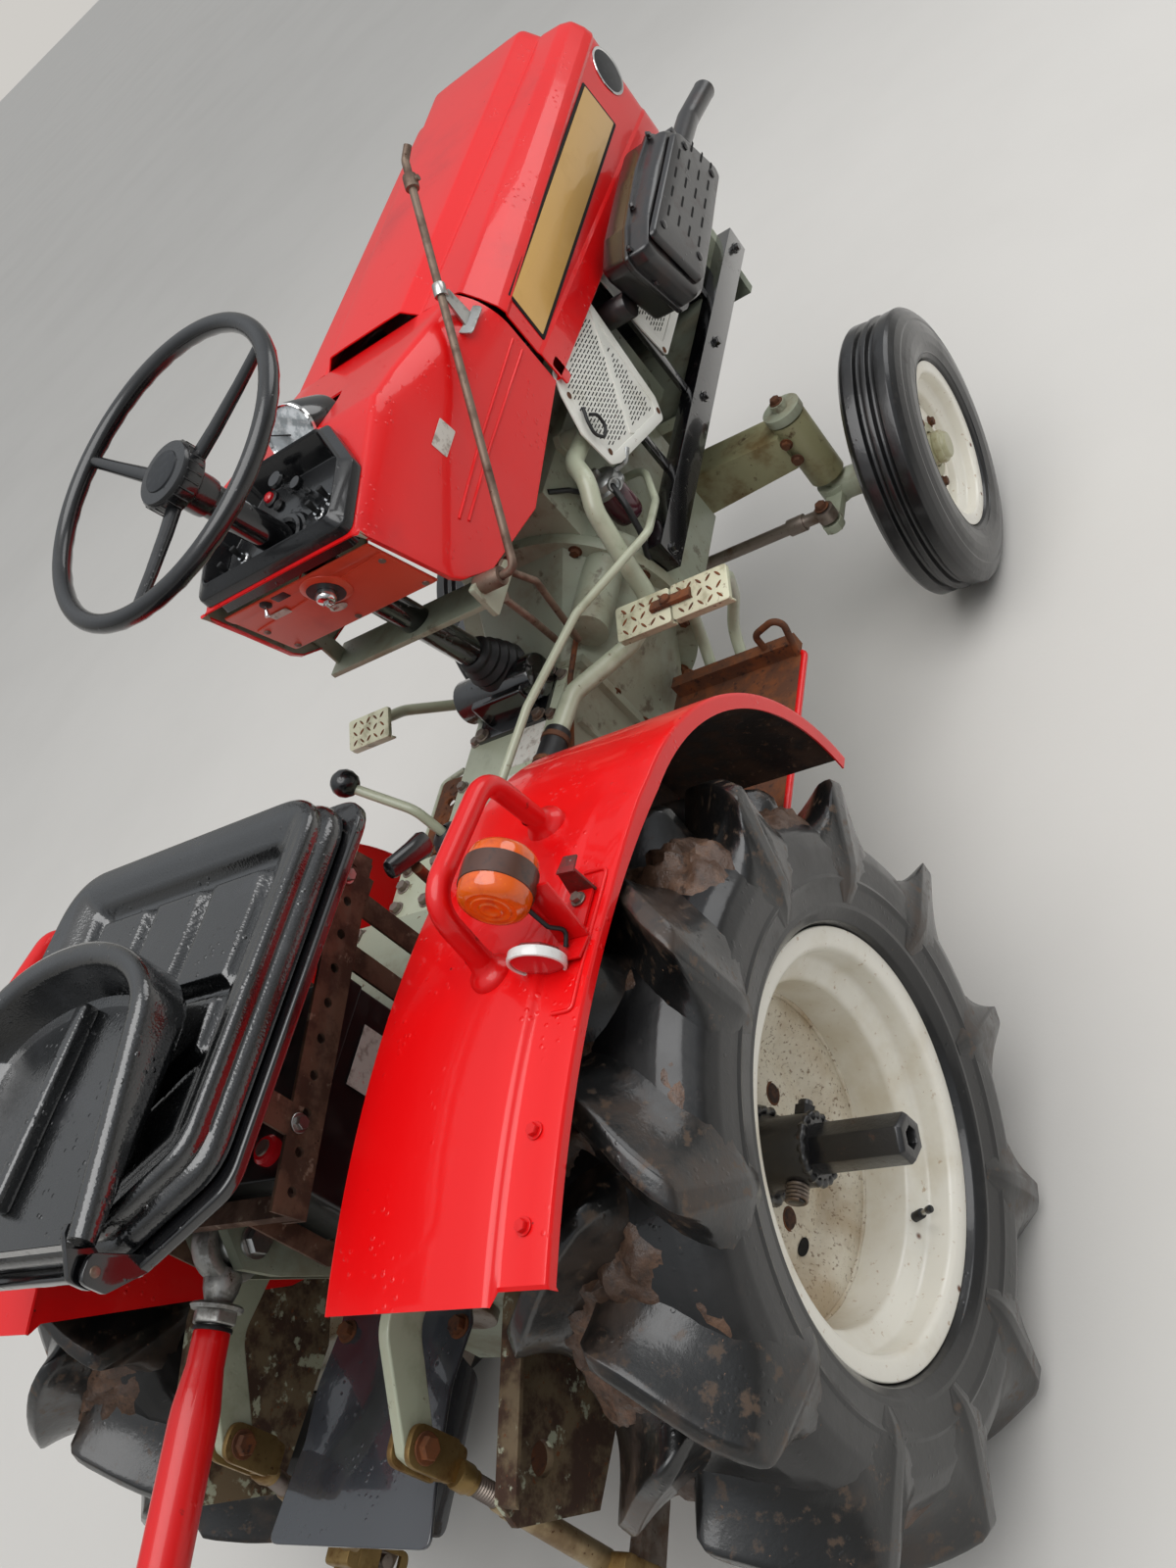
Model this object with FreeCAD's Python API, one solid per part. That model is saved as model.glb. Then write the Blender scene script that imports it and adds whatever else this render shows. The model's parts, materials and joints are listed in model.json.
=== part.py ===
import FreeCAD, Part
import math
import os

# Compact two-cylinder farm tractor, bonneted, open platform, three-point linkage.
# Millimetres. +X forward, +Y to the driver's left, +Z up. All places below are
# measured from the ground point under the rear axle; the last section moves the
# whole machine so that its origin is the middle of its footprint on the ground.

os.makedirs("parts", exist_ok=True)
Vector = FreeCAD.Vector
X = Vector(1, 0, 0)
Y = Vector(0, 1, 0)
Z = Vector(0, 0, 1)
SIDES = (("right", -1), ("left", 1))

# Wheels
wheelbase = 1311
rear_radius = 395
rear_track_half = 412
rear_seat_radius = 203
rear_flange_radius = rear_seat_radius + 19
rear_rim_half = 82
rear_disc_inboard = 50
rear_lugs_a_side = 11
rear_lug_half_width = 113
front_radius = 236
front_track_half = 431
front_camber = 3
front_seat_radius = 126
front_flange_radius = front_seat_radius + 15
front_disc_y = -42
axle_bore = 30
axle_pad_z = rear_radius + 72
wheel_top = 2 * rear_radius
turning_gap = 0.5
hub_tip_y = 542

# Steering
kingpin_y = 270
kingpin_radius = 14
kingpin_gap = 0.4
steer_arm_back = 95
steer_arm_z = 244
tie_rod_z = 270

# Driver's place
wheel_centre = Vector(510, 0, 1172)
wheel_radius = 199
wheel_rim_thickness = 12
column_slope = 16
column_foot_z = 625
column_radius = 21

# Sheet metal
sheet = 3
hood_rear_x = 963
hood_nose_x = 1745
hood_half_width = 198
hood_rear_bottom = 827
hood_front_bottom = 785
hood_rear_shoulder = 967
hood_front_shoulder = 1000
hood_rear_top = 1010
hood_front_top = 1032
hood_hinge = Vector(1700, 0, 806)
hinge_pin_radius = 5
cowl_rear_half = 146
cowl_front_half = 192
cowl_front_x = 957
cowl_rear_x = 507
cowl_waist_x = 760
cowl_waist_half = 165

# Castings
case_half_width = 88
case_bottom = 330
case_top = 572
bell_radius = 178
bell_centre_z = 500
clutch_rear_x = 700
clutch_front_x = 870
rail_y = 205
rail_bottom = 525
rail_top = 575
rail_flange = 28
rail_wall = 5
engine_half_width = 140
engine_front_x = 1330

# Linkage at the rear
lift_shaft = Vector(-90, 0, 612)
lift_arm_y = 134
lift_pin = Vector(-340, 0, 567)
lift_pin_radius = 9
lift_shaft_radius = 20
link_pivot = Vector(-60, 0, 235)
link_pivot_y = 150
link_end = Vector(-690, 0, 300)
link_end_y = 242
link_thick = 14
link_ball_radius = 24
link_bore_radius = 9.5
rod_foot_x = -385
link_fork_gap = 13.5
drawbar_bore_radius = 11
top_link_front = Vector(-205, 0, 745)
top_link_rear = Vector(-655, 0, 672)
top_bore_radius = 9.5
top_link_radius = 17


column_axis = Vector(-math.sin(math.radians(column_slope)), 0, math.cos(math.radians(column_slope)))
column_foot = wheel_centre - column_axis * ((wheel_centre.z - column_foot_z) / column_axis.z)


def at_y(point, y):
    return Vector(point.x, y, point.z)


def box(x0, x1, y0, y1, z0, z1):
    return Part.makeBox(x1 - x0, y1 - y0, z1 - z0, Vector(x0, y0, z0))


def sided_box(side, x0, x1, y0, y1, z0, z1):
    low = min(side * y0, side * y1)
    high = max(side * y0, side * y1)
    return box(x0, x1, low, high, z0, z1)


def rod(start, end, radius):
    along = end - start
    return Part.makeCylinder(radius, along.Length, start, along)


def pipe(start, end, outer, inner):
    along = end - start
    extra = along.normalize() * 1
    return rod(start, end, outer).cut(rod(start - extra, end + extra, inner))


def joined(shapes):
    body = shapes[0]
    for shape in shapes[1:]:
        body = body.fuse(shape)
    return body.removeSplitter()


def without(body, cutters):
    for cutter in cutters:
        body = body.cut(cutter)
    return body


def prism(points, direction):
    wire = Part.makePolygon(points + [points[0]])
    return Part.Face(wire).extrude(direction)


def side_plate(points, y0, y1):
    return prism([Vector(x, y0, z) for x, z in points], Vector(0, y1 - y0, 0))


def flat_plate(points, z0, z1):
    return prism([Vector(x, y, z0) for x, y in points], Vector(0, 0, z1 - z0))


def cross_plate(points, x0, x1):
    return prism([Vector(x0, y, z) for y, z in points], Vector(x1 - x0, 0, 0))


def mirrored(shape):
    return shape.mirror(Vector(0, 0, 0), Y)


def on_side(shape, side):
    return shape if side > 0 else mirrored(shape)


def bent_rod(points, radius, bend):
    # Straight runs joined by tangent arcs; the bend is limited by the runs.
    edges = []
    start = points[0]
    for before, corner, after in zip(points, points[1:], points[2:]):
        back = (before - corner).normalize()
        ahead = (after - corner).normalize()
        half_turn = back.getAngle(ahead) / 2
        room = 0.45 * min((before - corner).Length, (after - corner).Length)
        trim = min(bend / math.tan(half_turn), room)
        inner = trim * math.tan(half_turn)
        middle = (back + ahead).normalize()
        centre = corner + middle * (inner / math.sin(half_turn))
        first = corner + back * trim
        last = corner + ahead * trim
        edges.append(Part.LineSegment(start, first).toShape())
        edges.append(Part.Arc(first, centre - middle * inner, last).toShape())
        start = last
    edges.append(Part.LineSegment(start, points[-1]).toShape())
    spine = Part.Wire(edges)
    ring = Part.Wire([Part.makeCircle(radius, points[0], points[1] - points[0])])
    return spine.makePipeShell([ring], True, False)


def eye(centre, axis, outer, bore, length):
    start = centre - axis * (length / 2)
    end = centre + axis * (length / 2)
    return pipe(start, end, outer, bore)


# Gearbox, clutch housing, engine and the castings around them

def transmission_case():
    tunnel = box(60, clutch_rear_x, -case_half_width, case_half_width, case_bottom, case_top - 12)
    lid = box(252, clutch_rear_x - 14, -case_half_width + 6, case_half_width - 6, case_top - 12, case_top)
    final_drive = box(-150, 110, -118, 118, 252, 560)
    drain_boss = rod(Vector(12, 0, 236), Vector(12, 0, 253), 22)
    ribs = []
    for x in (210, 340, 470, 600):
        ribs.append(box(x, x + 10, -case_half_width - 9, case_half_width + 9, case_bottom + 12, case_top - 30))
    flange = box(clutch_rear_x - 14, clutch_rear_x, -100, 100, case_bottom - 12, case_top + 2)
    return joined([tunnel, lid, final_drive, drain_boss, flange] + ribs)


def clutch_housing():
    rear = Part.makePolygon([Vector(clutch_rear_x, y, z) for y, z in (
        (-100, case_bottom - 12), (100, case_bottom - 12), (100, case_top - 30), (60, case_top + 2),
        (-60, case_top + 2), (-100, case_top - 30), (-100, case_bottom - 12))])
    count = 6
    ring = []
    for step in range(count):
        angle = math.radians(240 + 60 * step)
        ring.append(Vector(clutch_front_x - 16, bell_radius * math.cos(angle),
                           bell_centre_z + bell_radius * math.sin(angle)))
    front = Part.makePolygon(ring + [ring[0]])
    bell = Part.makeLoft([rear, front], True, True)
    flange = rod(Vector(clutch_front_x - 20, 0, bell_centre_z), Vector(clutch_front_x, 0, bell_centre_z),
                 bell_radius + 6)
    starter = rod(Vector(clutch_front_x - 19, -118, 592), Vector(clutch_front_x - 150, -118, 592), 30)
    return joined([bell, flange, starter])


def engine_block():
    half = engine_half_width - 28
    block = joined([box(clutch_front_x, 1228, -half, half, 470, 735),
                    box(1228, engine_front_x, -half, half, deck_top + 0.3, 735)])
    flywheel_end = rod(Vector(clutch_front_x, 0, bell_centre_z), Vector(clutch_front_x + 34, 0, bell_centre_z),
                       bell_radius)
    head = box(clutch_front_x + 60, engine_front_x - 30, -92, 92, 735, 790)
    valve_cover = box(clutch_front_x + 80, engine_front_x - 50, -58, 58, 790, 828)
    sump = box(clutch_front_x + 10, 1228, -96, 96, 346, 470)
    fan_hub = rod(Vector(engine_front_x, 0, 700), Vector(engine_front_x + 46, 0, 700), 42)
    pulley = rod(Vector(engine_front_x, 0, 622), Vector(engine_front_x + 38, 0, 622), 60)
    dynamo = rod(Vector(engine_front_x - 150, 128, 700), Vector(engine_front_x - 8, 128, 700), 42)
    bracket = box(engine_front_x - 120, engine_front_x - 90, 100, 150, 640, 690)
    injection_pump = box(1050, 1190, 100, 152, 560, 690)
    oil_filter = rod(Vector(960, 100, 560), Vector(960, 168, 560), 36)
    return joined([block, flywheel_end, head, valve_cover, sump, fan_hub, pulley, dynamo, bracket,
                   injection_pump, oil_filter])


def exhaust_places():
    # The exhaust port on the engine's right flank and the muffler box beside the hood.
    return Vector(1215, -92, 762), Vector(1215, -216, 762)


def rear_axle_housing():
    halves = []
    for name, side in SIDES:
        trumpet = rod(Vector(0, side * 118, rear_radius), Vector(0, side * 268, rear_radius), 58)
        neck = rod(Vector(0, side * 264, rear_radius), Vector(0, side * 300, rear_radius), 74)
        collar = rod(Vector(0, side * 118, rear_radius), Vector(0, side * 134, rear_radius), 92)
        bore = rod(Vector(0, side * 240, rear_radius), Vector(0, side * 302, rear_radius), axle_bore + turning_gap)
        pad = sided_box(side, -56, 62, 190, 262, rear_radius + 40, axle_pad_z)
        halves.append(joined([trumpet, neck, collar, pad]).cut(bore))
    return halves[0].fuse(halves[1])


def lift_housing():
    base = box(-150, 250, -112, 112, 560, 640)
    dome = side_plate([(-150, 640), (-60, 662), (140, 662), (230, 650), (250, 640)], -84, 84)
    barrel = rod(at_y(lift_shaft, -112), at_y(lift_shaft, 112), 40)
    bracket = []
    for y in (-34, 20):
        bracket.append(side_plate([(-150, 590), (-150, 634), (-177, 656), (-182, 766), (-206, 777),
                                   (-232, 745), (-222, 700), (-180, 590)], y, y + 14))
    pin = rod(at_y(top_link_front, -46), at_y(top_link_front, 46), top_bore_radius - turning_gap)
    body = joined([base, dome, barrel, pin] + bracket)
    return body.cut(rod(at_y(lift_shaft, -130), at_y(lift_shaft, 130), lift_shaft_radius + turning_gap))


def frame_rails():
    rails = []
    for name, side in SIDES:
        web = sided_box(side, 872, 1722, rail_y - rail_wall, rail_y, rail_bottom, rail_top)
        top = sided_box(side, 872, 1722, rail_y - rail_flange, rail_y, rail_top - rail_wall, rail_top)
        bottom = sided_box(side, 872, 1722, rail_y - rail_flange, rail_y, rail_bottom, rail_bottom + rail_wall)
        foot = sided_box(side, 872, 900, 176.5, rail_y, rail_bottom, rail_top)
        rails.append(joined([web, top, bottom, foot]))
    return rails[0].fuse(rails[1])


def front_bolster():
    inner = rail_y - rail_wall
    deck = box(1230, 1720, -inner + 0.3, inner - 0.3, deck_top - 20, deck_top)
    nose_half = rail_y - rail_flange - 0.5
    nose = box(1700, 1722, -nose_half, nose_half, 455, 640)
    hook = joined([box(1722, 1780, -9, 9, 500, 540),
                   rod(Vector(1772, -9, 520), Vector(1772, 9, 520), 22)])
    hook = hook.cut(rod(Vector(1772, -12, 520), Vector(1772, 12, 520), 11))
    cheeks = []
    for x in (axle_x_front - 72, axle_x_front + 48):
        cheeks.append(cross_plate([(-70, 533), (-40, 330), (40, 330), (70, 533)], x, x + 24))
    pivot = rod(Vector(axle_x_front - 82, 0, axle_pivot_z), Vector(axle_x_front + 82, 0, axle_pivot_z), 16)
    hinges = []
    for name, side in SIDES:
        hinges.append(sided_box(side, hood_hinge.x - 10, hood_hinge.x + 9, 120, 126, 620, hood_hinge.z + 10))
        hinges.append(rod(at_y(hood_hinge, side * 121), at_y(hood_hinge, side * 140), hinge_pin_radius))
    return joined([deck, nose, hook, pivot] + cheeks + hinges)


axle_x_front = wheelbase
axle_pivot_z = 364
deck_top = 552


def front_axle_beam():
    half_depth = 36
    arm = [(0, 322), (60, 322), (kingpin_y - 20, 336), (kingpin_y - 20, 404), (60, 406), (0, 406)]
    beam = cross_plate(arm, axle_x_front - half_depth, axle_x_front + half_depth)
    beam = beam.fuse(mirrored(beam))
    centre = rod(Vector(axle_x_front - half_depth - 8, 0, axle_pivot_z),
                 Vector(axle_x_front + half_depth + 8, 0, axle_pivot_z), 40)
    ends = []
    bores = [rod(Vector(axle_x_front - 100, 0, axle_pivot_z), Vector(axle_x_front + 100, 0, axle_pivot_z),
                 16 + turning_gap)]
    for name, side in SIDES:
        foot = Vector(axle_x_front, side * kingpin_y, 280)
        head = Vector(axle_x_front, side * kingpin_y, 414)
        ends.append(rod(foot, head, 32))
        bores.append(rod(foot - Z, head + Z, kingpin_radius + kingpin_gap))
    return without(joined([beam, centre] + ends), bores)


# Front wheels, knuckles and tie rod

camber = math.radians(front_camber)

front_tyre_profile = [
    (front_seat_radius + 0.3, -39.4), (front_flange_radius + 0.5, -41.4), (front_flange_radius + 4, -50),
    (front_flange_radius + 27, -58), (front_radius - 40, -56), (front_radius - 14, -48),
    (front_radius - 4, -40), (front_radius, -38), (front_radius, -17), (front_radius - 9, -14), (front_radius - 9, -7),
    (front_radius, -4), (front_radius, 4), (front_radius - 9, 7), (front_radius - 9, 14),
    (front_radius, 17), (front_radius, 38), (front_radius - 4, 40), (front_radius - 14, 48), (front_radius - 40, 56),
    (front_flange_radius + 27, 58),
    (front_flange_radius + 4, 50), (front_flange_radius + 0.5, 41.4), (front_seat_radius + 0.3, 39.4)]

front_axle_z = max(radius * math.cos(camber) + y * math.sin(camber) for radius, y in front_tyre_profile)


def front_place(shape, side):
    # A wheel turned about the Y axis at the origin goes to its place, leaning out at the top.
    placed = on_side(shape, side)
    placed.rotate(Vector(0, 0, 0), X, -side * front_camber)
    placed.translate(Vector(axle_x_front, side * front_track_half, front_axle_z))
    return placed


def wheel_profile(profile):
    points = [Vector(radius, y, 0) for radius, y in profile]
    wire = Part.makePolygon(points + [points[0]])
    return Part.Face(wire).revolve(Vector(0, 0, 0), Y, 360)


def front_tyre(side):
    return front_place(wheel_profile(front_tyre_profile), side)


def front_rim(side):
    well = front_seat_radius - 18
    barrel = wheel_profile([
        (front_flange_radius, -46), (front_flange_radius, -42), (front_seat_radius, -39.7),
        (front_seat_radius - 0.3, -22), (well, -14), (well, 14), (front_seat_radius - 0.3, 22),
        (front_seat_radius, 39.7), (front_flange_radius, 42), (front_flange_radius, 46),
        (front_seat_radius - 5, 44), (front_seat_radius - 5, 24), (well - 5, 16), (well - 5, -16),
        (front_seat_radius - 5, -24), (front_seat_radius - 5, -44)])
    edge = front_seat_radius - 3.5
    bend = front_seat_radius - 20
    disc = wheel_profile([(36, front_disc_y), (36, front_disc_y + 5), (66, front_disc_y + 5),
                          (80, front_disc_y + 12), (bend, front_disc_y + 16), (edge, front_disc_y + 15),
                          (edge, front_disc_y + 9), (bend, front_disc_y + 10), (83, front_disc_y + 6),
                          (69, front_disc_y)])
    return front_place(barrel.fuse(disc).removeSplitter(), side)


def front_hub(side):
    face = front_disc_y - 0.3
    body = wheel_profile([
        (20.5, -62), (38, -62), (38, face - 8), (70, face - 8), (70, face), (35.7, face),
        (35.7, -8), (29, 4), (12, 9), (0, 9), (0, -9), (20.5, -9)])
    return front_place(body, side)


def knuckle(side):
    top = 447
    pin = rod(Vector(0, kingpin_y, front_axle_z - 6), Vector(0, kingpin_y, top), kingpin_radius)
    foot = rod(Vector(0, kingpin_y, front_axle_z - 10), Vector(0, kingpin_y, 262), 30)
    lean = math.tan(camber)
    inner_z = front_axle_z + (front_track_half - kingpin_y) * lean
    reach = front_track_half - 11
    outer_z = front_axle_z + (front_track_half - reach) * lean
    spindle = rod(Vector(0, kingpin_y, inner_z), Vector(0, reach, outer_z), 20)
    collar_end = front_track_half - 67
    collar = rod(Vector(0, kingpin_y, inner_z),
                 Vector(0, collar_end, inner_z - (collar_end - kingpin_y) * lean), 27)
    ball = Vector(-steer_arm_back, kingpin_y, steer_arm_z)
    arm = flat_plate([(-steer_arm_back - 14, ball.y - 14), (-steer_arm_back - 14, ball.y + 14),
                      (0, kingpin_y + 16), (0, kingpin_y - 16)], steer_arm_z - 8, steer_arm_z + 8)
    eye_end = rod(ball - Z * 8, ball + Z * 8, 18)
    joint_pin = rod(ball, Vector(ball.x, ball.y, tie_rod_z + 14), 7)
    cap = rod(Vector(0, kingpin_y, 418), Vector(0, kingpin_y, 434), 34)
    body = joined([pin, foot, collar, spindle, arm, eye_end, joint_pin, cap])
    body = on_side(body, side)
    body.translate(Vector(axle_x_front, 0, 0))
    return body


def tie_rod():
    x = axle_x_front - steer_arm_back
    y = kingpin_y
    bar = rod(Vector(x, -y + 14, tie_rod_z), Vector(x, y - 14, tie_rod_z), 11)
    ends = []
    bores = []
    for name, side in SIDES:
        ends.append(rod(Vector(x, side * y, tie_rod_z - 11), Vector(x, side * y, tie_rod_z + 11), 18))
        bores.append(rod(Vector(x, side * y, tie_rod_z - 13), Vector(x, side * y, tie_rod_z + 13),
                         7 + turning_gap))
        ends.append(rod(Vector(x, side * (y - 70), tie_rod_z), Vector(x, side * (y - 40), tie_rod_z), 15))
    return without(joined([bar] + ends), bores)


# Rear wheels

rear_tyre_profile = [
    (rear_seat_radius + 0.3, -75.4), (rear_flange_radius + 0.5, -76.4), (rear_flange_radius + 4, -90),
    (rear_flange_radius + 40, -102), (rear_radius - 95, -104), (rear_radius - 69, -92),
    (rear_radius - 57, -66), (rear_radius - 52, 0), (rear_radius - 57, 66), (rear_radius - 69, 92),
    (rear_radius - 95, 104), (rear_flange_radius + 40, 102), (rear_flange_radius + 4, 90),
    (rear_flange_radius + 0.5, 76.4), (rear_seat_radius + 0.3, 75.4)]


def lug(half, start_angle):
    # One slanting bar, a four-cornered wedge from the tread's middle to the shoulder.
    sweep = 15
    reach = rear_lug_half_width
    foot_thick = 5.6
    tip_thick = 3.4

    def corner(radius, y, angle):
        turn = math.radians(start_angle + angle)
        return Vector(radius * math.cos(turn), half * y, radius * math.sin(turn))

    inner_low = [corner(rear_radius - 61, -10, -foot_thick), corner(rear_radius - 61, -10, foot_thick)]
    inner_top = [corner(rear_radius, -8, -tip_thick), corner(rear_radius, -8, tip_thick)]
    outer_low = [corner(rear_radius - 77, reach - 12, sweep - foot_thick),
                 corner(rear_radius - 77, reach - 12, sweep + foot_thick)]
    outer_top = [corner(rear_radius - 18, reach, sweep - tip_thick),
                 corner(rear_radius - 18, reach, sweep + tip_thick)]
    inner = Part.makePolygon([inner_low[0], inner_low[1], inner_top[1], inner_top[0], inner_low[0]])
    outer = Part.makePolygon([outer_low[0], outer_low[1], outer_top[1], outer_top[0], outer_low[0]])
    return Part.makeLoft([inner, outer], True, True)


def rear_place(shape, side):
    placed = on_side(shape, side)
    placed.translate(Vector(0, side * rear_track_half, rear_radius))
    return placed


def rear_tyre(side):
    body = wheel_profile(rear_tyre_profile)
    pitch = 360 / rear_lugs_a_side
    lugs = []
    for step in range(rear_lugs_a_side):
        lugs.append(lug(1, -90 + step * pitch))
        lugs.append(lug(-1, -90 + (step + 0.5) * pitch))
    body = body.multiFuse(lugs)
    return rear_place(body, side)


def rear_rim(side):
    well = rear_seat_radius - 24
    disc = -rear_disc_inboard
    edge = rear_rim_half
    barrel = wheel_profile([
        (rear_flange_radius, -edge), (rear_flange_radius, -edge + 5), (rear_seat_radius, -75.7),
        (rear_seat_radius - 0.3, -46), (well, -34), (well, 34), (rear_seat_radius - 0.3, 46),
        (rear_seat_radius, 75.7), (rear_flange_radius, edge - 5), (rear_flange_radius, edge),
        (rear_seat_radius - 6, edge - 3), (rear_seat_radius - 6, 48), (well - 6, 36), (well - 6, -36),
        (rear_seat_radius - 6, -48), (rear_seat_radius - 6, -edge + 3)])
    plate = wheel_profile([(46, disc), (46, disc + 7), (118, disc + 7), (132, disc + 16), (well - 3, disc + 16),
                           (well - 3, disc + 9), (136, disc + 9), (122, disc)])
    return rear_place(barrel.fuse(plate).removeSplitter(), side)


def rear_hub(side):
    disc_y = rear_track_half - rear_disc_inboard
    shaft = rod(Vector(0, 244, rear_radius), Vector(0, disc_y - 16, rear_radius), axle_bore)
    flange = rod(Vector(0, disc_y - 16, rear_radius), Vector(0, disc_y - 0.3, rear_radius), 84)
    barrel = rod(Vector(0, disc_y - 16, rear_radius), Vector(0, 432, rear_radius), 38)
    corners = []
    for step in range(6):
        angle = math.radians(60 * step + 30)
        corners.append(Vector(26 * math.cos(angle), 431, rear_radius + 26 * math.sin(angle)))
    tube = prism(corners, Vector(0, hub_tip_y - 431, 0))
    pin = rod(Vector(-58, 416, rear_radius), Vector(58, 416, rear_radius), 9)
    return on_side(joined([shaft, flange, barrel, tube, pin]), side)


# Hood, nose and cowl

def hood_section(x, share, inset):
    # One cross-section, share 0 at the rear edge and 1 at the nose; inset moves it inwards.
    def between(rear, front):
        return rear + (front - rear) * share

    half = hood_half_width - inset
    bottom = between(hood_rear_bottom, hood_front_bottom)
    shoulder = between(hood_rear_shoulder, hood_front_shoulder)
    band = between(hood_rear_top - 6, hood_front_top - 8) - inset
    bulge = between(hood_rear_top + 14, hood_front_top + 21) - inset
    edge = between(70, 96)
    half_points = [(half, bottom), (half, shoulder - 22), (half - 5, shoulder - 6), (half - 18, shoulder + 14),
                   (half - 36, band), (edge + 26, band + 4), (edge, bulge)]
    points = half_points + [(-y, z) for y, z in reversed(half_points)]
    return Part.makePolygon([Vector(x, y, z) for y, z in points + [points[0]]])


def hood():
    outer = Part.makeLoft([hood_section(hood_rear_x, 0, 0), hood_section(hood_nose_x - 34, 0.96, 0),
                           hood_section(hood_nose_x - 10, 0.98, 7), hood_section(hood_nose_x, 1, 20)], True, True)
    inner = Part.makeLoft([hood_section(hood_rear_x - 1, 0, sheet), hood_section(hood_nose_x - 36, 0.96, sheet),
                           hood_section(hood_nose_x - 14, 0.98, 6 + sheet)], True, True)
    inner.translate(Vector(0, 0, -0.5))
    window = box(hood_nose_x - 60, hood_nose_x + 20, -150, 150, 828, 996)
    shell = without(outer, [inner, window])
    shell = shell.cut(box(hood_nose_x - 60, hood_nose_x + 20, -300, 300, 700, 786))
    fittings = []
    for name, side in SIDES:
        ear = sided_box(side, hood_rear_x + 2, hood_rear_x + 26, hood_half_width - sheet, hood_half_width,
                        hood_rear_bottom - 14, hood_rear_bottom + 20)
        ear = ear.cut(rod(Vector(hood_rear_x + 14, side * 190, hood_rear_bottom - 5),
                          Vector(hood_rear_x + 14, side * 205, hood_rear_bottom - 5), 4))
        fittings.append(ear)
        lug = sided_box(side, hood_hinge.x - 10, hood_nose_x - 12, 130, 136, hood_hinge.z - 12, hood_hinge.z + 18)
        bore = rod(at_y(hood_hinge, side * 120), at_y(hood_hinge, side * 146), hinge_pin_radius + turning_gap / 2)
        fittings.append(lug.cut(bore))
    return joined([shell] + fittings)


def nose_grille():
    x0 = hood_nose_x - 16
    x1 = hood_nose_x - 6
    frame = box(x0, x1, -149.5, 149.5, 828.5, 995.5)
    window = box(x0 - 2, x1 + 2, -141, 141, 837, 987)
    bars = [frame.cut(window)]
    pitch = 15
    for row in range(9):
        z = 848 + row * pitch
        bars.append(box(x0 + 1, x1 - 1, -142, 142, z, z + 7))
    for y in (-70, 0, 70):
        bars.append(box(x0, x1, y - 3, y + 3, 836, 988))
    body = joined(bars)
    for side in (-1, 1):
        body = body.cut(rod(Vector(x0 - 4, side * 98, 912), Vector(x1 + 4, side * 98, 912), 44))
    return body


def headlamps():
    lamps = []
    for name, side in SIDES:
        bowl = rod(Vector(hood_nose_x - 52, side * 98, 912), Vector(hood_nose_x - 4, side * 98, 912), 43.5)
        lamps.append(bowl)
    return lamps[0].fuse(lamps[1])


pod_foot = Vector(742, -2, 1034)
pod_tilt = Vector(-0.86, 0, 0.5)
pod_radius = 40


def cowl_side(inset):
    outline = Part.makePolygon([Vector(x, 0, z) for x, z in (
        (477, 1072), (564, 846), (622, 806), (760, 778), (cowl_front_x, 829), (cowl_front_x, 1072),
        (477, 1072))])
    face = Part.Face(outline)
    return face.makeOffset2D(-inset) if inset else face


def cowl_half(x):
    # Half width of the cowl in plan: it widens slowly at first, then flares to meet the hood.
    if x < cowl_waist_x:
        share = (x - cowl_rear_x) / (cowl_waist_x - cowl_rear_x)
        return cowl_rear_half + share * (cowl_waist_half - cowl_rear_half)
    share = (x - cowl_waist_x) / (cowl_front_x - cowl_waist_x)
    return cowl_waist_half + share * (cowl_front_half - cowl_waist_half)


def cowl_solid(inset):
    face = cowl_side(inset)
    face.translate(Vector(0, -260, 0))
    slab = face.extrude(Vector(0, 520, 0))
    sections = []
    for x, top, drop, middle, run in ((476, dash_height(476), 30, 12, 9), (700, dash_height(700), 90, 24, 14),
                                      (cowl_waist_x, 1038, 84, 28, 22), (cowl_front_x + 0.2, 1008, 62, 26, 36)):
        half = cowl_half(x) - inset
        top = top - inset
        points = [(half, 770), (half, top - drop), (half - run * 0.36, top - middle), (half - run, top)]
        points = points + [(-y, z) for y, z in reversed(points)]
        sections.append(Part.makePolygon([Vector(x, y, z) for y, z in points + [points[0]]]))
    block = Part.makeLoft(sections, True, True)
    if block.Volume < 0:
        block.reverse()
    return slab.common(block)


dash_outline = [(512, -134), (512, 134), (600, 138), (676, 84), (676, -84), (600, -138)]


def dash_height(x):
    # The cowl's top slopes up from the fascia to the crest in front of the dash.
    return 994 + (x - 507) * (1046 - 994) / (700 - 507)


def dash_prism(points, low, high):
    wire = Part.makePolygon([Vector(x, y, dash_height(x) + low) for x, y in points + [points[0]]])
    return Part.Face(wire).extrude(Vector(0, 0, high - low))


def scaled_outline(points, share):
    middle = 596
    return [(middle + (x - middle) * share, y * share) for x, y in points]


def cowl():
    shell = cowl_solid(0).cut(cowl_solid(sheet))
    opening = dash_prism(scaled_outline(dash_outline, 0.96), -60, 60)
    front = box(cowl_front_x - 2 * sheet, cowl_front_x + 5, -cowl_front_half + 12, cowl_front_half - 12, 850, 990)
    rear_window = box(480, 590, -132, 132, 850, 984)
    near = 572
    far = cowl_front_x - sheet
    half_plan = [(near, cowl_half(near) - sheet), (cowl_waist_x, cowl_half(cowl_waist_x) - sheet),
                 (far, cowl_half(far) - sheet)]
    floor = flat_plate(half_plan + [(x, -y) for x, y in reversed(half_plan)], 700, 842)
    pod = rod(pod_foot - pod_tilt * 60, pod_foot + pod_tilt * 60, pod_radius + 0.3)
    return without(shell, [opening, front, pod, rear_window, floor])


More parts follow.
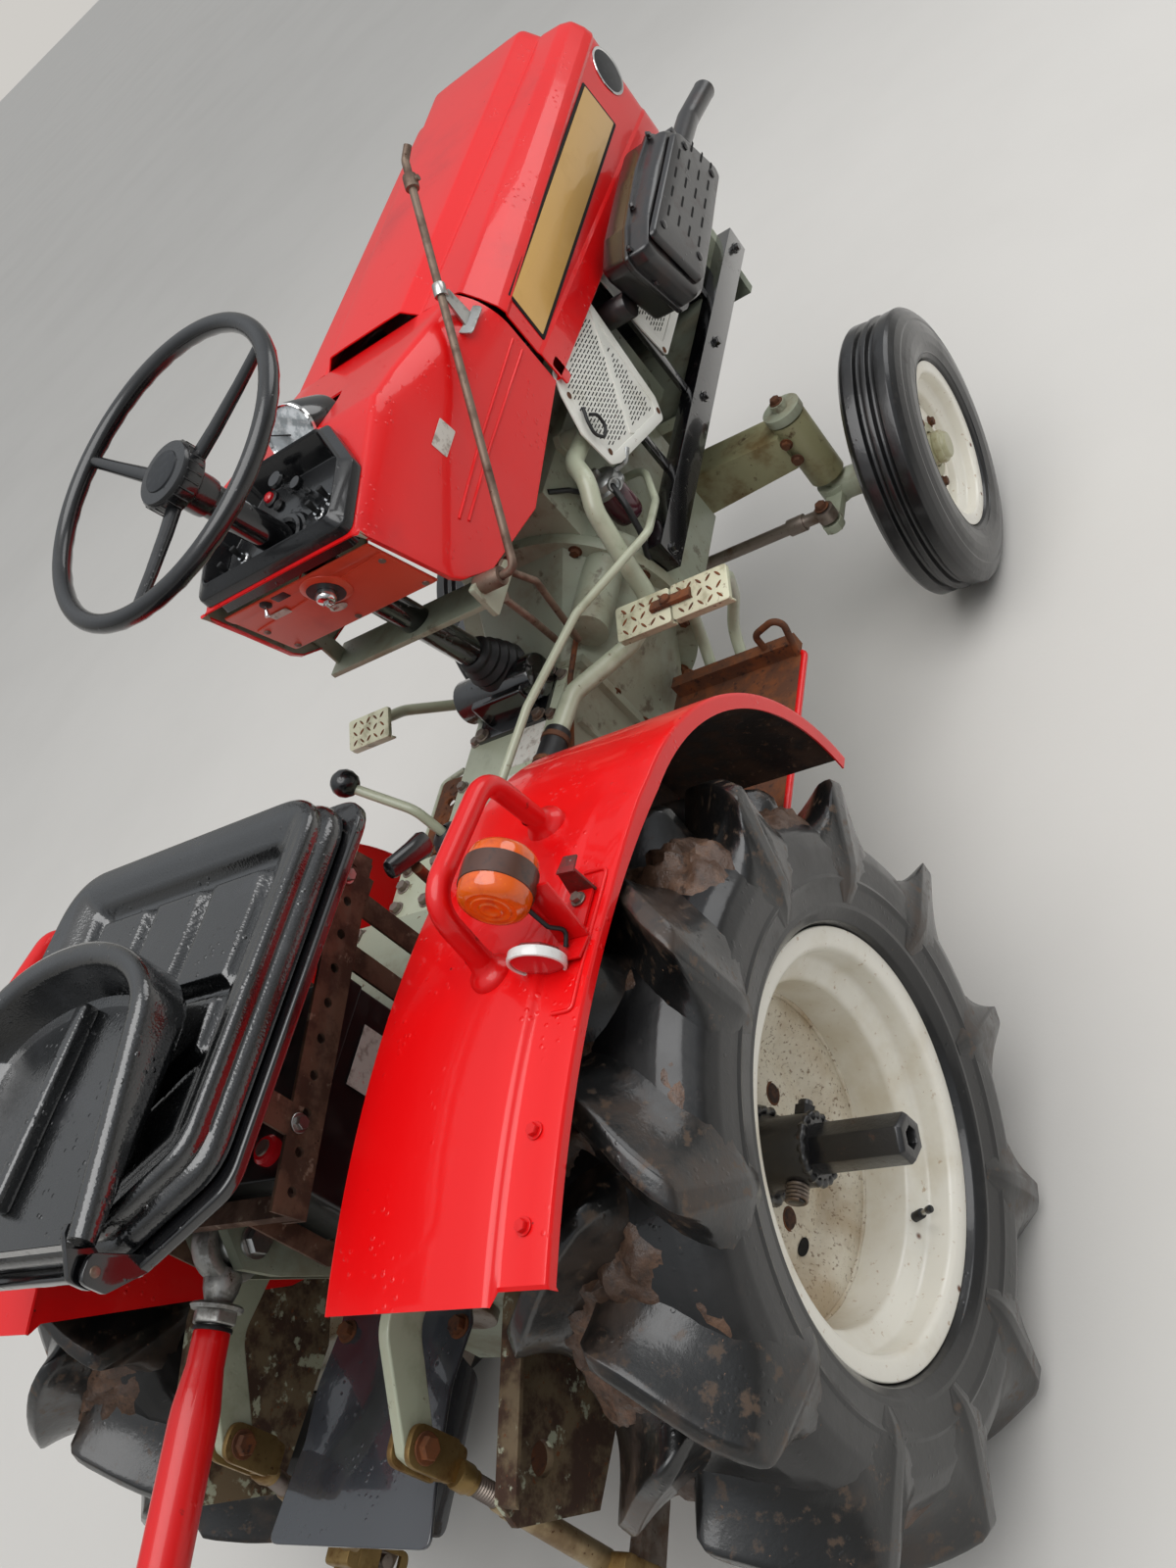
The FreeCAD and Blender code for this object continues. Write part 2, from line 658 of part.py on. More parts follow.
def dash_panel():
    rim = dash_prism(dash_outline, 0.3, 24)
    rim = rim.cut(dash_prism(scaled_outline(dash_outline, 0.9), -1, 30))
    face = dash_prism(scaled_outline(dash_outline, 0.945), -22, -14)
    wall = dash_prism(scaled_outline(dash_outline, 0.945), -22, 2)
    wall = wall.cut(dash_prism(scaled_outline(dash_outline, 0.9), -14, 30))
    body = joined([rim, face, wall])
    axis = column_axis
    return body.cut(rod(column_foot + axis * 200, wheel_centre, column_radius + 3))


def gauge_pod():
    bowl = rod(pod_foot - pod_tilt * 26, pod_foot + pod_tilt * 44, pod_radius)
    return bowl


def rear_fascia():
    slope = Vector(564 - 507, 0, 846 - 994)
    length = slope.Length
    slope.normalize()
    normal = Vector(slope.z, 0, -slope.x)
    start = Vector(507, 0, 994) + slope * 26 - normal * 3.4
    points = [start + Y * 131.7, start - Y * 131.7, start + slope * (length - 42) - Y * 131.7,
              start + slope * (length - 42) + Y * 131.7]
    plate = prism(points, normal * 3)
    lock = rod(start + slope * 50 - Y * 20, start + slope * 50 - Y * 20 + normal * 26, 15)
    switch = rod(start + slope * 34 + Y * 62, start + slope * 34 + Y * 62 + normal * 20, 5)
    return joined([plate, lock, switch])


def steering_column():
    axis = column_axis
    tube = rod(column_foot, wheel_centre - axis * 66, column_radius)
    box_top = case_top + 0.2
    gear = joined([box(610, 684, -46, 46, box_top, box_top + 52),
                   rod(Vector(650, -62, box_top + 34), Vector(650, 78, box_top + 34), 33),
                   flat_plate([(588, -62), (684, -62), (684, 62), (588, 62)], box_top, box_top + 10)])
    boot = Part.makeCone(40, 26, 70, column_foot - axis * 8, axis)
    return joined([tube, gear, boot])


def steering_wheel():
    face_axis = column_axis
    ring = Part.makeTorus(wheel_radius - wheel_rim_thickness, wheel_rim_thickness, wheel_centre, face_axis)
    hub_base = wheel_centre - face_axis * 62
    hub = rod(hub_base, wheel_centre - face_axis * 6, 34)
    cap = rod(wheel_centre - face_axis * 34, wheel_centre - face_axis * 2, 44)
    boss = rod(wheel_centre - face_axis * 65.5, wheel_centre - face_axis * 30, column_radius + 4)
    spokes = []
    across = Y
    ahead = face_axis.cross(across) * -1
    for angle in (0, 120, 240):
        turn = math.radians(angle)
        outward = ahead * -math.cos(turn) + across * math.sin(turn)
        spokes.append(rod(wheel_centre - face_axis * 30 + outward * 20,
                          wheel_centre + outward * (wheel_radius - wheel_rim_thickness), 9))
    return joined([ring, hub, cap, boss] + spokes)


# Radiator, tank, grilles and muffler under and beside the hood

def radiator():
    core = box(1580, 1640, -158, 158, 590, 930)
    top_tank = box(1572, 1648, -160, 160, 925, 972)
    bottom_tank = box(1572, 1648, -160, 160, deck_top + 0.2, 592)
    neck = rod(Vector(1612, 40, 972), Vector(1612, 40, 992), 24)
    shroud = box(1540, 1580, -150, 150, 600, 920).cut(box(1530, 1579, -132, 132, 618, 902))
    fan_ring = rod(Vector(1500, 0, 760), Vector(1541, 0, 760), 138)
    fan_ring = fan_ring.cut(rod(Vector(1490, 0, 760), Vector(1560, 0, 760), 132))
    return joined([core, top_tank, bottom_tank, neck, shroud, fan_ring])


def fuel_tank():
    tank = box(990, 1290, -150, 150, hoop_top + 0.2, 962)
    tank = tank.makeFillet(22, [edge for edge in tank.Edges if edge.Length > 250])
    neck = rod(Vector(1040, 60, 955), Vector(1040, 60, 984), 28)
    return joined([tank, neck])


def grille_panel(points, side):
    outer = Part.Face(Part.makePolygon([Vector(x, 0, z) for x, z in points + [points[0]]]))
    plate = outer.extrude(Vector(0, sheet, 0))
    recess = outer.makeOffset2D(-17)
    hollow = recess.copy()
    hollow.translate(Vector(0, 1.2, 0))
    body = plate.cut(hollow.extrude(Vector(0, sheet, 0)))
    if side > 0:
        body.translate(Vector(0, grille_y - sheet, 0))
        return body
    body = mirrored(body)
    body.translate(Vector(0, -grille_y + sheet, 0))
    return body


grille_y = 190
hoop_top = 856
grille_rear = [(968, 838), (948, 812), (924, 758), (932, 690), (955, 674), (1128, 612), (1150, 640), (1176, 842)]
grille_front = [(1238, 848), (1250, 700), (1262, 636), (1500, 632), (1560, 660), (1560, 842)]


def side_grilles():
    panels = []
    for name, side in SIDES:
        for outline in (grille_rear, grille_front):
            panel = grille_panel(outline, side)
            panels.append(panel)
    body = panels[0]
    for panel in panels[1:]:
        body = body.fuse(panel)
    return body


def hood_frame():
    # Three hoops of flat bar on the rails carry the tank and the side grilles.
    inner = rail_y - rail_flange + 1
    hoops = []
    for x in (1050, 1246, 1510):
        top = hoop_top if x < 1400 else 830
        for name, side in SIDES:
            hoops.append(sided_box(side, x, x + 16, inner, grille_y - sheet - 0.3, rail_top + 0.2, top))
        if x < 1400:
            hoops.append(box(x, x + 16, -inner - 2, inner + 2, top - 6, top))
    left = joined(hoops[0:3])
    middle = joined(hoops[3:6])
    return left.fuse(middle).fuse(hoops[6]).fuse(hoops[7])


def muffler():
    port, entry = exhaust_places()
    shell = side_plate([(1100, 886), (1440, 866), (1462, 846), (1590, 700), (1580, 686), (1190, 706),
                        (1160, 722), (1090, 860)], -318, -216)
    seam = side_plate([(1088, 894), (1446, 874), (1472, 850), (1602, 700), (1588, 677), (1186, 697),
                       (1150, 716), (1078, 860)], -270, -264)
    shield = side_plate([(1126, 872), (1430, 854), (1566, 708), (1210, 722)], -326, -322)
    posts = []
    for x, z in ((1160, 850), (1400, 838), (1240, 740), (1500, 728)):
        posts.append(rod(Vector(x, -316, z), Vector(x, -323, z), 6))
    inlet = rod(port, entry + Y * -6, 21)
    tail = bent_rod([Vector(1470, -262, 790), Vector(1690, -262, 788), Vector(1792, -276, 782)], 19, 60)
    return joined([shell, seam, shield, inlet, tail] + posts)


stay_radius = 5.5


def hood_stay_points():
    foot = Vector(582, -210, 817)
    clip = Vector(914, -172, 1034)
    top = clip + (clip - foot) * 0.56
    return foot, clip, top


# Fenders, platform and pedals

pedal_shaft = Vector(794, 0, 364)
pedal_shaft_radius = 11

fender_outer_y = 460
fender_crease_y = 410
fender_inner_y = 226
crown_rear = Vector(-300, 0, wheel_top)
crown_top = Vector(-40, 0, wheel_top + 27)
crown_shoulder = Vector(rear_radius - 195, 0, wheel_top - 5)


def fender_profile(offset):
    # Side view: a long crown over the wheel, then a tight curve down to the front tip.
    rear, crown = (place - Z * offset for place in (crown_rear, crown_top))
    centre = Vector(rear_radius - 250, 0, rear_radius + 59)
    lead = crown_shoulder - centre
    radius = lead.Length - offset
    first = math.atan2(lead.z, lead.x)
    last = math.radians(-1.4)
    middle = (first + last) / 2
    start = centre + Vector(math.cos(first), 0, math.sin(first)) * radius
    mid = centre + Vector(math.cos(middle), 0, math.sin(middle)) * radius
    end = centre + Vector(math.cos(last), 0, math.sin(last)) * radius
    return [Part.Arc(rear, crown, start).toShape(), Part.Arc(start, mid, end).toShape()], rear, end


def fender_band(y0, y1, drop, thickness):
    upper, rear_top, end_top = fender_profile(drop)
    lower, rear_low, end_low = fender_profile(drop + thickness)
    edges = upper + [Part.LineSegment(end_top, end_low).toShape()]
    edges += [edge for edge in reversed(lower)]
    edges.append(Part.LineSegment(rear_low, rear_top).toShape())
    face = Part.Face(Part.Wire(Part.__sortEdges__(edges)))
    face.translate(Vector(0, y0, 0))
    return face.extrude(Vector(0, y1 - y0, 0))


def fender(side):
    top = fender_band(fender_inner_y, fender_crease_y, 0, sheet)
    outer = fender_band(fender_crease_y - sheet, fender_outer_y, 7, sheet)
    step = fender_band(fender_crease_y - sheet, fender_crease_y, 0, 7 + sheet)
    lip = fender_band(fender_outer_y - sheet, fender_outer_y, 7, 12)
    solid = fender_band(fender_inner_y, fender_inner_y + sheet, 0, rear_radius - 43)
    wall = solid.common(box(-300, rear_radius + 105, 0, 600, axle_pad_z + 0.3, wheel_top + 40))
    foot = box(4, 60, fender_inner_y - 28, fender_inner_y + sheet, axle_pad_z + 0.3, axle_pad_z + 5)
    feet = [Vector(166, 350, wheel_top + 7), Vector(-12, 350, wheel_top + 29)]
    handle = bent_rod([feet[0] - Z * 6, Vector(152, 358, wheel_top + 102), Vector(0, 358, wheel_top + 122),
                       feet[1] - Z * 4], 11, 34)
    pads = [rod(foot_place - Z * 12, foot_place + Z * 3, 21) for foot_place in feet]
    body = joined([top, outer, step, lip, wall, foot] + pads + [handle])
    return on_side(body, side)


def crown_height(x):
    # The fender crown is an arc through its rear edge, top and front shoulder.
    circle = Part.Circle(crown_rear, crown_top, crown_shoulder)
    return circle.Center.z + math.sqrt(circle.Radius ** 2 - (x - circle.Center.x) ** 2)


def turn_lamps():
    lamps = []
    for name, side in SIDES:
        centre = Vector(22, 412, wheel_top + 100)
        drum = rod(centre - X * 31, centre + X * 31, 33)
        seat = crown_height(10) - 7 + 0.3
        stem = box(12, 34, 424, 428, seat, centre.z - 22)
        foot = box(10, 70, 420, 444, seat, seat + 5)
        lamps.append(on_side(joined([drum, stem, foot]), side))
    return lamps[0].fuse(lamps[1])


def footboards():
    right = flat_plate([(420, 132), (420, 348), (745, 348), (762, 300), (762, 132)], 394, 400)
    front_lip = box(742, 762, 140, 346, 400, 424)
    left = flat_plate([(420, 132), (420, 352), (745, 352), (745, 132)], 394, 400)
    loop = bent_rod([Vector(752, 300, 402), Vector(752, 300, 452), Vector(752, 352, 470), Vector(744, 340, 399)],
                    5, 14)
    carriers = [box(x, x + 42, case_half_width + 0.3, 140, 372, 394) for x in (484, 626)]
    sill = side_plate([(420, 400), (420, 380), (740, 380), (770, 338), (812, 338), (822, 366), (808, 392),
                       (764, 400)], 132, 140)
    sill = sill.cut(rod(at_y(pedal_shaft, 120), at_y(pedal_shaft, 150), pedal_shaft_radius + turning_gap))
    shelf = joined([right, front_lip, sill, loop] + carriers)
    holes = []
    for x in range(470, 740, 56):
        for y in range(180, 340, 44):
            holes.append(rod(Vector(x, y, 390), Vector(x, y, 404), 9))
    plate = without(joined([left, sill] + carriers), holes)
    return mirrored(shelf).fuse(plate)


seat_base = 905
seat_top = 960
seat_half_width = 222
seat_rear_x = -306
seat_front_x = 162
rail_slope = 9
rail_half = 152
rail_centre = Vector(-40, 0, 830)
backrest_axis = Vector(-318, 0, 952)
backrest_pin_radius = 5


def seat_frame():
    # Punched angle irons rise towards the front on legs, with straps up to the seat's base.
    rails = []
    for name, side in SIDES:
        upright = sided_box(side, -216, 150, rail_half, rail_half + 4, 810, 850)
        shelf = sided_box(side, -216, 150, rail_half - 26, rail_half + 4, 810, 814)
        angle = joined([upright, shelf])
        holes = [rod(Vector(x, side * 130, 832), Vector(x, side * 170, 832), 5) for x in range(-195, 140, 36)]
        angle = without(angle, holes)
        angle.rotate(rail_centre, Y, -rail_slope)
        rails.append(angle)
        for x in (-150, 100):
            rails.append(sided_box(side, x, x + 30, rail_half, rail_half + 4, 830, seat_base - 0.3))
    legs = []
    for name, side in SIDES:
        for x in (60, 120):
            legs.append(sided_box(side, x, x + 26, 104, 108, 640.3, 846))
        rear = side_plate([(-150.3, 602), (-150.3, 628), (-184, 650), (-190, 700), (-190, 800), (-212, 800), (-212, 690),
                           (-174, 602)], 84, 88)
        legs.append(on_side(rear, side))
    bars = [box(x, x + 26, -rail_half - 2, rail_half + 2, 836, 846) for x in (60, 120)]
    bars.append(box(-212, -190, -rail_half - 2, rail_half + 2, 790, 800))
    return joined(rails + bars + legs)


def rounded_slab(points, radius, z0, z1):
    slab = flat_plate(points, z0, z1)
    upright = [edge for edge in slab.Edges if abs(edge.BoundBox.ZLength - (z1 - z0)) < 0.01]
    return slab.makeFillet(radius, upright)


def seat_outline(inset):
    half = seat_half_width - inset
    rear = seat_rear_x + inset
    front = seat_front_x - inset
    return [(rear, -half + 90), (rear + 66, -half), (front, -half), (front, half), (rear + 66, half),
            (rear, half - 90)]


def seat_pan():
    base = rounded_slab(seat_outline(0), 40, seat_base, seat_base + 12)
    cushion = rounded_slab(seat_outline(10), 44, seat_base + 11, seat_top)
    rim = [edge for edge in cushion.Edges if edge.BoundBox.ZMin > seat_top - 1]
    cushion = cushion.makeFillet(12, rim)
    dish = rounded_slab(seat_outline(58), 20, seat_top - 8, seat_top + 10)
    ears = []
    for name, side in SIDES:
        ear = side_plate([(-300, seat_base), (-330, 936), (-330, 962), (-306, 962), (-290, seat_base + 12)],
                         132, 138)
        pin = rod(at_y(backrest_axis, 120), at_y(backrest_axis, 138), backrest_pin_radius)
        ears.append(on_side(ear.fuse(pin), side))
    return joined([base, cushion.cut(dish)] + ears)


def backrest_plan(inset, rear_x):
    half = 155 - inset
    tip = -28 - inset
    straight = -120
    nose = Part.Arc(Vector(straight, -half, 0), Vector(tip, 0, 0), Vector(straight, half, 0)).toShape()
    sides = Part.makePolygon([Vector(straight, half, 0), Vector(rear_x, half, 0), Vector(rear_x, -half, 0),
                              Vector(straight, -half, 0)])
    return Part.Face(Part.Wire([nose] + sides.Edges))


def seat_backrest():
    # The backrest lies folded forward: a shell with a thick rim, its hollow side up.
    low = seat_top + 5.5
    block = backrest_plan(0, -304)
    block.translate(Vector(0, 0, low))
    block = block.extrude(Vector(0, 0, 90))
    crown = side_plate([(-310, low - 5), (-310, 986), (-20, 1032), (-20, low - 5)], -200, 200)
    hollow = backrest_plan(24, -330)
    hollow.translate(Vector(0, 0, low + 10))
    shell = block.common(crown).cut(hollow.extrude(Vector(0, 0, 120)))
    rib = box(-270, -70, -9, 9, low + 8, low + 26)
    knuckles = []
    for name, side in SIDES:
        plate = side_plate([(-330, 940), (-330, 964), (-298, 984), (-290, 984), (-290, low + 2), (-306, 940)],
                           121, 127)
        knuckles.append(on_side(plate, side))
    body = joined([shell, rib] + knuckles)
    return body.cut(rod(at_y(backrest_axis, -160), at_y(backrest_axis, 160), backrest_pin_radius + turning_gap / 2))


def battery():
    case = box(-172, 40, -122, 12, 662.3, 800)
    posts = [rod(Vector(-146, y, 798), Vector(-146, y, 814), 9) for y in (-96, -14)]
    return joined([case] + posts)


def pedal(pad, root, width, length):
    tread = box(pad.x - length / 2, pad.x + length / 2, pad.y - width / 2, pad.y + width / 2, pad.z, pad.z + 9)
    tread.rotate(pad, Y, -24)
    arm = bent_rod([pad + Vector(6, 0, 6), pad + Vector(76, 0, -44), Vector(822, (pad.y + root.y) / 2, 478),
                    Vector(838, root.y, 410), root], 9, 40)
    sleeve = rod(root - Y * 15, root + Y * 15, 18)
    return joined([tread, arm, sleeve])


def pedals():
    brake_shaft = rod(at_y(pedal_shaft, 126), at_y(pedal_shaft, 246), pedal_shaft_radius)
    brakes = [pedal(Vector(688, 231, 600), at_y(pedal_shaft, 172), 84, 74),
              pedal(Vector(688, 322, 600), at_y(pedal_shaft, 226), 84, 74)]
    latch = box(682, 694, 246, 310, 598, 604)
    clutch_shaft = rod(at_y(pedal_shaft, 126), at_y(pedal_shaft, 230), pedal_shaft_radius)
    clutch = pedal(Vector(688, 300, 600), at_y(pedal_shaft, 200), 84, 74)
    return mirrored(joined([brake_shaft, latch] + brakes)).fuse(joined([clutch_shaft, clutch]))


def control_levers():
    gear = bent_rod([Vector(420, 60, case_top + 8), Vector(430, 74, 640), Vector(452, 148, 694)], 7, 40)
    knob = Part.makeSphere(20, Vector(456, 156, 704))
    gear_base = rod(Vector(420, 60, case_top + 0.2), Vector(420, 60, case_top + 26), 26)
    lift = bent_rod([Vector(196, -118, 622), Vector(196, -160, 640), Vector(156, -200, 730),
                     Vector(138, -206, 800), Vector(128, -221, 840)], 6, 26)
    paddle = box(104, 164, -230, -213, 824, 870)
    paddle.rotate(Vector(128, -221, 840), Y, 30)
    lift_base = rod(Vector(196, -124, 616), Vector(196, -112.2, 616), 22)
    gear_lever = joined([gear, knob, gear_base])
    lift_lever = joined([lift, paddle, lift_base])
    return gear_lever.fuse(lift_lever)


def hydraulic_pipes():
    suction = bent_rod([Vector(985, -112.3, 728), Vector(985, -160, 728), Vector(900, -163, 738), Vector(856, -190, 728),
                        Vector(822, -190, 700), Vector(786, -196, 622), Vector(770, -196, 552),
                        Vector(700, -170, 556), Vector(600, -118, 592), Vector(420, -106, 598),
                        Vector(256, -106, 598)], 14, 50)
    pressure = bent_rod([Vector(1040, -112.3, 600), Vector(1040, -160, 600), Vector(960, -190, 590),
                         Vector(812, -240, 640), Vector(660, -170, 668), Vector(520, -118, 662),
                         Vector(400, -80, 640), Vector(256, -60, 630)], 6, 50)
    suction_foot = rod(Vector(250.2, -106, 598), Vector(262, -106, 598), 19)
    pressure_foot = rod(Vector(250.2, -60, 630), Vector(262, -60, 630), 9.5)
    sleeve = rod(Vector(470, -109.3, 597), Vector(530, -113.3, 595), 18)
    return joined([suction, suction_foot, sleeve]).fuse(joined([pressure, pressure_foot]))


def fuel_filter():
    centre = Vector(946, -149, 0)
    bowl = rod(centre + Z * 590, centre + Z * 650, 25)
    head = rod(centre + Z * 650, centre + Z * 674, 31)
    arm = box(930, 962, -126, -112.2, 652, 672)
    return joined([bowl, head, arm])


def drawbar():
    bar = box(-300, -40, -32, 32, 236, 251.8)
    eye_end = rod(Vector(-300, 0, 236), Vector(-300, 0, 251.8), 32)
    hole = rod(Vector(-300, 0, 230), Vector(-300, 0, 260), drawbar_bore_radius)
    shoe = box(-100, -20, -112, 112, 236, 251.8)
    return joined([bar, eye_end, shoe]).cut(hole)


def hitch_plates():
    plates = []
    for name, side in SIDES:
        pad = axle_pad_z + 0.2
        plate = side_plate([(0, pad + 5), (-100, 596), (-215, 592), (-380, 548), (-392, 520), (-350, 410),
                            (-180, 400), (-62, 440), (-62, pad), (0, pad)], 231, 239)
        flange = side_plate([(-118, 597), (-215, 592), (-380, 548), (-382, 542), (-216, 586), (-120, 590)],
                            238, 256)
        shoe = box(-52, 0, 231, 260, pad, pad + 6)
        plate = plate.cut(rod(Vector(-330, 225, 505), Vector(-330, 245, 505), 16))
        plates.append(on_side(joined([plate, flange, shoe]), side))
    return plates[0].fuse(plates[1])


def link_brackets():
    ears = []
    for name, side in SIDES:
        ears.append(sided_box(side, -96, -24, 116, 132, 205, 300))
    return ears


def pto_shaft():
    shaft = rod(Vector(-150, 0, 430), Vector(-232, 0, 430), 17)
    flange = rod(Vector(-150, 0, 430), Vector(-162, 0, 430), 52)
    return joined([shaft, flange])


def pto_shield():
    outline = [(-152, -86), (-200, -108), (-262, -98), (-320, -104), (-360, -110), (-412, -120), (-418, 112),
               (-360, 106), (-320, 99), (-262, 104), (-204, 94), (-152, 96)]
    top = flat_plate(outline, 500, 504)
    mount = box(-156, -150.2, -86, 86, 486, 504)
    wings = []
    hang = Vector(0, -8, -46)
    for name, side in SIDES:
        top_edge = [Vector(-228, -93, 501), Vector(-400, -93, 501)]
        low_edge = [top_edge[1] + hang + X * 8, top_edge[0] + hang - X * 12]
        wing = prism(top_edge + low_edge, Vector(0, 3, 0))
        wings.append(wing if side < 0 else mirrored(wing))
    bolts = [rod(Vector(-205, y, 503), Vector(-205, y, 514), 11) for y in (-92, 78)]
    return joined([top, mount] + wings + bolts)


# Three-point linkage

def lift_arms():
    shaft = rod(Vector(lift_shaft.x, -lift_arm_y - 12, lift_shaft.z),
                Vector(lift_shaft.x, lift_arm_y + 12, lift_shaft.z), lift_shaft_radius)
    arms = [shaft]
    for name, side in SIDES:
        arm = side_plate([(-66, 588), (-118, 582), (-240, 602), (-330, 548), (-358, 556), (-352, 582),
                          (-258, 644), (-120, 646), (-66, 636)], 0, link_thick)
        arm.translate(Vector(0, lift_arm_y - 7, 0))
        arm = arm.fuse(rod(Vector(lift_shaft.x, lift_arm_y - 14, lift_shaft.z),
                           Vector(lift_shaft.x, lift_arm_y + 14, lift_shaft.z), 36))
        pin = rod(at_y(lift_pin, lift_arm_y - 24), at_y(lift_pin, lift_arm_y + 24), lift_pin_radius)
        arms.append(on_side(arm.fuse(pin), side))
    return joined(arms)


def rod_points():
    start = at_y(link_pivot, link_pivot_y)
    end = at_y(link_end, link_end_y)
    foot = start + (end - start) * ((link_pivot.x - rod_foot_x) / (link_pivot.x - link_end.x))
    return at_y(lift_pin, lift_arm_y), foot


def lift_rod(side):
    head, foot = rod_points()
    along = (foot - head).normalize()
    fork_gap = 8
    cheeks = []
    for y in (-1, 1):
        cheek = side_plate([(head.x - 20, head.z + 20), (head.x + 20, head.z + 20), (head.x + 20, head.z - 40),
                            (head.x - 20, head.z - 40)], 0, 7)
        offset = fork_gap if y > 0 else -fork_gap - 7
        cheek.translate(Vector(0, head.y + offset, 0))
        cheeks.append(cheek)
    neck = box(head.x - 18, head.x + 18, head.y - fork_gap - 7, head.y + fork_gap + 7, head.z - 56, head.z - 34)
    tube = rod(head + along * 48, foot - along * 52, 12)
    bores = [rod(at_y(head, head.y - 40), at_y(head, head.y + 40), lift_pin_radius + turning_gap)]
    outside = link_fork_gap + 5
    lower_neck = box(foot.x - 18, foot.x + 18, foot.y - outside, foot.y + outside, foot.z + 44, foot.z + 62)
    lower = []
    for y in (-outside, link_fork_gap):
        cheek = box(foot.x - 22, foot.x + 17, foot.y + y, foot.y + y + 5, foot.z - 34, foot.z + 46)
        slot = box(foot.x - 15, foot.x + 10, foot.y + y - 2, foot.y + y + 7, foot.z - 21, foot.z + 12)
        lower.append(cheek.cut(slot))
    return on_side(without(joined(cheeks + [neck, tube, lower_neck] + lower), bores), side)


def lower_link(side):
    start = at_y(link_pivot, link_pivot_y)
    end = at_y(link_end, link_end_y)
    along = end - start
    half = link_thick / 2
    points = []
    for share, height in ((0.025, 16), (0.5, 24), (0.975, 16), (0.975, -16), (0.5, -24), (0.025, -16)):
        place = start + along * share
        points.append(Vector(place.x, place.y - half, place.z + height))
    bar = prism(points, Y * link_thick)
    front_eye = eye(start, Y, 24, 10 + turning_gap, 26)
    rear_eye = eye(end, Y, link_ball_radius, link_bore_radius, 34)
    head, foot = rod_points()
    pin_half = link_fork_gap + 6
    pin = rod(foot - Y * pin_half, foot + Y * pin_half, 8)
    bores = [rod(start - Y * 20, start + Y * 20, 10 + turning_gap),
             rod(end - Y * 24, end + Y * 24, link_bore_radius)]
    return on_side(without(joined([bar, front_eye, rear_eye, pin]), bores), side)


def link_pins():
    pins = []
    for name, side in SIDES:
        start = Vector(link_pivot.x, side * 131, link_pivot.z)
        end = Vector(link_pivot.x, side * (link_pivot_y + 18), link_pivot.z)
        pins.append(rod(start, end, 10))
    return pins


def top_link():
    along = (top_link_rear - top_link_front).normalize()
    front_eye = eye(top_link_front, Y, 24, top_bore_radius, 38)
    rear_eye = eye(top_link_rear, Y, 24, top_bore_radius, 38)
    shank = rod(top_link_front + along * 20, top_link_rear - along * 20, 10)
    tube = rod(top_link_front + along * 76, top_link_rear - along * 76, top_link_radius)
    nut = rod(top_link_front + along * 60, top_link_front + along * 78, 19)
    rear_nut = rod(top_link_rear - along * 78, top_link_rear - along * 60, 19)
    bores = [rod(at_y(place, -30), at_y(place, 30), top_bore_radius) for place in (top_link_front, top_link_rear)]
    return without(joined([front_eye, rear_eye, shank, tube, nut, rear_nut]), bores)


def hood_stay():
    foot, clip, top = hood_stay_points()
    bar = bent_rod([foot + Y * 36, foot, top], stay_radius, 14)
    along = (top - foot).normalize()
    clamp = rod(top - along * 66, top - along * 44, 10)
    return joined([bar, clamp])


def cowl_brackets():
    # A bar across the column carries the cowl's flanks and the hood stay's socket; a saddle holds the stay.
    foot, clip, top = hood_stay_points()
    along = (top - foot).normalize()
    bar = box(588, 650, -156, 156, 778, 786)
    bar = bar.cut(rod(column_foot, wheel_centre, column_radius + 0.3))
    tabs = [sided_box(side, 606, 634, 146, 150.2, 778, 850) for name, side in SIDES]
    plate = side_plate([(562, 778), (562, 830), (584, 826), (618, 800), (650, 796), (650, 778)], -158, -150)
    socket = rod(foot + Y * 20, foot + Y * 60, 12)
    bore = rod(foot + Y * 10, foot + Y * 38, stay_radius + turning_gap)
    frame = joined([bar, plate, socket] + tabs).cut(bore)
    saddle = box(902, 928, -190, -150, 985, clip.z + 2)
    channel = rod(clip - along * 60, clip + along * 60, stay_radius + turning_gap)
    clearance = box(880, 950, clip.y - 12, clip.y + 10, clip.z - 4, 1100)
    saddle = without(saddle, [channel, clearance, cowl_solid(0)])
    return frame.fuse(saddle)


shapes = {}
shapes["transmission_case"] = joined([transmission_case()] + link_brackets() + link_pins())
shapes["clutch_housing"] = clutch_housing()
shapes["engine_block"] = engine_block()
shapes["rear_axle_housing"] = rear_axle_housing()
shapes["lift_housing"] = lift_housing()
shapes["frame_rails"] = frame_rails()
shapes["front_bolster"] = front_bolster()
shapes["front_axle_beam"] = front_axle_beam()
shapes["radiator"] = radiator()
shapes["fuel_tank"] = fuel_tank()
shapes["side_grilles"] = side_grilles()
shapes["muffler"] = muffler()
shapes["cowl"] = cowl()
shapes["dash_panel"] = dash_panel().fuse(gauge_pod())
shapes["rear_fascia"] = rear_fascia()
shapes["steering_column"] = steering_column()
shapes["steering_wheel"] = steering_wheel()
shapes["hood"] = hood()
shapes["nose_grille"] = nose_grille()
shapes["headlamps"] = headlamps()
shapes["hood_stay"] = hood_stay()
shapes["turn_lamps"] = turn_lamps()
shapes["footboards"] = footboards()
shapes["seat_frame"] = seat_frame()
shapes["seat_pan"] = seat_pan()
shapes["seat_backrest"] = seat_backrest()
shapes["battery"] = battery()
shapes["pedals"] = pedals()
shapes["control_levers"] = control_levers()
shapes["hydraulic_pipes"] = hydraulic_pipes().fuse(fuel_filter())
shapes["hood_frame"] = hood_frame()
shapes["cowl_brackets"] = cowl_brackets()
shapes["drawbar"] = drawbar()
shapes["hitch_plates"] = hitch_plates()
shapes["pto_shaft"] = pto_shaft()
shapes["pto_shield"] = pto_shield()
shapes["lift_arms"] = lift_arms()
shapes["top_link"] = top_link()
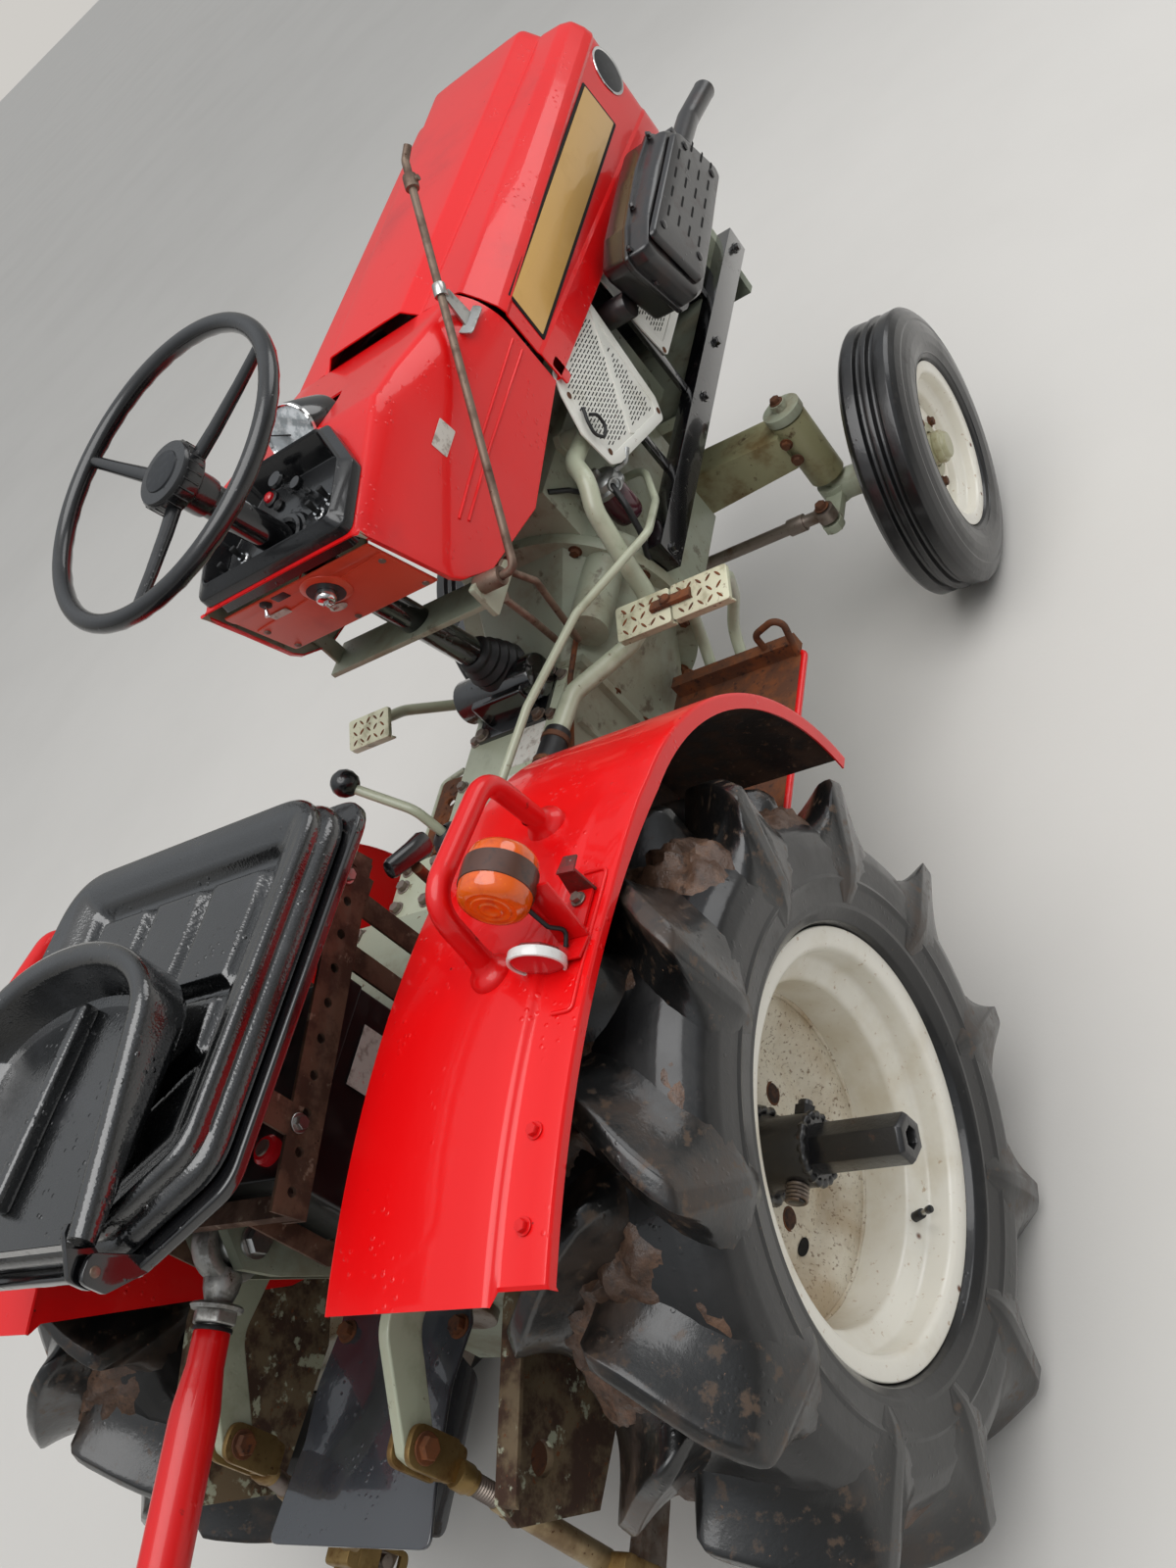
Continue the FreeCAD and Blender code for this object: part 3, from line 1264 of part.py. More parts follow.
shapes["tie_rod"] = tie_rod()
for name, side in SIDES:
    shapes["fender_" + name] = fender(side)
    shapes["knuckle_" + name] = knuckle(side)
    shapes["front_rim_" + name] = front_rim(side).fuse(front_hub(side))
    shapes["front_tyre_" + name] = front_tyre(side)
    shapes["rear_rim_" + name] = rear_rim(side).fuse(rear_hub(side))
    shapes["rear_tyre_" + name] = rear_tyre(side)
    shapes["lift_rod_" + name] = lift_rod(side)
    shapes["lower_link_" + name] = lower_link(side)

# The origin goes to the middle of the machine's length, on the ground.
whole = Part.makeCompound(list(shapes.values()))
extent = whole.BoundBox
middle_x = (extent.XMin + extent.XMax) / 2
for name, shape in shapes.items():
    shape.translate(Vector(-middle_x, 0, 0))
    shape.exportStep("parts/" + name + ".step")
    if not shape.isValid() or len(shape.Solids) == 0:
        print("not a good solid:", name)
print("middle_x", round(middle_x, 4), "box", [round(v, 2) for v in (extent.XMin, extent.XMax, extent.YMin,
      extent.YMax, extent.ZMin, extent.ZMax)])
for name, shape in shapes.items():
    print(name, len(shape.Solids), round(shape.Volume / 1000), "cm3")
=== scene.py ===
import bmesh
import bpy
import json
import math
import random
from mathutils import Matrix, Vector, noise


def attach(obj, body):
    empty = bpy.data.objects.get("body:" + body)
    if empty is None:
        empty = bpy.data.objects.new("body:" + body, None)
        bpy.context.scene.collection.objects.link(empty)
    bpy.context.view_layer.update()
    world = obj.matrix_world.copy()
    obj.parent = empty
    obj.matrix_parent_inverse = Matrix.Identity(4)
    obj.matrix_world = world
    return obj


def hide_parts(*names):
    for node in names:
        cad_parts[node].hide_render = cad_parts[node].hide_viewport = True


# A compact farm tractor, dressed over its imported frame. Forms are drawn in millimetres,
# measured from the ground under the rear axle, and land in the frame's metres.

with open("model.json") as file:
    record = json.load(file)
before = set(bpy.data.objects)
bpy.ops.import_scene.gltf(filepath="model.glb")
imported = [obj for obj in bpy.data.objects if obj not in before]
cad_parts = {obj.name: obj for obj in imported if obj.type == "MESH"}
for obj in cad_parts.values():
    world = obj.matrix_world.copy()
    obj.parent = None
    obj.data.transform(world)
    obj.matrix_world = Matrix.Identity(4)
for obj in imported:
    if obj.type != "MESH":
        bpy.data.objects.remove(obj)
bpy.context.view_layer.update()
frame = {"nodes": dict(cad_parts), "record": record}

MM = 0.001
AXLE_X = -540.4031
SIDES = (("right", -1), ("left", 1))
X, Y, Z = Vector((1, 0, 0)), Vector((0, 1, 0)), Vector((0, 0, 1))


# Camera and light

def stand_camera():
    # Eye point and turn solved from the wheels' ellipses; the picture is 1200 by 1600.
    eye = Vector((-1.1366, -1.1533, 1.5383))
    turn = Vector((1.489, -1.5702, -0.0005))
    to_camera = Matrix.Rotation(turn.length, 3, turn.normalized())
    to_world = to_camera.transposed() @ Matrix(((1, 0, 0), (0, -1, 0), (0, 0, -1)))
    data = bpy.data.cameras.new("picture_camera")
    data.sensor_fit = "VERTICAL"
    data.sensor_height = 36
    data.lens = 1394.98 / 1600 * 36
    data.clip_start = 0.05
    data.dof.use_dof = False
    camera = bpy.data.objects.new("picture_camera", data)
    camera.matrix_world = Matrix.Translation(eye) @ to_world.to_4x4()
    bpy.context.scene.collection.objects.link(camera)
    bpy.context.scene.camera = camera


def light_up():
    # An overcast sky: bright overhead, greyer at the horizon, with one broad soft lamp.
    scene = bpy.context.scene
    scene.view_settings.view_transform = "Standard"
    world = bpy.data.worlds.new("overcast_sky")
    world.use_nodes = True
    scene.world = world
    tree = world.node_tree
    tree.nodes.clear()
    place = add(tree, "ShaderNodeTexCoord")
    split = add(tree, "ShaderNodeSeparateXYZ", {0: place.outputs["Generated"]})
    grade = add(tree, "ShaderNodeValToRGB", {0: split.outputs["Z"]})
    paint_ramp(grade, ((0.0, "8f8d88"), (0.5, "b9bcbf"), (0.62, "d5dadf"), (1.0, "ffffff")))
    back = add(tree, "ShaderNodeBackground", {"Color": grade.outputs["Color"], "Strength": 0.86})
    plain = add(tree, "ShaderNodeBackground", {"Color": linear("cfccc7"), "Strength": 1.0})
    seen = add(tree, "ShaderNodeLightPath")
    either = add(tree, "ShaderNodeMixShader", {0: seen.outputs["Is Camera Ray"], 1: back.outputs[0],
                                               2: plain.outputs[0]})
    add(tree, "ShaderNodeOutputWorld", {"Surface": either.outputs[0]})
    for name, spot, aim, size, power in (
            ("sky_panel", (-0.6, -0.9, 4.6), (0, 0, 0.4), 4.2, 120),
            ("front_fill", (3.2, -2.4, 2.6), (0.2, 0, 0.6), 2.6, 34)):
        data = bpy.data.lights.new(name, "AREA")
        data.shape = "DISK"
        data.size = size
        data.energy = power
        lamp = bpy.data.objects.new(name, data)
        lamp.location = spot
        lamp.rotation_euler = (Vector(spot) - Vector(aim)).to_track_quat("Z", "Y").to_euler()
        scene.collection.objects.link(lamp)


def lay_floor():
    mesh = bpy.data.meshes.new("floor")
    reach = 90
    mesh.from_pydata([(-reach, -reach, 0), (reach, -reach, 0), (reach, reach, 0), (-reach, reach, 0)],
                     [], [(0, 1, 2, 3)])
    floor = bpy.data.objects.new("floor", mesh)
    bpy.context.scene.collection.objects.link(floor)
    mesh.materials.append(finish("screeded_floor", "d2cfca", 0.8, relief=(("noise", 7, 0.15),),
                                 layers=(dict(size=900, low=0.3, high=0.8, colour="cdcac5"),)))


# Materials

def linear(code):
    # One sRGB hex code to linear colour.
    parts = [int(code[i:i + 2], 16) / 255 for i in (0, 2, 4)]
    return tuple(c / 12.92 if c <= 0.04045 else ((c + 0.055) / 1.055) ** 2.4 for c in parts) + (1.0,)


def add(tree, kind, inputs=None, **settings):
    # One node with its settings and its links or values.
    made = tree.nodes.new(kind)
    for key, value in settings.items():
        setattr(made, key, value)
    for key, value in (inputs or {}).items():
        if isinstance(value, bpy.types.NodeSocket):
            tree.links.new(value, made.inputs[key])
        else:
            made.inputs[key].default_value = value
    return made


def paint_ramp(ramp, stops):
    stop_list = ramp.color_ramp.elements
    while len(stop_list) > 1:
        stop_list.remove(stop_list[-1])
    stop_list[0].position = stops[0][0]
    stop_list[0].color = linear(stops[0][1])
    for place, code in stops[1:]:
        stop_list.new(place).color = linear(code)


def pattern(tree, where, kind, size, stretch=(1, 1, 1), detail=4.0, seed=0.0):
    # A value from 0 to 1 whose features are about size millimetres across.
    scale = 1000.0 / size
    moved = add(tree, "ShaderNodeMapping", {"Vector": where, "Location": (seed, seed * 1.7, seed * 0.6),
                                            "Scale": tuple(scale * s for s in stretch)})
    if kind == "noise":
        return add(tree, "ShaderNodeTexNoise", {"Vector": moved.outputs[0], "Scale": 1.0, "Detail": detail,
                                                "Roughness": 0.62}).outputs["Fac"]
    if kind == "cells":
        return add(tree, "ShaderNodeTexVoronoi", {"Vector": moved.outputs[0], "Scale": 1.0}).outputs["Distance"]
    if kind == "bands":
        return add(tree, "ShaderNodeTexWave", {"Vector": moved.outputs[0], "Scale": 1.0, "Distortion": 1.5,
                                               "Detail": 2.0}).outputs["Fac"]
    raise ValueError(kind)


def finish(name, colour, rough, metallic=0.0, coat=0.0, coat_rough=0.05, layers=(), relief=(), ior=1.5,
           transmission=0.0, spec=0.5, wet=0.0, glow=None):
    # A painted, bare or moulded surface. Layers are patches of another colour laid over the base,
    # each by a pattern of real size; relief is bumps of a real height; wet adds standing droplets.
    made = bpy.data.materials.new(name)
    made.use_nodes = True
    tree = made.node_tree
    tree.nodes.clear()
    where = add(tree, "ShaderNodeTexCoord").outputs["Object"]
    shade = add(tree, "ShaderNodeBsdfPrincipled", {
        "Metallic": metallic, "IOR": ior, "Coat Weight": coat, "Coat Roughness": coat_rough,
        "Transmission Weight": transmission, "Specular IOR Level": spec})
    paint = add(tree, "ShaderNodeRGB")
    paint.outputs[0].default_value = linear(colour)
    paint = paint.outputs[0]
    sheen = None
    height = None
    for number, layer in enumerate(layers):
        mask = pattern(tree, where, layer.get("kind", "noise"), layer["size"], layer.get("stretch", (1, 1, 1)),
                       layer.get("detail", 5.0), layer.get("seed", 3.1 * number + 1.3))
        if "top" in layer:
            # Thins out with height: full at foot, none at top, in metres.
            rise = add(tree, "ShaderNodeSeparateXYZ", {0: where})
            fade = add(tree, "ShaderNodeMapRange", {"Value": rise.outputs["Z"], "From Min": layer["foot"],
                                                    "From Max": layer["top"], "To Min": 0.35, "To Max": -0.35})
            mask = add(tree, "ShaderNodeMath", {0: mask, 1: fade.outputs[0]}, operation="ADD").outputs[0]
        cut = add(tree, "ShaderNodeMapRange", {"Value": mask, "From Min": layer["low"], "From Max": layer["high"],
                                               "To Max": layer.get("share", 1.0)}, interpolation_type="SMOOTHSTEP")
        mix = add(tree, "ShaderNodeMix", {"Factor": cut.outputs[0], 6: paint, 7: linear(layer["colour"])},
                  data_type="RGBA")
        paint = mix.outputs[2]
        if "rough" in layer:
            blend = add(tree, "ShaderNodeMix", {"Factor": cut.outputs[0], 2: rough if sheen is None else sheen,
                                                3: layer["rough"]})
            sheen = blend.outputs[0]
        if "height" in layer:
            lift = add(tree, "ShaderNodeMath", {0: cut.outputs[0], 1: layer["height"] * MM}, operation="MULTIPLY")
            height = lift.outputs[0] if height is None else add(
                tree, "ShaderNodeMath", {0: height, 1: lift.outputs[0]}, operation="ADD").outputs[0]
    for number, (kind, size, rise) in enumerate(relief):
        wave = pattern(tree, where, kind, size, seed=7.7 + number)
        lift = add(tree, "ShaderNodeMath", {0: wave, 1: rise * MM}, operation="MULTIPLY")
        height = lift.outputs[0] if height is None else add(
            tree, "ShaderNodeMath", {0: height, 1: lift.outputs[0]}, operation="ADD").outputs[0]
    if wet:
        # Droplets: domes where a cell's centre is near, kept to part of the surface by a broad pattern.
        cell = pattern(tree, where, "cells", 9, seed=2.2)
        dome = add(tree, "ShaderNodeMapRange", {"Value": cell, "From Min": 0.30, "From Max": 0.12},
                   interpolation_type="SMOOTHSTEP")
        area = pattern(tree, where, "noise", 60, seed=5.0)
        keep = add(tree, "ShaderNodeMapRange", {"Value": area, "From Min": 0.52, "From Max": 0.62})
        both = add(tree, "ShaderNodeMath", {0: dome.outputs[0], 1: keep.outputs[0]}, operation="MULTIPLY")
        lift = add(tree, "ShaderNodeMath", {0: both.outputs[0], 1: wet * MM}, operation="MULTIPLY")
        height = lift.outputs[0] if height is None else add(
            tree, "ShaderNodeMath", {0: height, 1: lift.outputs[0]}, operation="ADD").outputs[0]
    tree.links.new(paint, shade.inputs["Base Color"])
    if sheen is None:
        shade.inputs["Roughness"].default_value = rough
    else:
        tree.links.new(sheen, shade.inputs["Roughness"])
    if height is not None:
        bump = add(tree, "ShaderNodeBump", {"Strength": 1.0, "Distance": 1.0, "Height": height})
        tree.links.new(bump.outputs[0], shade.inputs["Normal"])
        if coat:
            tree.links.new(bump.outputs[0], shade.inputs["Coat Normal"])
    # Glow is painted light: emission that makes a surface shine though it is no lit lamp.
    if glow:
        shade.inputs["Emission Color"].default_value = linear(glow)
        shade.inputs["Emission Strength"].default_value = 0.25
    add(tree, "ShaderNodeOutputMaterial", {"Surface": shade.outputs[0]})
    return made


RUST = dict(colour="5a3420", rough=0.85, height=0.25)
DUST = dict(colour="8b8072", rough=0.6)

# Oven-hard enamel over pressed steel, wet from rain: deep red with a clear, sharp reflection.
red_enamel = finish("red_enamel", "e00509", 0.34, coat=0.45, coat_rough=0.05, spec=0.3, wet=0.5,
                    layers=(dict(size=260, low=0.5, high=0.8, colour="c20911"),
                            dict(kind="cells", size=46, low=0.035, high=0.02, colour="6a0a0c", rough=0.5),
                            dict(size=14, low=0.72, high=0.78, colour="8f1512", rough=0.5, share=0.6)),
                    relief=(("noise", 34, 0.12), ("noise", 5, 0.02)))
# The same enamel on tubes that hands rub, with darker scuffs.
red_tube_enamel = finish("red_tube_enamel", "d4080c", 0.34, coat=0.45, coat_rough=0.08, spec=0.3, wet=0.3,
                         layers=(dict(size=30, low=0.66, high=0.74, colour="4a1712", rough=0.6),),
                         relief=(("noise", 20, 0.1),))
# Older sun-faded enamel, more orange and duller.
orange_enamel = finish("orange_enamel", "d4472a", 0.42, coat=0.3, coat_rough=0.25,
                       layers=(dict(size=90, low=0.5, high=0.78, colour="c23a20"),
                               dict(size=7, low=0.74, high=0.8, colour="8a5a48", rough=0.7)),
                       relief=(("noise", 24, 0.1),))
# Ivory enamel on the wheels: warm white, stained and freckled with rust.
ivory_enamel = finish("ivory_enamel", "ece8dc", 0.3, coat=0.5, coat_rough=0.1,
                      layers=(dict(size=150, low=0.45, high=0.72, colour="d8cfba", rough=0.4),
                              dict(size=9, low=0.62, high=0.72, colour="b79a78", rough=0.6, share=0.7),
                              dict(size=4.5, low=0.70, high=0.76, colour="7d4e30", rough=0.8),
                              dict(kind="cells", size=60, low=0.09, high=0.03, colour="6b3c22", rough=0.8)),
                      relief=(("noise", 30, 0.15),))
# Ivory enamel inside the dish, where mud has dried on in a speckled film.
stained_ivory = finish("stained_ivory", "ded6c4", 0.45,
                       layers=(dict(size=120, low=0.38, high=0.66, colour="bba88c", rough=0.6),
                               dict(size=5, low=0.56, high=0.66, colour="7a6048", rough=0.75, share=0.8),
                               dict(size=2.6, low=0.66, high=0.72, colour="4d3525", rough=0.8),
                               dict(size=70, low=0.64, high=0.8, colour="8a6a4a", rough=0.7, share=0.6)),
                       relief=(("noise", 12, 0.1),))
# White enamel of the side panels, chipped to rust along its edges.
white_enamel = finish("white_enamel", "e4e4dc", 0.35, coat=0.4, coat_rough=0.1,
                      layers=(dict(size=80, low=0.5, high=0.75, colour="cfcdc0"),
                              dict(size=16, low=0.68, high=0.74, colour="7a4a2c", rough=0.8),
                              dict(size=5, low=0.73, high=0.78, colour="4a3020", rough=0.8)),
                      relief=(("noise", 25, 0.12),))
# Grey-green machinery paint over rough castings, grimed with oil and soil.
green_casting = finish("green_casting", "9aa08c", 0.48, coat=0.15, coat_rough=0.3,
                       layers=(dict(size=110, low=0.45, high=0.7, colour="857f68", rough=0.6),
                               dict(size=34, low=0.58, high=0.7, colour="5f5442", rough=0.7, share=0.8),
                               dict(size=12, low=0.66, high=0.72, **RUST)),
                       relief=(("noise", 3.5, 0.16), ("noise", 40, 0.3)))
# The same paint on pipes, levers and covers: smoother and cleaner.
green_paint = finish("green_paint", "aeb39c", 0.34, coat=0.4, coat_rough=0.15, wet=0.2,
                     layers=(dict(size=60, low=0.5, high=0.72, colour="969a82"),
                             dict(size=16, low=0.64, high=0.72, colour="6e6048", rough=0.65, share=0.8),
                             dict(size=6, low=0.70, high=0.75, **RUST)),
                     relief=(("noise", 14, 0.08),))
# Gloss black enamel, wet: a near mirror broken by droplets.
black_enamel = finish("black_enamel", "0b0b0d", 0.22, coat=1.0, coat_rough=0.05, wet=0.45,
                      layers=(dict(size=70, low=0.55, high=0.75, colour="1b1615", rough=0.34),
                              dict(size=10, low=0.70, high=0.76, colour="4a2c1c", rough=0.7, share=0.8)),
                      relief=(("noise", 30, 0.18), ("noise", 6, 0.03)))
# Heat-worn black on the muffler, browned by rust beneath.
muffler_black = finish("muffler_black", "121012", 0.34, coat=0.6, coat_rough=0.16, wet=0.35,
                       layers=(dict(size=50, low=0.5, high=0.72, colour="2a1a17", rough=0.5),
                               dict(size=8, low=0.68, high=0.75, colour="5a3322", rough=0.8)),
                       relief=(("noise", 18, 0.2), ("noise", 4, 0.05)))
# Black gloss paint on the flat guard, holding a film of rain, drawn dark grey: the grey is painted reflection of the
# sky.
guard_painted_reflection_grey = finish("guard_painted_reflection_grey", "3a3d42", 0.2, coat=1.0, coat_rough=0.04, wet=0.3,
                    layers=(dict(size=120, low=0.5, high=0.7, colour="2b2d31"),
                            dict(size=40, low=0.66, high=0.72, colour="17181a", rough=0.5),
                            dict(size=9, low=0.72, high=0.78, colour="4d3424", rough=0.8)),
                    relief=(("noise", 50, 0.25),))
# Rolled steel left bare in the weather: brown oxide with orange bloom and dark pits.
rusty_steel = finish("weathered_steel", "5b3a27", 0.78, metallic=0.25,
                     layers=(dict(size=36, low=0.42, high=0.66, colour="7a4726", rough=0.85, height=0.12),
                             dict(size=12, low=0.55, high=0.7, colour="33211a", rough=0.7),
                             dict(size=5, low=0.64, high=0.74, colour="8f5a34", rough=0.9, height=0.1)),
                     relief=(("noise", 2.5, 0.12), ("noise", 14, 0.2)))
# Painted steel that has mostly rusted through: green remains in islands.
flaking_green = finish("flaking_green", "6b5a42", 0.7, metallic=0.1,
                       layers=(dict(size=46, low=0.40, high=0.58, colour="3e281b", rough=0.85, height=-0.1),
                               dict(size=30, low=0.56, high=0.62, colour="a3a58e", rough=0.5, height=0.18),
                               dict(size=7, low=0.62, high=0.7, colour="6e3f22", rough=0.85)),
                       relief=(("noise", 4, 0.15),))
# Olive paint of the axle beam, stained brown and spotted with rust.
olive_casting = finish("olive_casting", "928f6c", 0.5, coat=0.2, coat_rough=0.3,
                       layers=(dict(size=90, low=0.48, high=0.72, colour="6e5a34", rough=0.65),
                               dict(size=34, low=0.6, high=0.72, colour="4e3a20", rough=0.75),
                               dict(size=9, low=0.66, high=0.72, colour="4a2810", rough=0.85, height=0.2)),
                       relief=(("noise", 4, 0.15), ("noise", 40, 0.3)))
# Yellow zinc plating gone brown, on the rods' forks.
brassy_zinc = finish("brassy_zinc", "8d7448", 0.42, metallic=0.75,
                     layers=(dict(size=26, low=0.45, high=0.7, colour="6d4f2c", rough=0.6),
                             dict(size=7, low=0.62, high=0.72, colour="4a2f1b", rough=0.8),
                             dict(size=60, low=0.6, high=0.8, colour="a39268", rough=0.35)),
                     relief=(("noise", 5, 0.08),))
# Drawn steel rod, handled and weathered: grey with a brown cast.
worn_steel = finish("worn_steel", "8a7f76", 0.42, metallic=0.8,
                    layers=(dict(size=40, low=0.45, high=0.7, colour="6a5546", rough=0.55),
                            dict(size=6, low=0.62, high=0.72, colour="59402e", rough=0.75, share=0.8)),
                    relief=(("noise", 4, 0.05),))
# Zinc-plated fasteners and machined eyes: pale, slightly dulled.
bright_zinc = finish("bright_zinc", "b9b9b6", 0.3, metallic=0.95,
                     layers=(dict(size=14, low=0.5, high=0.75, colour="8f8b84", rough=0.45),
                             dict(size=5, low=0.7, high=0.78, colour="6a4a32", rough=0.8)),
                     relief=(("noise", 3, 0.03),))
# Chromed brass and nickel on switches and rings.
chrome = finish("chrome", "dcdcdc", 0.1, metallic=1.0, layers=(dict(size=12, low=0.6, high=0.8, colour="bdbdb8"),))
# Die-cast aluminium of the filter head.
cast_aluminium = finish("cast_aluminium", "a7a9a8", 0.42, metallic=0.85,
                        layers=(dict(size=12, low=0.5, high=0.75, colour="7b7870", rough=0.6),),
                        relief=(("noise", 2.5, 0.08),))
# Vulcanised tyre rubber, wet: black with a soft sheen and fine ripple.
tyre_rubber = finish("tyre_sidewall", "0f0f10", 0.34, coat=0.45, coat_rough=0.12, spec=0.45, wet=0.25,
                     layers=(dict(size=90, low=0.46, high=0.7, colour="1d1c1c", rough=0.5),
                             dict(size=24, low=0.62, high=0.74, colour="2a2523", rough=0.6, share=0.7),
                             dict(kind="cells", size=26, low=0.05, high=0.02, colour="4a3a2c", rough=0.8)),
                     relief=(("noise", 30, 0.5), ("noise", 5, 0.06)))
# The tread of the same tyre: dulled by a brown film of dried soil.
tread_rubber = finish("tread_rubber", "101010", 0.32, coat=0.5, coat_rough=0.12, wet=0.3,
                      layers=(dict(size=120, low=0.5, high=0.64, colour="3a2c22", rough=0.65, share=0.85),
                              dict(size=18, low=0.56, high=0.68, colour="54402f", rough=0.8, share=0.7),
                              dict(size=5, low=0.68, high=0.74, colour="7a5c46", rough=0.85)),
                      relief=(("noise", 26, 0.6), ("noise", 5, 0.15)))
# Zinc-plated forged eye, dull and spotted with old rust.
cast_zinc = finish("cast_zinc", "a9a8a4", 0.4, metallic=0.85,
                   layers=(dict(size=16, low=0.45, high=0.65, colour="7e7b76", rough=0.5),
                           dict(size=8, low=0.62, high=0.72, colour="5a4536", rough=0.75)),
                   relief=(("noise", 3, 0.25),))
# Yellow-passivated tube, dulled to tan with brown stains.
tan_tube = finish("tan_tube", "a08d6c", 0.42, metallic=0.6,
                  layers=(dict(size=46, low=0.45, high=0.65, colour="826c50", rough=0.55),
                          dict(size=9, low=0.63, high=0.73, colour="5b3c26", rough=0.8)),
                  relief=(("noise", 4, 0.15),))
# Dark red glass bowl of the fuel filter.
maroon_bowl = finish("maroon_bowl", "4c1c28", 0.2, coat=0.5, layers=(dict(size=30, low=0.5, high=0.7, colour="361420"),))
# Bare steel rod gone evenly brown.
brown_rod = finish("brown_rod", "7a685a", 0.5, metallic=0.5,
                   layers=(dict(size=30, low=0.42, high=0.66, colour="5d4a3e", rough=0.62),
                           dict(size=8, low=0.6, high=0.72, colour="4b2f1f", rough=0.8),
                           dict(size=5, low=0.7, high=0.76, colour="a39a90", rough=0.35)),
                   relief=(("noise", 4, 0.2),))
# Punched angle iron, brown with thin rust over old grey zinc.
punched_rail = finish("punched_rail", "6b5140", 0.6, metallic=0.25,
                      layers=(dict(size=38, low=0.4, high=0.6, colour="4a3225", rough=0.75),
                              dict(size=14, low=0.6, high=0.7, colour="8c7a68", rough=0.5),
                              dict(size=7, low=0.66, high=0.74, colour="2c1d15", rough=0.85)),
                      relief=(("noise", 5, 0.3),))
# Red paint rubbed to steel on the lamp's angle tab.
rubbed_red = finish("rubbed_red", "7a1a18", 0.5, layers=(dict(size=14, low=0.45, high=0.65, colour="4a2620"),
                                                         dict(size=5, low=0.66, high=0.74, colour="8a8078")),
                    relief=(("noise", 5, 0.15),))
# White rim of the round reflector.
pale_enamel = finish("pale_enamel", "d9d9d6", 0.25, coat=0.6, layers=(dict(size=16, low=0.55, high=0.75,
                                                                          colour="b0aca4"),))
# Rolled tread plate in worn grey-green paint.
tread_plate = finish("tread_plate", "c3c5a9", 0.42, coat=0.2, metallic=0.1,
                     layers=(dict(size=30, low=0.5, high=0.68, colour="9d9c80"),
                             dict(size=11, low=0.6, high=0.7, colour="6b4a32", rough=0.75),
                             dict(size=5, low=0.68, high=0.74, colour="8a8a84", rough=0.35)),
                     relief=(("noise", 8, 0.1),))
# Hub and weld under thick brushed black paint.
hub_black = finish("hub_black", "111012", 0.34, coat=0.5, coat_rough=0.15,
                   layers=(dict(size=14, low=0.6, high=0.7, colour="3a2418", rough=0.75),),
                   relief=(("noise", 7, 0.5),))
# Front hubs in the machine's grey-green, greased and dusty.
hub_green = finish("hub_green", "aaa787", 0.4, coat=0.3, coat_rough=0.2,
                   layers=(dict(size=20, low=0.5, high=0.7, colour="8d7f5c"), dict(size=6, low=0.66, high=0.74, **RUST)),
                   relief=(("noise", 6, 0.15),))
# Shadowed wheel holes with rust in them.
hole_brown = finish("hole_brown", "2e1c14", 0.85, layers=(dict(size=7, low=0.45, high=0.65, colour="4c2e1e"),),
                    relief=(("noise", 4, 0.3),))
# Rubber and poured plastic for boots, grommets and knobs.
black_rubber = finish("black_rubber", "151516", 0.5, layers=(dict(size=20, low=0.5, high=0.75, colour="232221"),),
                      relief=(("noise", 3, 0.06),))
black_plastic = finish("moulded_black", "0e0f11", 0.26, coat=0.5, coat_rough=0.08, wet=0.25,
                       layers=(dict(size=60, low=0.5, high=0.75, colour="17181b", rough=0.34),),
                       relief=(("noise", 8, 0.03),))
# Self-skinned polyurethane foam: leathery skin, black, beaded with rain.
seat_skin = finish("seat_skin", "0a0b0c", 0.22, coat=1.0, coat_rough=0.06, spec=0.7, wet=0.7,
                   layers=(dict(size=80, low=0.5, high=0.72, colour="1a1b1e", rough=0.34),
                           dict(size=2.2, low=0.60, high=0.7, colour="08090a", rough=0.5)),
                   relief=(("cells", 2.4, 0.12), ("noise", 36, 0.4)))
# Wet soil packed on the tyres and beneath the fenders.
wet_soil = finish("wet_soil", "4b3527", 0.5, coat=0.3, coat_rough=0.2,
                  layers=(dict(size=34, low=0.45, high=0.65, colour="654a38", rough=0.7),
                          dict(size=9, low=0.5, high=0.68, colour="3a2a20", rough=0.5),
                          dict(size=60, low=0.6, high=0.75, colour="775744", rough=0.75)),
                  relief=(("noise", 10, 1.6), ("noise", 3, 0.5), ("cells", 16, 1.0)))
# Underside of the fenders: a near-black base that paints the shade beneath, under a spray of soil.
fender_underside = finish("fender_underside", "1a1310", 0.6,
                          layers=(dict(size=60, low=0.42, high=0.62, colour="4a3326", rough=0.8, height=0.4),
                                  dict(size=10, low=0.6, high=0.7, colour="6a4c38", rough=0.85, height=0.4)),
                          relief=(("noise", 6, 0.4),))
# Moulded lens plastics.
# The amber lens's small pale orange flecks are painted highlight on its facets.
amber_lens = finish("amber_moulding", "dc5a08", 0.14, coat=0.8, ior=1.49, spec=0.4,
                    layers=(dict(size=18, low=0.45, high=0.75, colour="b8400a"),
                            dict(size=4, low=0.6, high=0.75, colour="ee7d18", share=0.6)))
# The red lens glows faintly: painted light on the rear reflector, the dash's warning lamp and a battery cap.
red_lens = finish("red_lens", "b3121a", 0.12, coat=0.6, ior=1.49, glow="7a0a10")
clear_lens = finish("clear_lens", "dfe3e6", 0.08, coat=0.6, ior=1.49, transmission=0.35)
brown_band = finish("brown_band", "4a2a1d", 0.4, coat=0.3, layers=(dict(size=9, low=0.5, high=0.7, colour="33201a"),))
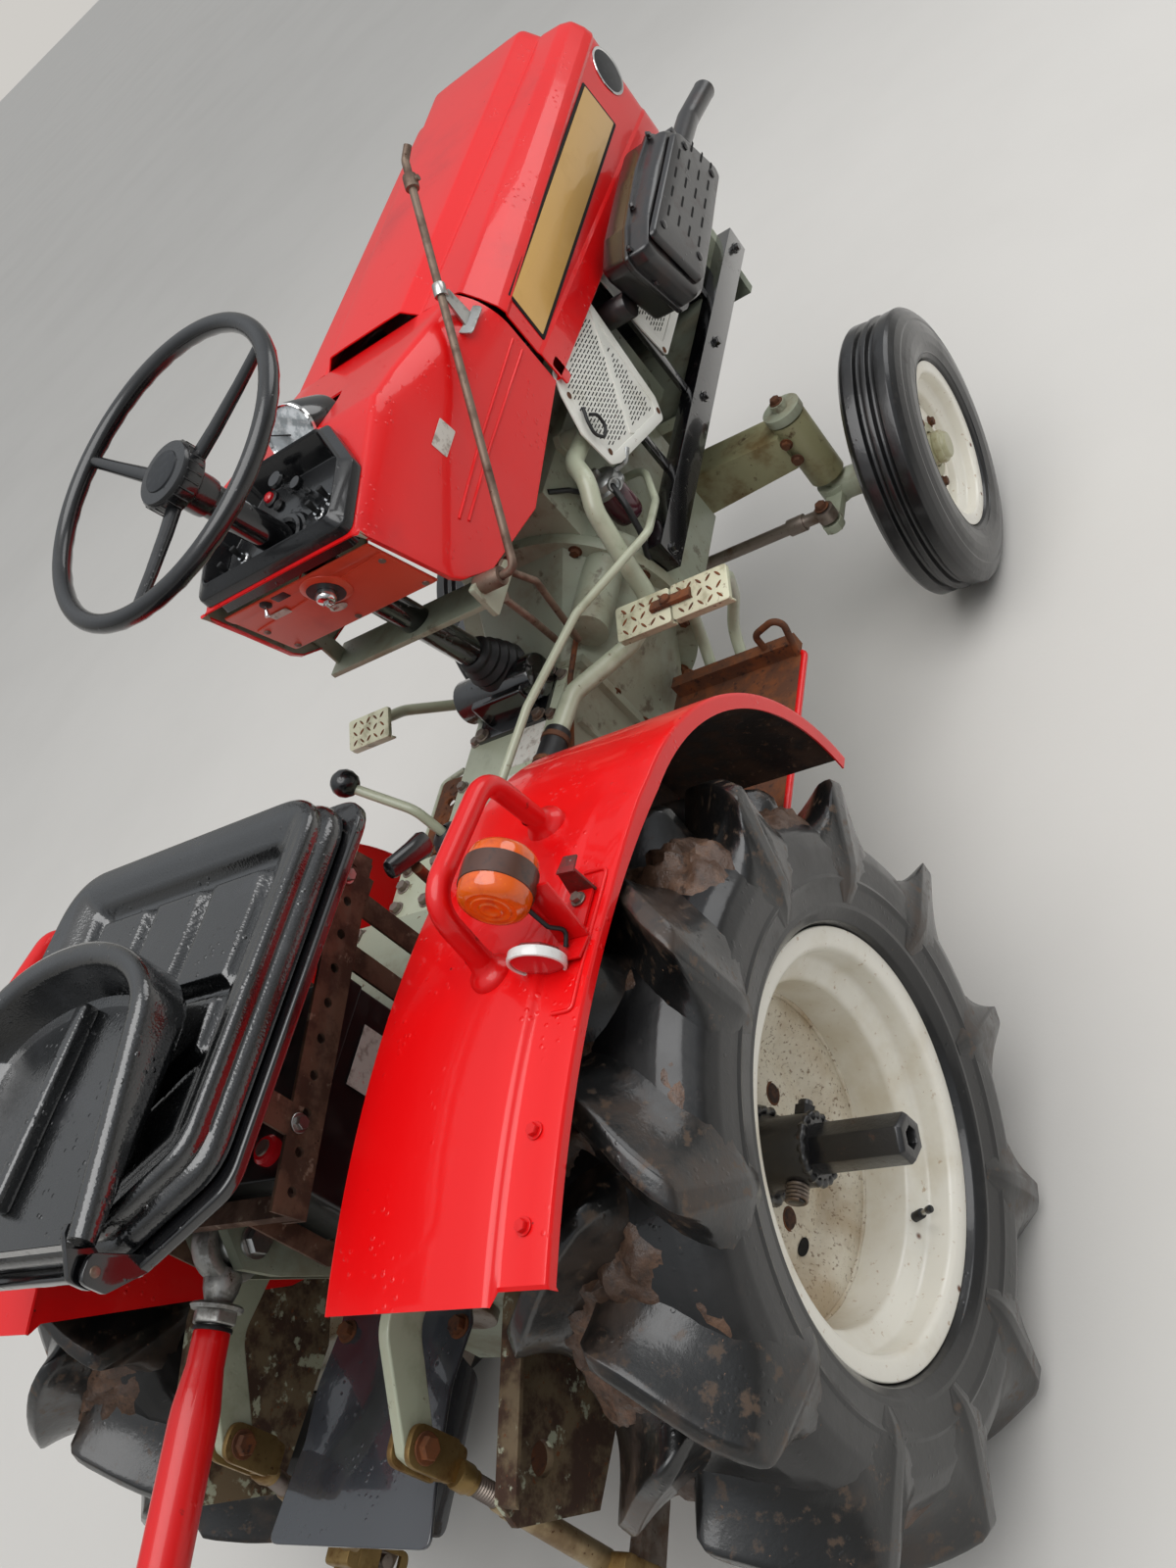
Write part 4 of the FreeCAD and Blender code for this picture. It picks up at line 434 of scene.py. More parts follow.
# Pressed gilt plate in the side panels, left blank.
gilt_plate = finish("gilt_plate", "d9ab5e", 0.36, metallic=0.25, coat=0.3,
                    layers=(dict(size=60, low=0.5, high=0.8, colour="cfa052"),
                            dict(size=4, low=0.7, high=0.8, colour="b98a44")),
                    relief=(("noise", 60, 0.15),))
dark_badge = finish("dark_badge", "26282b", 0.35, metallic=0.4, layers=(dict(size=8, low=0.5, high=0.7,
                                                                              colour="35373a"),))
pale_label = finish("pale_label", "cbc8bf", 0.4, layers=(dict(size=12, low=0.5, high=0.66, colour="9d948a"),
                                                       dict(size=4, low=0.62, high=0.7, colour="c98a84")))
battery_case = finish("battery_case", "0f1011", 0.4, coat=0.2, layers=(dict(size=50, low=0.5, high=0.7,
                                                                            colour="1f1d1b", rough=0.6),))
# Near-black: the real black of the needle and the decal border, and painted shade in holes, slots and the tail pipe.
black_and_painted_shade = finish("black_and_painted_shade", "040404", 0.9, layers=(dict(size=6, low=0.5, high=0.7, colour="0b0908"),))
gauge_glass = finish("gauge_glass", "aab0b2", 0.06, coat=1.0, metallic=0.3,
                     layers=(dict(size=18, low=0.45, high=0.6, colour="e6e9ea"),))
radiator_fins = finish("radiator_fins", "17181a", 0.5, metallic=0.4, layers=(dict(kind="bands", size=3, low=0.3,
                       high=0.6, colour="2a2b2d"),))


# Forms, drawn in millimetres

def rounded(corners, radius, steps=4, closed=True):
    # A path whose corners are turned into short curves; radius is one number or one per corner.
    count = len(corners)
    radii = radius if isinstance(radius, (list, tuple)) else [radius] * count
    path = []
    for index, corner in enumerate(corners):
        corner = Vector(corner)
        if not closed and index in (0, count - 1) or radii[index] <= 0:
            path.append(corner)
            continue
        before = Vector(corners[index - 1])
        after = Vector(corners[(index + 1) % count])
        back = before - corner
        ahead = after - corner
        half_turn = back.angle(ahead) / 2
        room = 0.48 * min(back.length, ahead.length)
        trim = min(radii[index] / max(math.tan(half_turn), 0.01), room)
        first = corner + back.normalized() * trim
        last = corner + ahead.normalized() * trim
        for step in range(steps + 1):
            t = step / steps
            path.append(first * (1 - t) ** 2 + corner * 2 * t * (1 - t) + last * t ** 2)
    return path


def skin(rings, closed=True, caps=True, loop=False):
    # A surface through rings of equal count; closed joins each ring's ends, loop joins last ring to first.
    form = bmesh.new()
    rows = [[form.verts.new(point) for point in ring] for ring in rings]
    pairs = list(zip(rows, rows[1:])) + ([(rows[-1], rows[0])] if loop else [])
    count = len(rows[0])
    for low, high in pairs:
        for index in range(count if closed else count - 1):
            after = (index + 1) % count
            form.faces.new((low[index], low[after], high[after], high[index]))
    if caps and closed and not loop:
        form.faces.new(list(reversed(rows[0])))
        form.faces.new(rows[-1])
    bmesh.ops.remove_doubles(form, verts=form.verts, dist=0.01)
    bmesh.ops.recalc_face_normals(form, faces=form.faces)
    return form


def edged(form, width, steps=2, angle=25):
    # Breaks every sharp edge with a small round.
    sharp = [edge for edge in form.edges if len(edge.link_faces) == 2
             and edge.calc_face_angle(0) > math.radians(angle)]
    if sharp and width > 0:
        bmesh.ops.bevel(form, geom=sharp, offset=width, segments=steps, profile=0.6, affect="EDGES",
                        clamp_overlap=True)
    return form


def block(x0, x1, y0, y1, z0, z1, edge=1.5, steps=2):
    form = bmesh.new()
    bmesh.ops.create_cube(form, size=1)
    bmesh.ops.scale(form, verts=form.verts, vec=(x1 - x0, y1 - y0, z1 - z0))
    bmesh.ops.translate(form, verts=form.verts, vec=((x0 + x1) / 2, (y0 + y1) / 2, (z0 + z1) / 2))
    return edged(form, edge, steps)


def slab(outline, depth, edge=1.0, steps=2):
    # A flat outline of 3-D points pushed out by a vector.
    depth = Vector(depth)
    low = [Vector(point) for point in outline]
    return edged(skin([low, [point + depth for point in low]]), edge, steps)


def outline_xz(points, y):
    return [Vector((x, y, z)) for x, z in points]


def turned(profile, start, axis, sides=48, ring=False, stretch=None):
    # A profile of (radius, distance along the axis) turned about it; ring closes the profile on itself.
    start, axis = Vector(start), Vector(axis).normalized()
    side = axis.orthogonal().normalized()
    other = axis.cross(side)
    rings = []
    for step in range(sides):
        angle = 2 * math.pi * step / sides
        out = side * math.cos(angle) + other * math.sin(angle)
        rings.append([start + axis * along + out * radius for radius, along in profile])
    form = skin(rings, closed=ring, caps=False, loop=True)
    return form


def bar(start, end, radius, sides=28, edge=1.0, far_radius=None):
    start, end = Vector(start), Vector(end)
    length = (end - start).length
    far = radius if far_radius is None else far_radius
    edge = min(edge, radius * 0.5, length * 0.3)
    profile = [(0, 0), (radius - edge, 0), (radius - edge * 0.3, edge * 0.3), (radius, edge),
               (far, length - edge), (far - edge * 0.3, length - edge * 0.3), (far - edge, length), (0, length)]
    return turned(profile, start, end - start, sides)


def tube(points, radius, bend=40, sides=16, steps=8, ends=True, section=None):
    # A round bar along a path with curved corners; section(share) scales it along its length.
    path = rounded(points, bend, steps, closed=False)
    rings = []
    direction = (path[1] - path[0]).normalized()
    normal = direction.orthogonal().normalized()
    for index, point in enumerate(path):
        before = path[max(index - 1, 0)]
        after = path[min(index + 1, len(path) - 1)]
        ahead = (after - before).normalized()
        normal = (normal - ahead * normal.dot(ahead)).normalized()
        other = ahead.cross(normal)
        size = radius * (section(index / (len(path) - 1)) if section else 1)
        rings.append([point + (normal * math.cos(a) + other * math.sin(a)) * size
                      for a in (2 * math.pi * k / sides for k in range(sides))])
    return skin(rings, caps=ends)


def ball(centre, radius, squash=(1, 1, 1)):
    form = bmesh.new()
    bmesh.ops.create_uvsphere(form, u_segments=32, v_segments=20, radius=radius)
    bmesh.ops.scale(form, verts=form.verts, vec=squash)
    bmesh.ops.translate(form, verts=form.verts, vec=centre)
    return form


def mirror_form(form):
    for vert in form.verts:
        vert.co.y = -vert.co.y
    bmesh.ops.reverse_faces(form, faces=form.faces)
    return form


def sided(form, side):
    return form if side > 0 else mirror_form(form)


class Piece:
    # Gathers forms and makes one object of them, in its place in metres.
    def __init__(self, name):
        self.name = name
        self.form = bmesh.new()
        self.finishes = []

    def add(self, form, surface, smooth=True):
        if surface not in self.finishes:
            self.finishes.append(surface)
        number = self.finishes.index(surface)
        for face in form.faces:
            face.material_index = number
            face.smooth = smooth
        loose = bpy.data.meshes.new("loose")
        form.to_mesh(loose)
        form.free()
        self.form.from_mesh(loose)
        bpy.data.meshes.remove(loose)
        return self

    def done(self, body, *stands_for, angle=38, padded=None):
        mesh = bpy.data.meshes.new(self.name)
        bmesh.ops.translate(self.form, verts=self.form.verts, vec=(AXLE_X, 0, 0))
        bmesh.ops.scale(self.form, verts=self.form.verts, vec=(MM, MM, MM))
        self.form.to_mesh(mesh)
        self.form.free()
        for surface in self.finishes:
            mesh.materials.append(surface)
        mesh.set_sharp_from_angle(angle=math.radians(angle))
        piece = bpy.data.objects.new(self.name, mesh)
        bpy.context.scene.collection.objects.link(piece)
        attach(piece, body)
        if stands_for:
            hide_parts(*stands_for)
        return piece


def node_form(node, edge, steps=2, angle=28):
    # A copy of a CAD node, merged into clean faces and with its edges broken, in millimetres.
    form = bmesh.new()
    form.from_mesh(frame["nodes"][node].data)
    bmesh.ops.scale(form, verts=form.verts, vec=(1000, 1000, 1000))
    bmesh.ops.translate(form, verts=form.verts, vec=(-AXLE_X, 0, 0))
    bmesh.ops.remove_doubles(form, verts=form.verts, dist=0.02)
    bmesh.ops.dissolve_limit(form, angle_limit=math.radians(1.2), verts=form.verts, edges=form.edges)
    return edged(form, edge, steps, angle)


def dress(node, surface, edge=1.2, body=None, extra=()):
    # A CAD node whose shape is right, given broken edges and its finish.
    piece = Piece(node + "_dressed")
    piece.add(node_form(node, edge), surface)
    for form, other in extra:
        piece.add(form, other)
    return piece.done(body or body_of(node), node)


def body_of(node):
    for body, members in frame["record"]["behaviour"]["bodies"].items():
        if node in members:
            return body
    raise KeyError(node)


# Repeated fasteners and marks, by geometry nodes

def stamp_tree():
    # Sets one pattern on every point, turned to the point's facing, at a size with a little seeded spread.
    tree = bpy.data.node_groups.new("stamped_pattern", "GeometryNodeTree")
    sockets = {}
    for label, kind, way in (("Geometry", "NodeSocketGeometry", "INPUT"), ("Pattern", "NodeSocketObject", "INPUT"),
                             ("Size", "NodeSocketFloat", "INPUT"), ("Spin spread", "NodeSocketFloat", "INPUT"),
                             ("Seed", "NodeSocketInt", "INPUT"), ("Finish", "NodeSocketMaterial", "INPUT"),
                             ("Geometry", "NodeSocketGeometry", "OUTPUT")):
        made = tree.interface.new_socket(label, in_out=way, socket_type=kind)
        if way == "INPUT":
            sockets[label] = made.identifier
    given = add(tree, "NodeGroupInput")
    pattern_in = add(tree, "GeometryNodeObjectInfo", {"Object": given.outputs["Pattern"]})
    facing = add(tree, "GeometryNodeInputNamedAttribute", {"Name": "facing"}, data_type="FLOAT_VECTOR")
    along = add(tree, "GeometryNodeInputNamedAttribute", {"Name": "along"}, data_type="FLOAT_VECTOR")
    first = add(tree, "FunctionNodeAlignRotationToVector", {"Vector": facing.outputs[0]}, axis="Z")
    second = add(tree, "FunctionNodeAlignRotationToVector", {"Rotation": first.outputs[0],
                                                             "Vector": along.outputs[0]}, axis="X", pivot_axis="Z")
    minus = add(tree, "ShaderNodeMath", {0: given.outputs["Spin spread"], 1: -1.0}, operation="MULTIPLY")
    chance = add(tree, "FunctionNodeRandomValue", {2: minus.outputs[0], 3: given.outputs["Spin spread"],
                                                   "Seed": given.outputs["Seed"]}, data_type="FLOAT")
    spin = add(tree, "ShaderNodeCombineXYZ", {"Z": chance.outputs[1]})
    turn = add(tree, "FunctionNodeEulerToRotation", {0: spin.outputs[0]})
    aim = add(tree, "FunctionNodeRotateRotation", {0: second.outputs[0], 1: turn.outputs[0]},
              rotation_space="LOCAL")
    laid = add(tree, "GeometryNodeInstanceOnPoints", {
        "Points": given.outputs["Geometry"], "Instance": pattern_in.outputs["Geometry"],
        "Rotation": aim.outputs[0], "Scale": given.outputs["Size"]})
    real = add(tree, "GeometryNodeRealizeInstances", {0: laid.outputs[0]})
    painted = add(tree, "GeometryNodeSetMaterial", {"Geometry": real.outputs[0], "Material": given.outputs["Finish"]})
    add(tree, "NodeGroupOutput", {0: painted.outputs[0]})
    return tree, sockets


STAMP, STAMP_SOCKETS = stamp_tree()


def pattern_object(name, form):
    mesh = bpy.data.meshes.new(name)
    bmesh.ops.scale(form, verts=form.verts, vec=(MM, MM, MM))
    for face in form.faces:
        face.smooth = True
    form.to_mesh(mesh)
    form.free()
    return bpy.data.objects.new(name, mesh)


def stamped(name, body, pattern_piece, places, surface, size=1.0, spin=0.0, seed=7, angle=38):
    # places: (point, facing, along) in millimetres from under the rear axle.
    mesh = bpy.data.meshes.new(name)
    mesh.from_pydata([((p[0] + AXLE_X) * MM, p[1] * MM, p[2] * MM) for p, facing, along in places], [], [])
    for label, column in (("facing", 1), ("along", 2)):
        field = mesh.attributes.new(label, "FLOAT_VECTOR", "POINT")
        flat = [c for place in places for c in Vector(place[column]).normalized()]
        field.data.foreach_set("vector", flat)
    holder = bpy.data.objects.new(name, mesh)
    bpy.context.scene.collection.objects.link(holder)
    modifier = holder.modifiers.new("stamp", "NODES")
    modifier.node_group = STAMP
    for label, value in (("Pattern", pattern_piece), ("Size", size), ("Spin spread", spin), ("Seed", seed),
                         ("Finish", surface)):
        modifier[STAMP_SOCKETS[label]] = value
    plain = bpy.data.meshes.new_from_object(holder.evaluated_get(bpy.context.evaluated_depsgraph_get()))
    holder.modifiers.clear()
    holder.data = plain
    for field in ("facing", "along"):
        if field in plain.attributes:
            plain.attributes.remove(plain.attributes[field])
    if surface.name not in [m.name for m in plain.materials if m]:
        plain.materials.clear()
        plain.materials.append(surface)
    plain.set_sharp_from_angle(angle=math.radians(angle))
    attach(holder, body)
    return holder


def hex_bolt(across, head, washer=0.0):
    # A hexagon head on a round washer, its face chamfered; it stands on Z from the surface.
    form = bmesh.new()
    rise = 0.0
    if washer:
        disc = turned([(0, 0), (washer, 0), (washer, 1.6), (washer - 0.5, 2.0), (0, 2.0)], (0, 0, 0), Z, 20)
        loose = bpy.data.meshes.new("loose")
        disc.to_mesh(loose)
        form.from_mesh(loose)
        bpy.data.meshes.remove(loose)
        rise = 2.0
    radius = across / math.sqrt(3)
    rings = []
    for share, height in ((1.0, rise), (1.0, rise + head * 0.84), (0.9, rise + head)):
        rings.append([Vector((radius * share * math.cos(math.pi / 3 * k), radius * share * math.sin(math.pi / 3 * k),
                              height)) for k in range(6)])
    head_form = skin(rings)
    loose = bpy.data.meshes.new("loose")
    head_form.to_mesh(loose)
    form.from_mesh(loose)
    bpy.data.meshes.remove(loose)
    return form


BOLT_LARGE = pattern_object("bolt_17", hex_bolt(17, 8, 13))
BOLT_SMALL = pattern_object("bolt_12", hex_bolt(12, 6, 9.5))
BOLT_PIN = pattern_object("bolt_22", hex_bolt(20, 7, 15))
SCREW = pattern_object("pan_screw", turned([(0, 0), (5.2, 0), (5.0, 1.4), (3.2, 2.6), (0, 3.0)], (0, 0, 0), Z, 16))


# Hood

HOOD_REAR, HOOD_NOSE, HOOD_HALF = 963, 1745, 198


def between(a, b, share):
    return a + (b - a) * share


def hood_ring(x, share, inset, turn_in=9):
    # One cross-section, foot to foot over the top, with every crease a short curve.
    half = HOOD_HALF - inset
    bottom = between(827, 785, share)
    shoulder = between(967, 1000, share)
    band = between(1004, 1024, share) - inset
    bulge = between(1024, 1053, share) - inset
    edge = between(70, 96, share)
    side = [(half - turn_in, bottom + 0.5), (half, bottom), (half, bottom + 44), (half - 2, bottom + 50),
            (half - 2, shoulder - 26), (half, shoulder - 20), (half - 5, shoulder - 6), (half - 18, shoulder + 14),
            (half - 36, band), (edge + 30, band + 3), (edge + 22, band + 1), (edge, bulge), (edge - 30, bulge + 0.6)]
    radii = [0, 2, 3, 3, 3, 3, 12, 16, 14, 6, 6, 9, 0]
    points = [(y, z) for y, z in side] + [(-y, z) for y, z in reversed(side)]
    radii = radii + radii[::-1]
    path = rounded([Vector((y, z, 0)) for y, z in points], radii, 3, closed=False)
    return [Vector((x, p.x, p.y)) for p in path]


def hood_skin():
    # The long pressing: outer face, turned-in feet, nose rounding and the frame round the grille window.
    stations = [(HOOD_REAR, 0, 0)]
    for step in range(1, 13):
        x = between(HOOD_REAR, 1706, step / 12)
        stations.append((x, 0.96 * step / 12, 0))
    for x, inset in ((1716, 0.7), (1724, 2.2), (1731, 4.6), (1737, 8), (1741.5, 12), (1744, 16), (1745, 20)):
        stations.append((x, 0.96 + 0.04 * (x - 1706) / 39, inset))
    rings = [hood_ring(x, share, inset) for x, share, inset in stations]
    last = rings[-1]
    foot = [Vector((1745, between(last[-1].y, last[0].y, k / 9), last[0].z)) for k in range(1, 9)]
    front_loop = last + foot
    form = skin(rings, closed=False, caps=False)
    centre = Vector((1745, 0, 912))
    window = []
    lip = []
    back = []
    for point in front_loop:
        ray = point - centre
        share = min(150 / abs(ray.y) if abs(ray.y) > 1e-6 else 9, (84 if ray.z > 0 else 84) / abs(ray.z)
                    if abs(ray.z) > 1e-6 else 9)
        window.append(centre + ray * share * 1.02 + X * -0.4)
        lip.append(centre + ray * share + X * -2.5)
        back.append(centre + ray * share + X * -13)
    face = skin([front_loop, window, lip, back], caps=False)
    # The sill below the window, closed beneath.
    rows = []
    for ring in rings[13:]:
        rows.append([Vector((ring[0].x, between(ring[-1].y, ring[0].y, k / 9), ring[0].z)) for k in range(10)])
    sill = skin(rows, closed=False, caps=False)
    return form, face, sill


def solidify(form, thickness, inner_number):
    # Adds an inner wall and rims to an open skin; the rims keep the outer finish.
    outer = list(form.faces)
    boundary = [edge for edge in form.edges if edge.is_boundary]
    copy = bmesh.ops.duplicate(form, geom=outer)
    pairs = {}
    for old, new in copy["vert_map"].items():
        pairs[old] = new
    form.normal_update()
    moves = {vert: vert.normal.copy() for vert in {v for face in outer for v in face.verts}}
    for vert, normal in moves.items():
        pairs[vert].co = vert.co - normal * thickness
    inner = [item for item in copy["geom"] if isinstance(item, bmesh.types.BMFace)]
    bmesh.ops.reverse_faces(form, faces=inner)
    for face in inner:
        face.material_index = inner_number
    for edge in boundary:
        loop = edge.link_loops[0]
        a, b = loop.vert, loop.link_loop_next.vert
        rim = form.faces.new((b, a, pairs[a], pairs[b]))
        rim.material_index = edge.link_faces[0].material_index
        rim.smooth = True
    return form


def sheet_piece(name, forms, surface, under, thickness, body, stands_for, centre, extra=(), angle=38):
    piece = Piece(name)
    for form in forms:
        piece.add(form, surface)
    if under not in piece.finishes:
        piece.finishes.append(under)
    bmesh.ops.remove_doubles(piece.form, verts=piece.form.verts, dist=0.05)
    bmesh.ops.recalc_face_normals(piece.form, faces=piece.form.faces)
    centre = Vector(centre)
    lean = sum(face.normal.dot(face.calc_center_median() - centre) * face.calc_area() for face in piece.form.faces)
    if lean < 0:
        bmesh.ops.reverse_faces(piece.form, faces=piece.form.faces)
    solidify(piece.form, thickness, piece.finishes.index(under))
    for form, other in extra:
        piece.add(form, other)
    return piece.done(body, *stands_for, angle=angle)


def side_plate_form(corners, y, depth, round_off, edge):
    outline = rounded([Vector((x, y, z)) for x, z in corners], round_off, 4)
    return slab(outline, (0, depth, 0), edge)


def make_hood():
    extra = []
    for name, side in SIDES:
        stripe = [(998, 880), (1586, 883), (1578, 958), (1001, 947)]
        border = side_plate_form([(992, 874), (1592, 877), (1583, 964), (995, 953)], side * 195.6, side * 1.8, 4, 0.8)
        plate = side_plate_form(stripe, side * 196.4, side * 1.5, 2, 0.4)
        extra += [(border, black_and_painted_shade), (plate, gilt_plate)]
        disc = turned([(0, 0), (40, 0), (41.5, 1.2), (41, 2.2), (38, 2.2), (36.5, 1.2), (0, 1.2)],
                      (1689, side * 195.7, 927), (0, side, 0), 56)
        face = turned([(0, 1.25), (36.4, 1.25), (34, 1.7), (0, 1.9)], (1689, side * 195.7, 927), (0, side, 0), 56)
        extra += [(disc, chrome), (face, dark_badge)]
        # Ears at the rear feet and hinge lugs at the nose, where the node has them.
        ear = side_plate_form([(966, 813), (989, 813), (989, 850), (966, 850)], side * 195, side * 3, 6, 0.6)
        lug = side_plate_form([(1690, 794), (1733, 794), (1733, 824), (1690, 824)], side * 130, side * 6, 6, 0.8)
        extra += [(ear, red_enamel), (lug, red_enamel)]
    sheet_piece("hood_pressing", hood_skin(), red_enamel, red_tube_enamel, 2.2, "hood", ("hood",), (1330, 0, 860),
                extra)


def make_nose():
    piece = Piece("nose_grille_bars")
    x0, x1 = 1729, 1739
    corners = [Vector((x0, y, z)) for y, z in ((-149, 829), (149, 829), (149, 995), (-149, 995))]
    outer = rounded(corners, 8, 3)
    centre = Vector((x0, 0, 912))
    inner = [centre + (p - centre) * 0.945 for p in outer]
    depth = X * 9
    piece.add(skin([outer, [p + depth for p in outer], [p + depth for p in inner], inner], caps=False, loop=True),
              black_enamel)
    for row in range(19):
        z = 842 + row * 7.6
        piece.add(slab([(x0 + 2, -142, z), (x0 + 2, 142, z), (x0 + 2, 142, z + 2.6), (x0 + 2, -142, z + 2.6)],
                       (5, 0, 0), 0.5, 1), black_enamel)
    for y in (-46, 0, 46):
        piece.add(block(x0, x1 - 1, y - 2.5, y + 2.5, 836, 988, 1), black_enamel)
    piece.done("hood", "nose_grille")
    lamps = Piece("headlamp_units")
    for name, side in SIDES:
        start = Vector((1693.2, side * 98, 912))
        lamps.add(turned([(0, 0), (22, 0), (40, 26), (43.4, 34), (43.4, 46), (41, 47.6), (38.5, 46), (38.5, 42),
                          (30, 28), (0, 16)], start, X, 48), chrome)
        lamps.add(turned([(0, 46.6), (20, 46.0), (34, 44.2), (38.6, 42.5), (38.6, 40.5), (0, 42)], start, X, 48),
                  clear_lens)
    lamps.done("hood", "headlamps")


# Cowl, dash and fascia

def cowl_half(x):
    if x < 760:
        return between(146, 165, (x - 507) / 253)
    return between(165, 192, (x - 760) / 197)


def stepped(table, x):
    for (x0, v0), (x1, v1) in zip(table, table[1:]):
        if x <= x1:
            return between(v0, v1, (x - x0) / (x1 - x0))
    return table[-1][1]


def dash_height(x):
    return 994 + (x - 507) * 52 / 193


COWL_TOP = [(476, 985.6), (700, 1046), (760, 1038), (957.2, 1008)]
COWL_DROP = [(476, 30), (700, 90), (760, 84), (957.2, 62)]
COWL_MIDDLE = [(476, 12), (700, 24), (760, 28), (957.2, 26)]
COWL_RUN = [(476, 9), (700, 14), (760, 22), (957.2, 36)]
COWL_FOOT = [(505, 999), (507, 994), (564, 846), (622, 806), (760, 778), (957, 829)]


def cowl_ring(x):
    half, top = cowl_half(x), stepped(COWL_TOP, x)
    drop, middle, run = stepped(COWL_DROP, x), stepped(COWL_MIDDLE, x), stepped(COWL_RUN, x)
    foot = stepped(COWL_FOOT, x)
    side = [(half - 7, foot + 0.4), (half, foot), (half, between(foot, top - drop, 0.5)), (half, top - drop),
            (half - run * 0.36, top - middle), (half - run, top), (half * 0.55, top + 0.3), (20, top + 0.4)]
    side = [(y, max(z, foot)) for y, z in side]
    points = side + [(-y, z) for y, z in reversed(side)]
    radii = [0, 2, 0, 26, 16, 9, 0, 0]
    # Corners squeezed flat near the fascia keep a fixed count of points.
    path = []
    radii = radii + radii[::-1]
    vectors = [Vector((y, z, 0)) for y, z in points]
    for index, corner in enumerate(vectors):
        if radii[index] <= 0 or index in (0, len(vectors) - 1):
            path.append(corner)
            continue
        back, ahead = vectors[index - 1] - corner, vectors[index + 1] - corner
        reach = min(radii[index], 0.45 * back.length, 0.45 * ahead.length)
        first = corner + back.normalized() * reach if back.length > 0.01 else corner
        last = corner + ahead.normalized() * reach if ahead.length > 0.01 else corner
        for t in (0, 0.25, 0.5, 0.75, 1):
            path.append(first * (1 - t) ** 2 + corner * 2 * t * (1 - t) + last * t ** 2)
    return [Vector((x, p.x, p.y)) for p in path]


def cut_away(piece, cutters):
    # Openings cut by boolean, with the cutters in millimetres.
    for form in cutters:
        mesh = bpy.data.meshes.new("cutter")
        bmesh.ops.translate(form, verts=form.verts, vec=(AXLE_X, 0, 0))
        bmesh.ops.scale(form, verts=form.verts, vec=(MM, MM, MM))
        bmesh.ops.recalc_face_normals(form, faces=form.faces)
        form.to_mesh(mesh)
        form.free()
        tool = bpy.data.objects.new("cutter", mesh)
        bpy.context.scene.collection.objects.link(tool)
        modifier = piece.modifiers.new("cut", "BOOLEAN")
        modifier.operation = "DIFFERENCE"
        modifier.solver = "EXACT"
        modifier.object = tool
        done = bpy.data.meshes.new_from_object(piece.evaluated_get(bpy.context.evaluated_depsgraph_get()))
        piece.modifiers.clear()
        piece.data = done
        bpy.data.objects.remove(tool)
    piece.data.set_sharp_from_angle(angle=math.radians(34))


DASH_OUTLINE = [(512, -134), (512, 134), (600, 138), (676, 84), (676, -84), (600, -138)]


def dash_loop(share, rise, round_off=14):
    corners = [Vector((596 + (x - 596) * share, y * share, 0)) for x, y in DASH_OUTLINE]
    return [Vector((p.x, p.y, dash_height(p.x) + rise)) for p in rounded(corners, round_off * share, 4)]


def make_cowl():
    stations = [507.5, 512, 520, 532, 546, 560, 572, 590, 606, 622, 650, 676, 700, 712, 730, 746, 760, 776, 800,
                840, 880, 920, 948, 957]
    rings = [cowl_ring(x) for x in stations]
    shell = skin(rings, closed=False, caps=False)
    extra = []
    for name, side in SIDES:
        if side < 0:
            sticker = slab(rounded([Vector((x, -(cowl_half(x) + 0.1), z)) for x, z in
                                    ((700, 930), (745, 934), (741, 962), (696, 957))], 2, 2), (0, -0.6, 0), 0.2, 1)
            extra.append((sticker, pale_label))
        # Two pressed swages run from the fascia's corner up to the hood.
        for low, high in (((640, 880), (944, 918)), ((650, 866), (944, 898))):
            points = []
            for k in range(8):
                x = between(low[0], high[0], k / 7)
                points.append((x, side * (cowl_half(x) - 0.6), between(low[1], high[1], k / 7)))
            swage = tube([Vector(p) for p in points], 2.6, 2, 10, 2)
            extra.append((swage, red_enamel))
    piece = sheet_piece("cowl_pressing", [shell], red_enamel, green_casting, 2.4, "chassis", ("cowl",),
                        (740, 0, 900), extra)
    opening = skin([dash_loop(0.95, -70), dash_loop(0.95, 60)])
    tilt = Vector((-0.86, 0, 0.5))
    pod = bar(Vector((742, -2, 1034)) - tilt * 60, Vector((742, -2, 1034)) + tilt * 60, 40.6, 40, 0.1)
    cut_away(piece, [opening, pod])


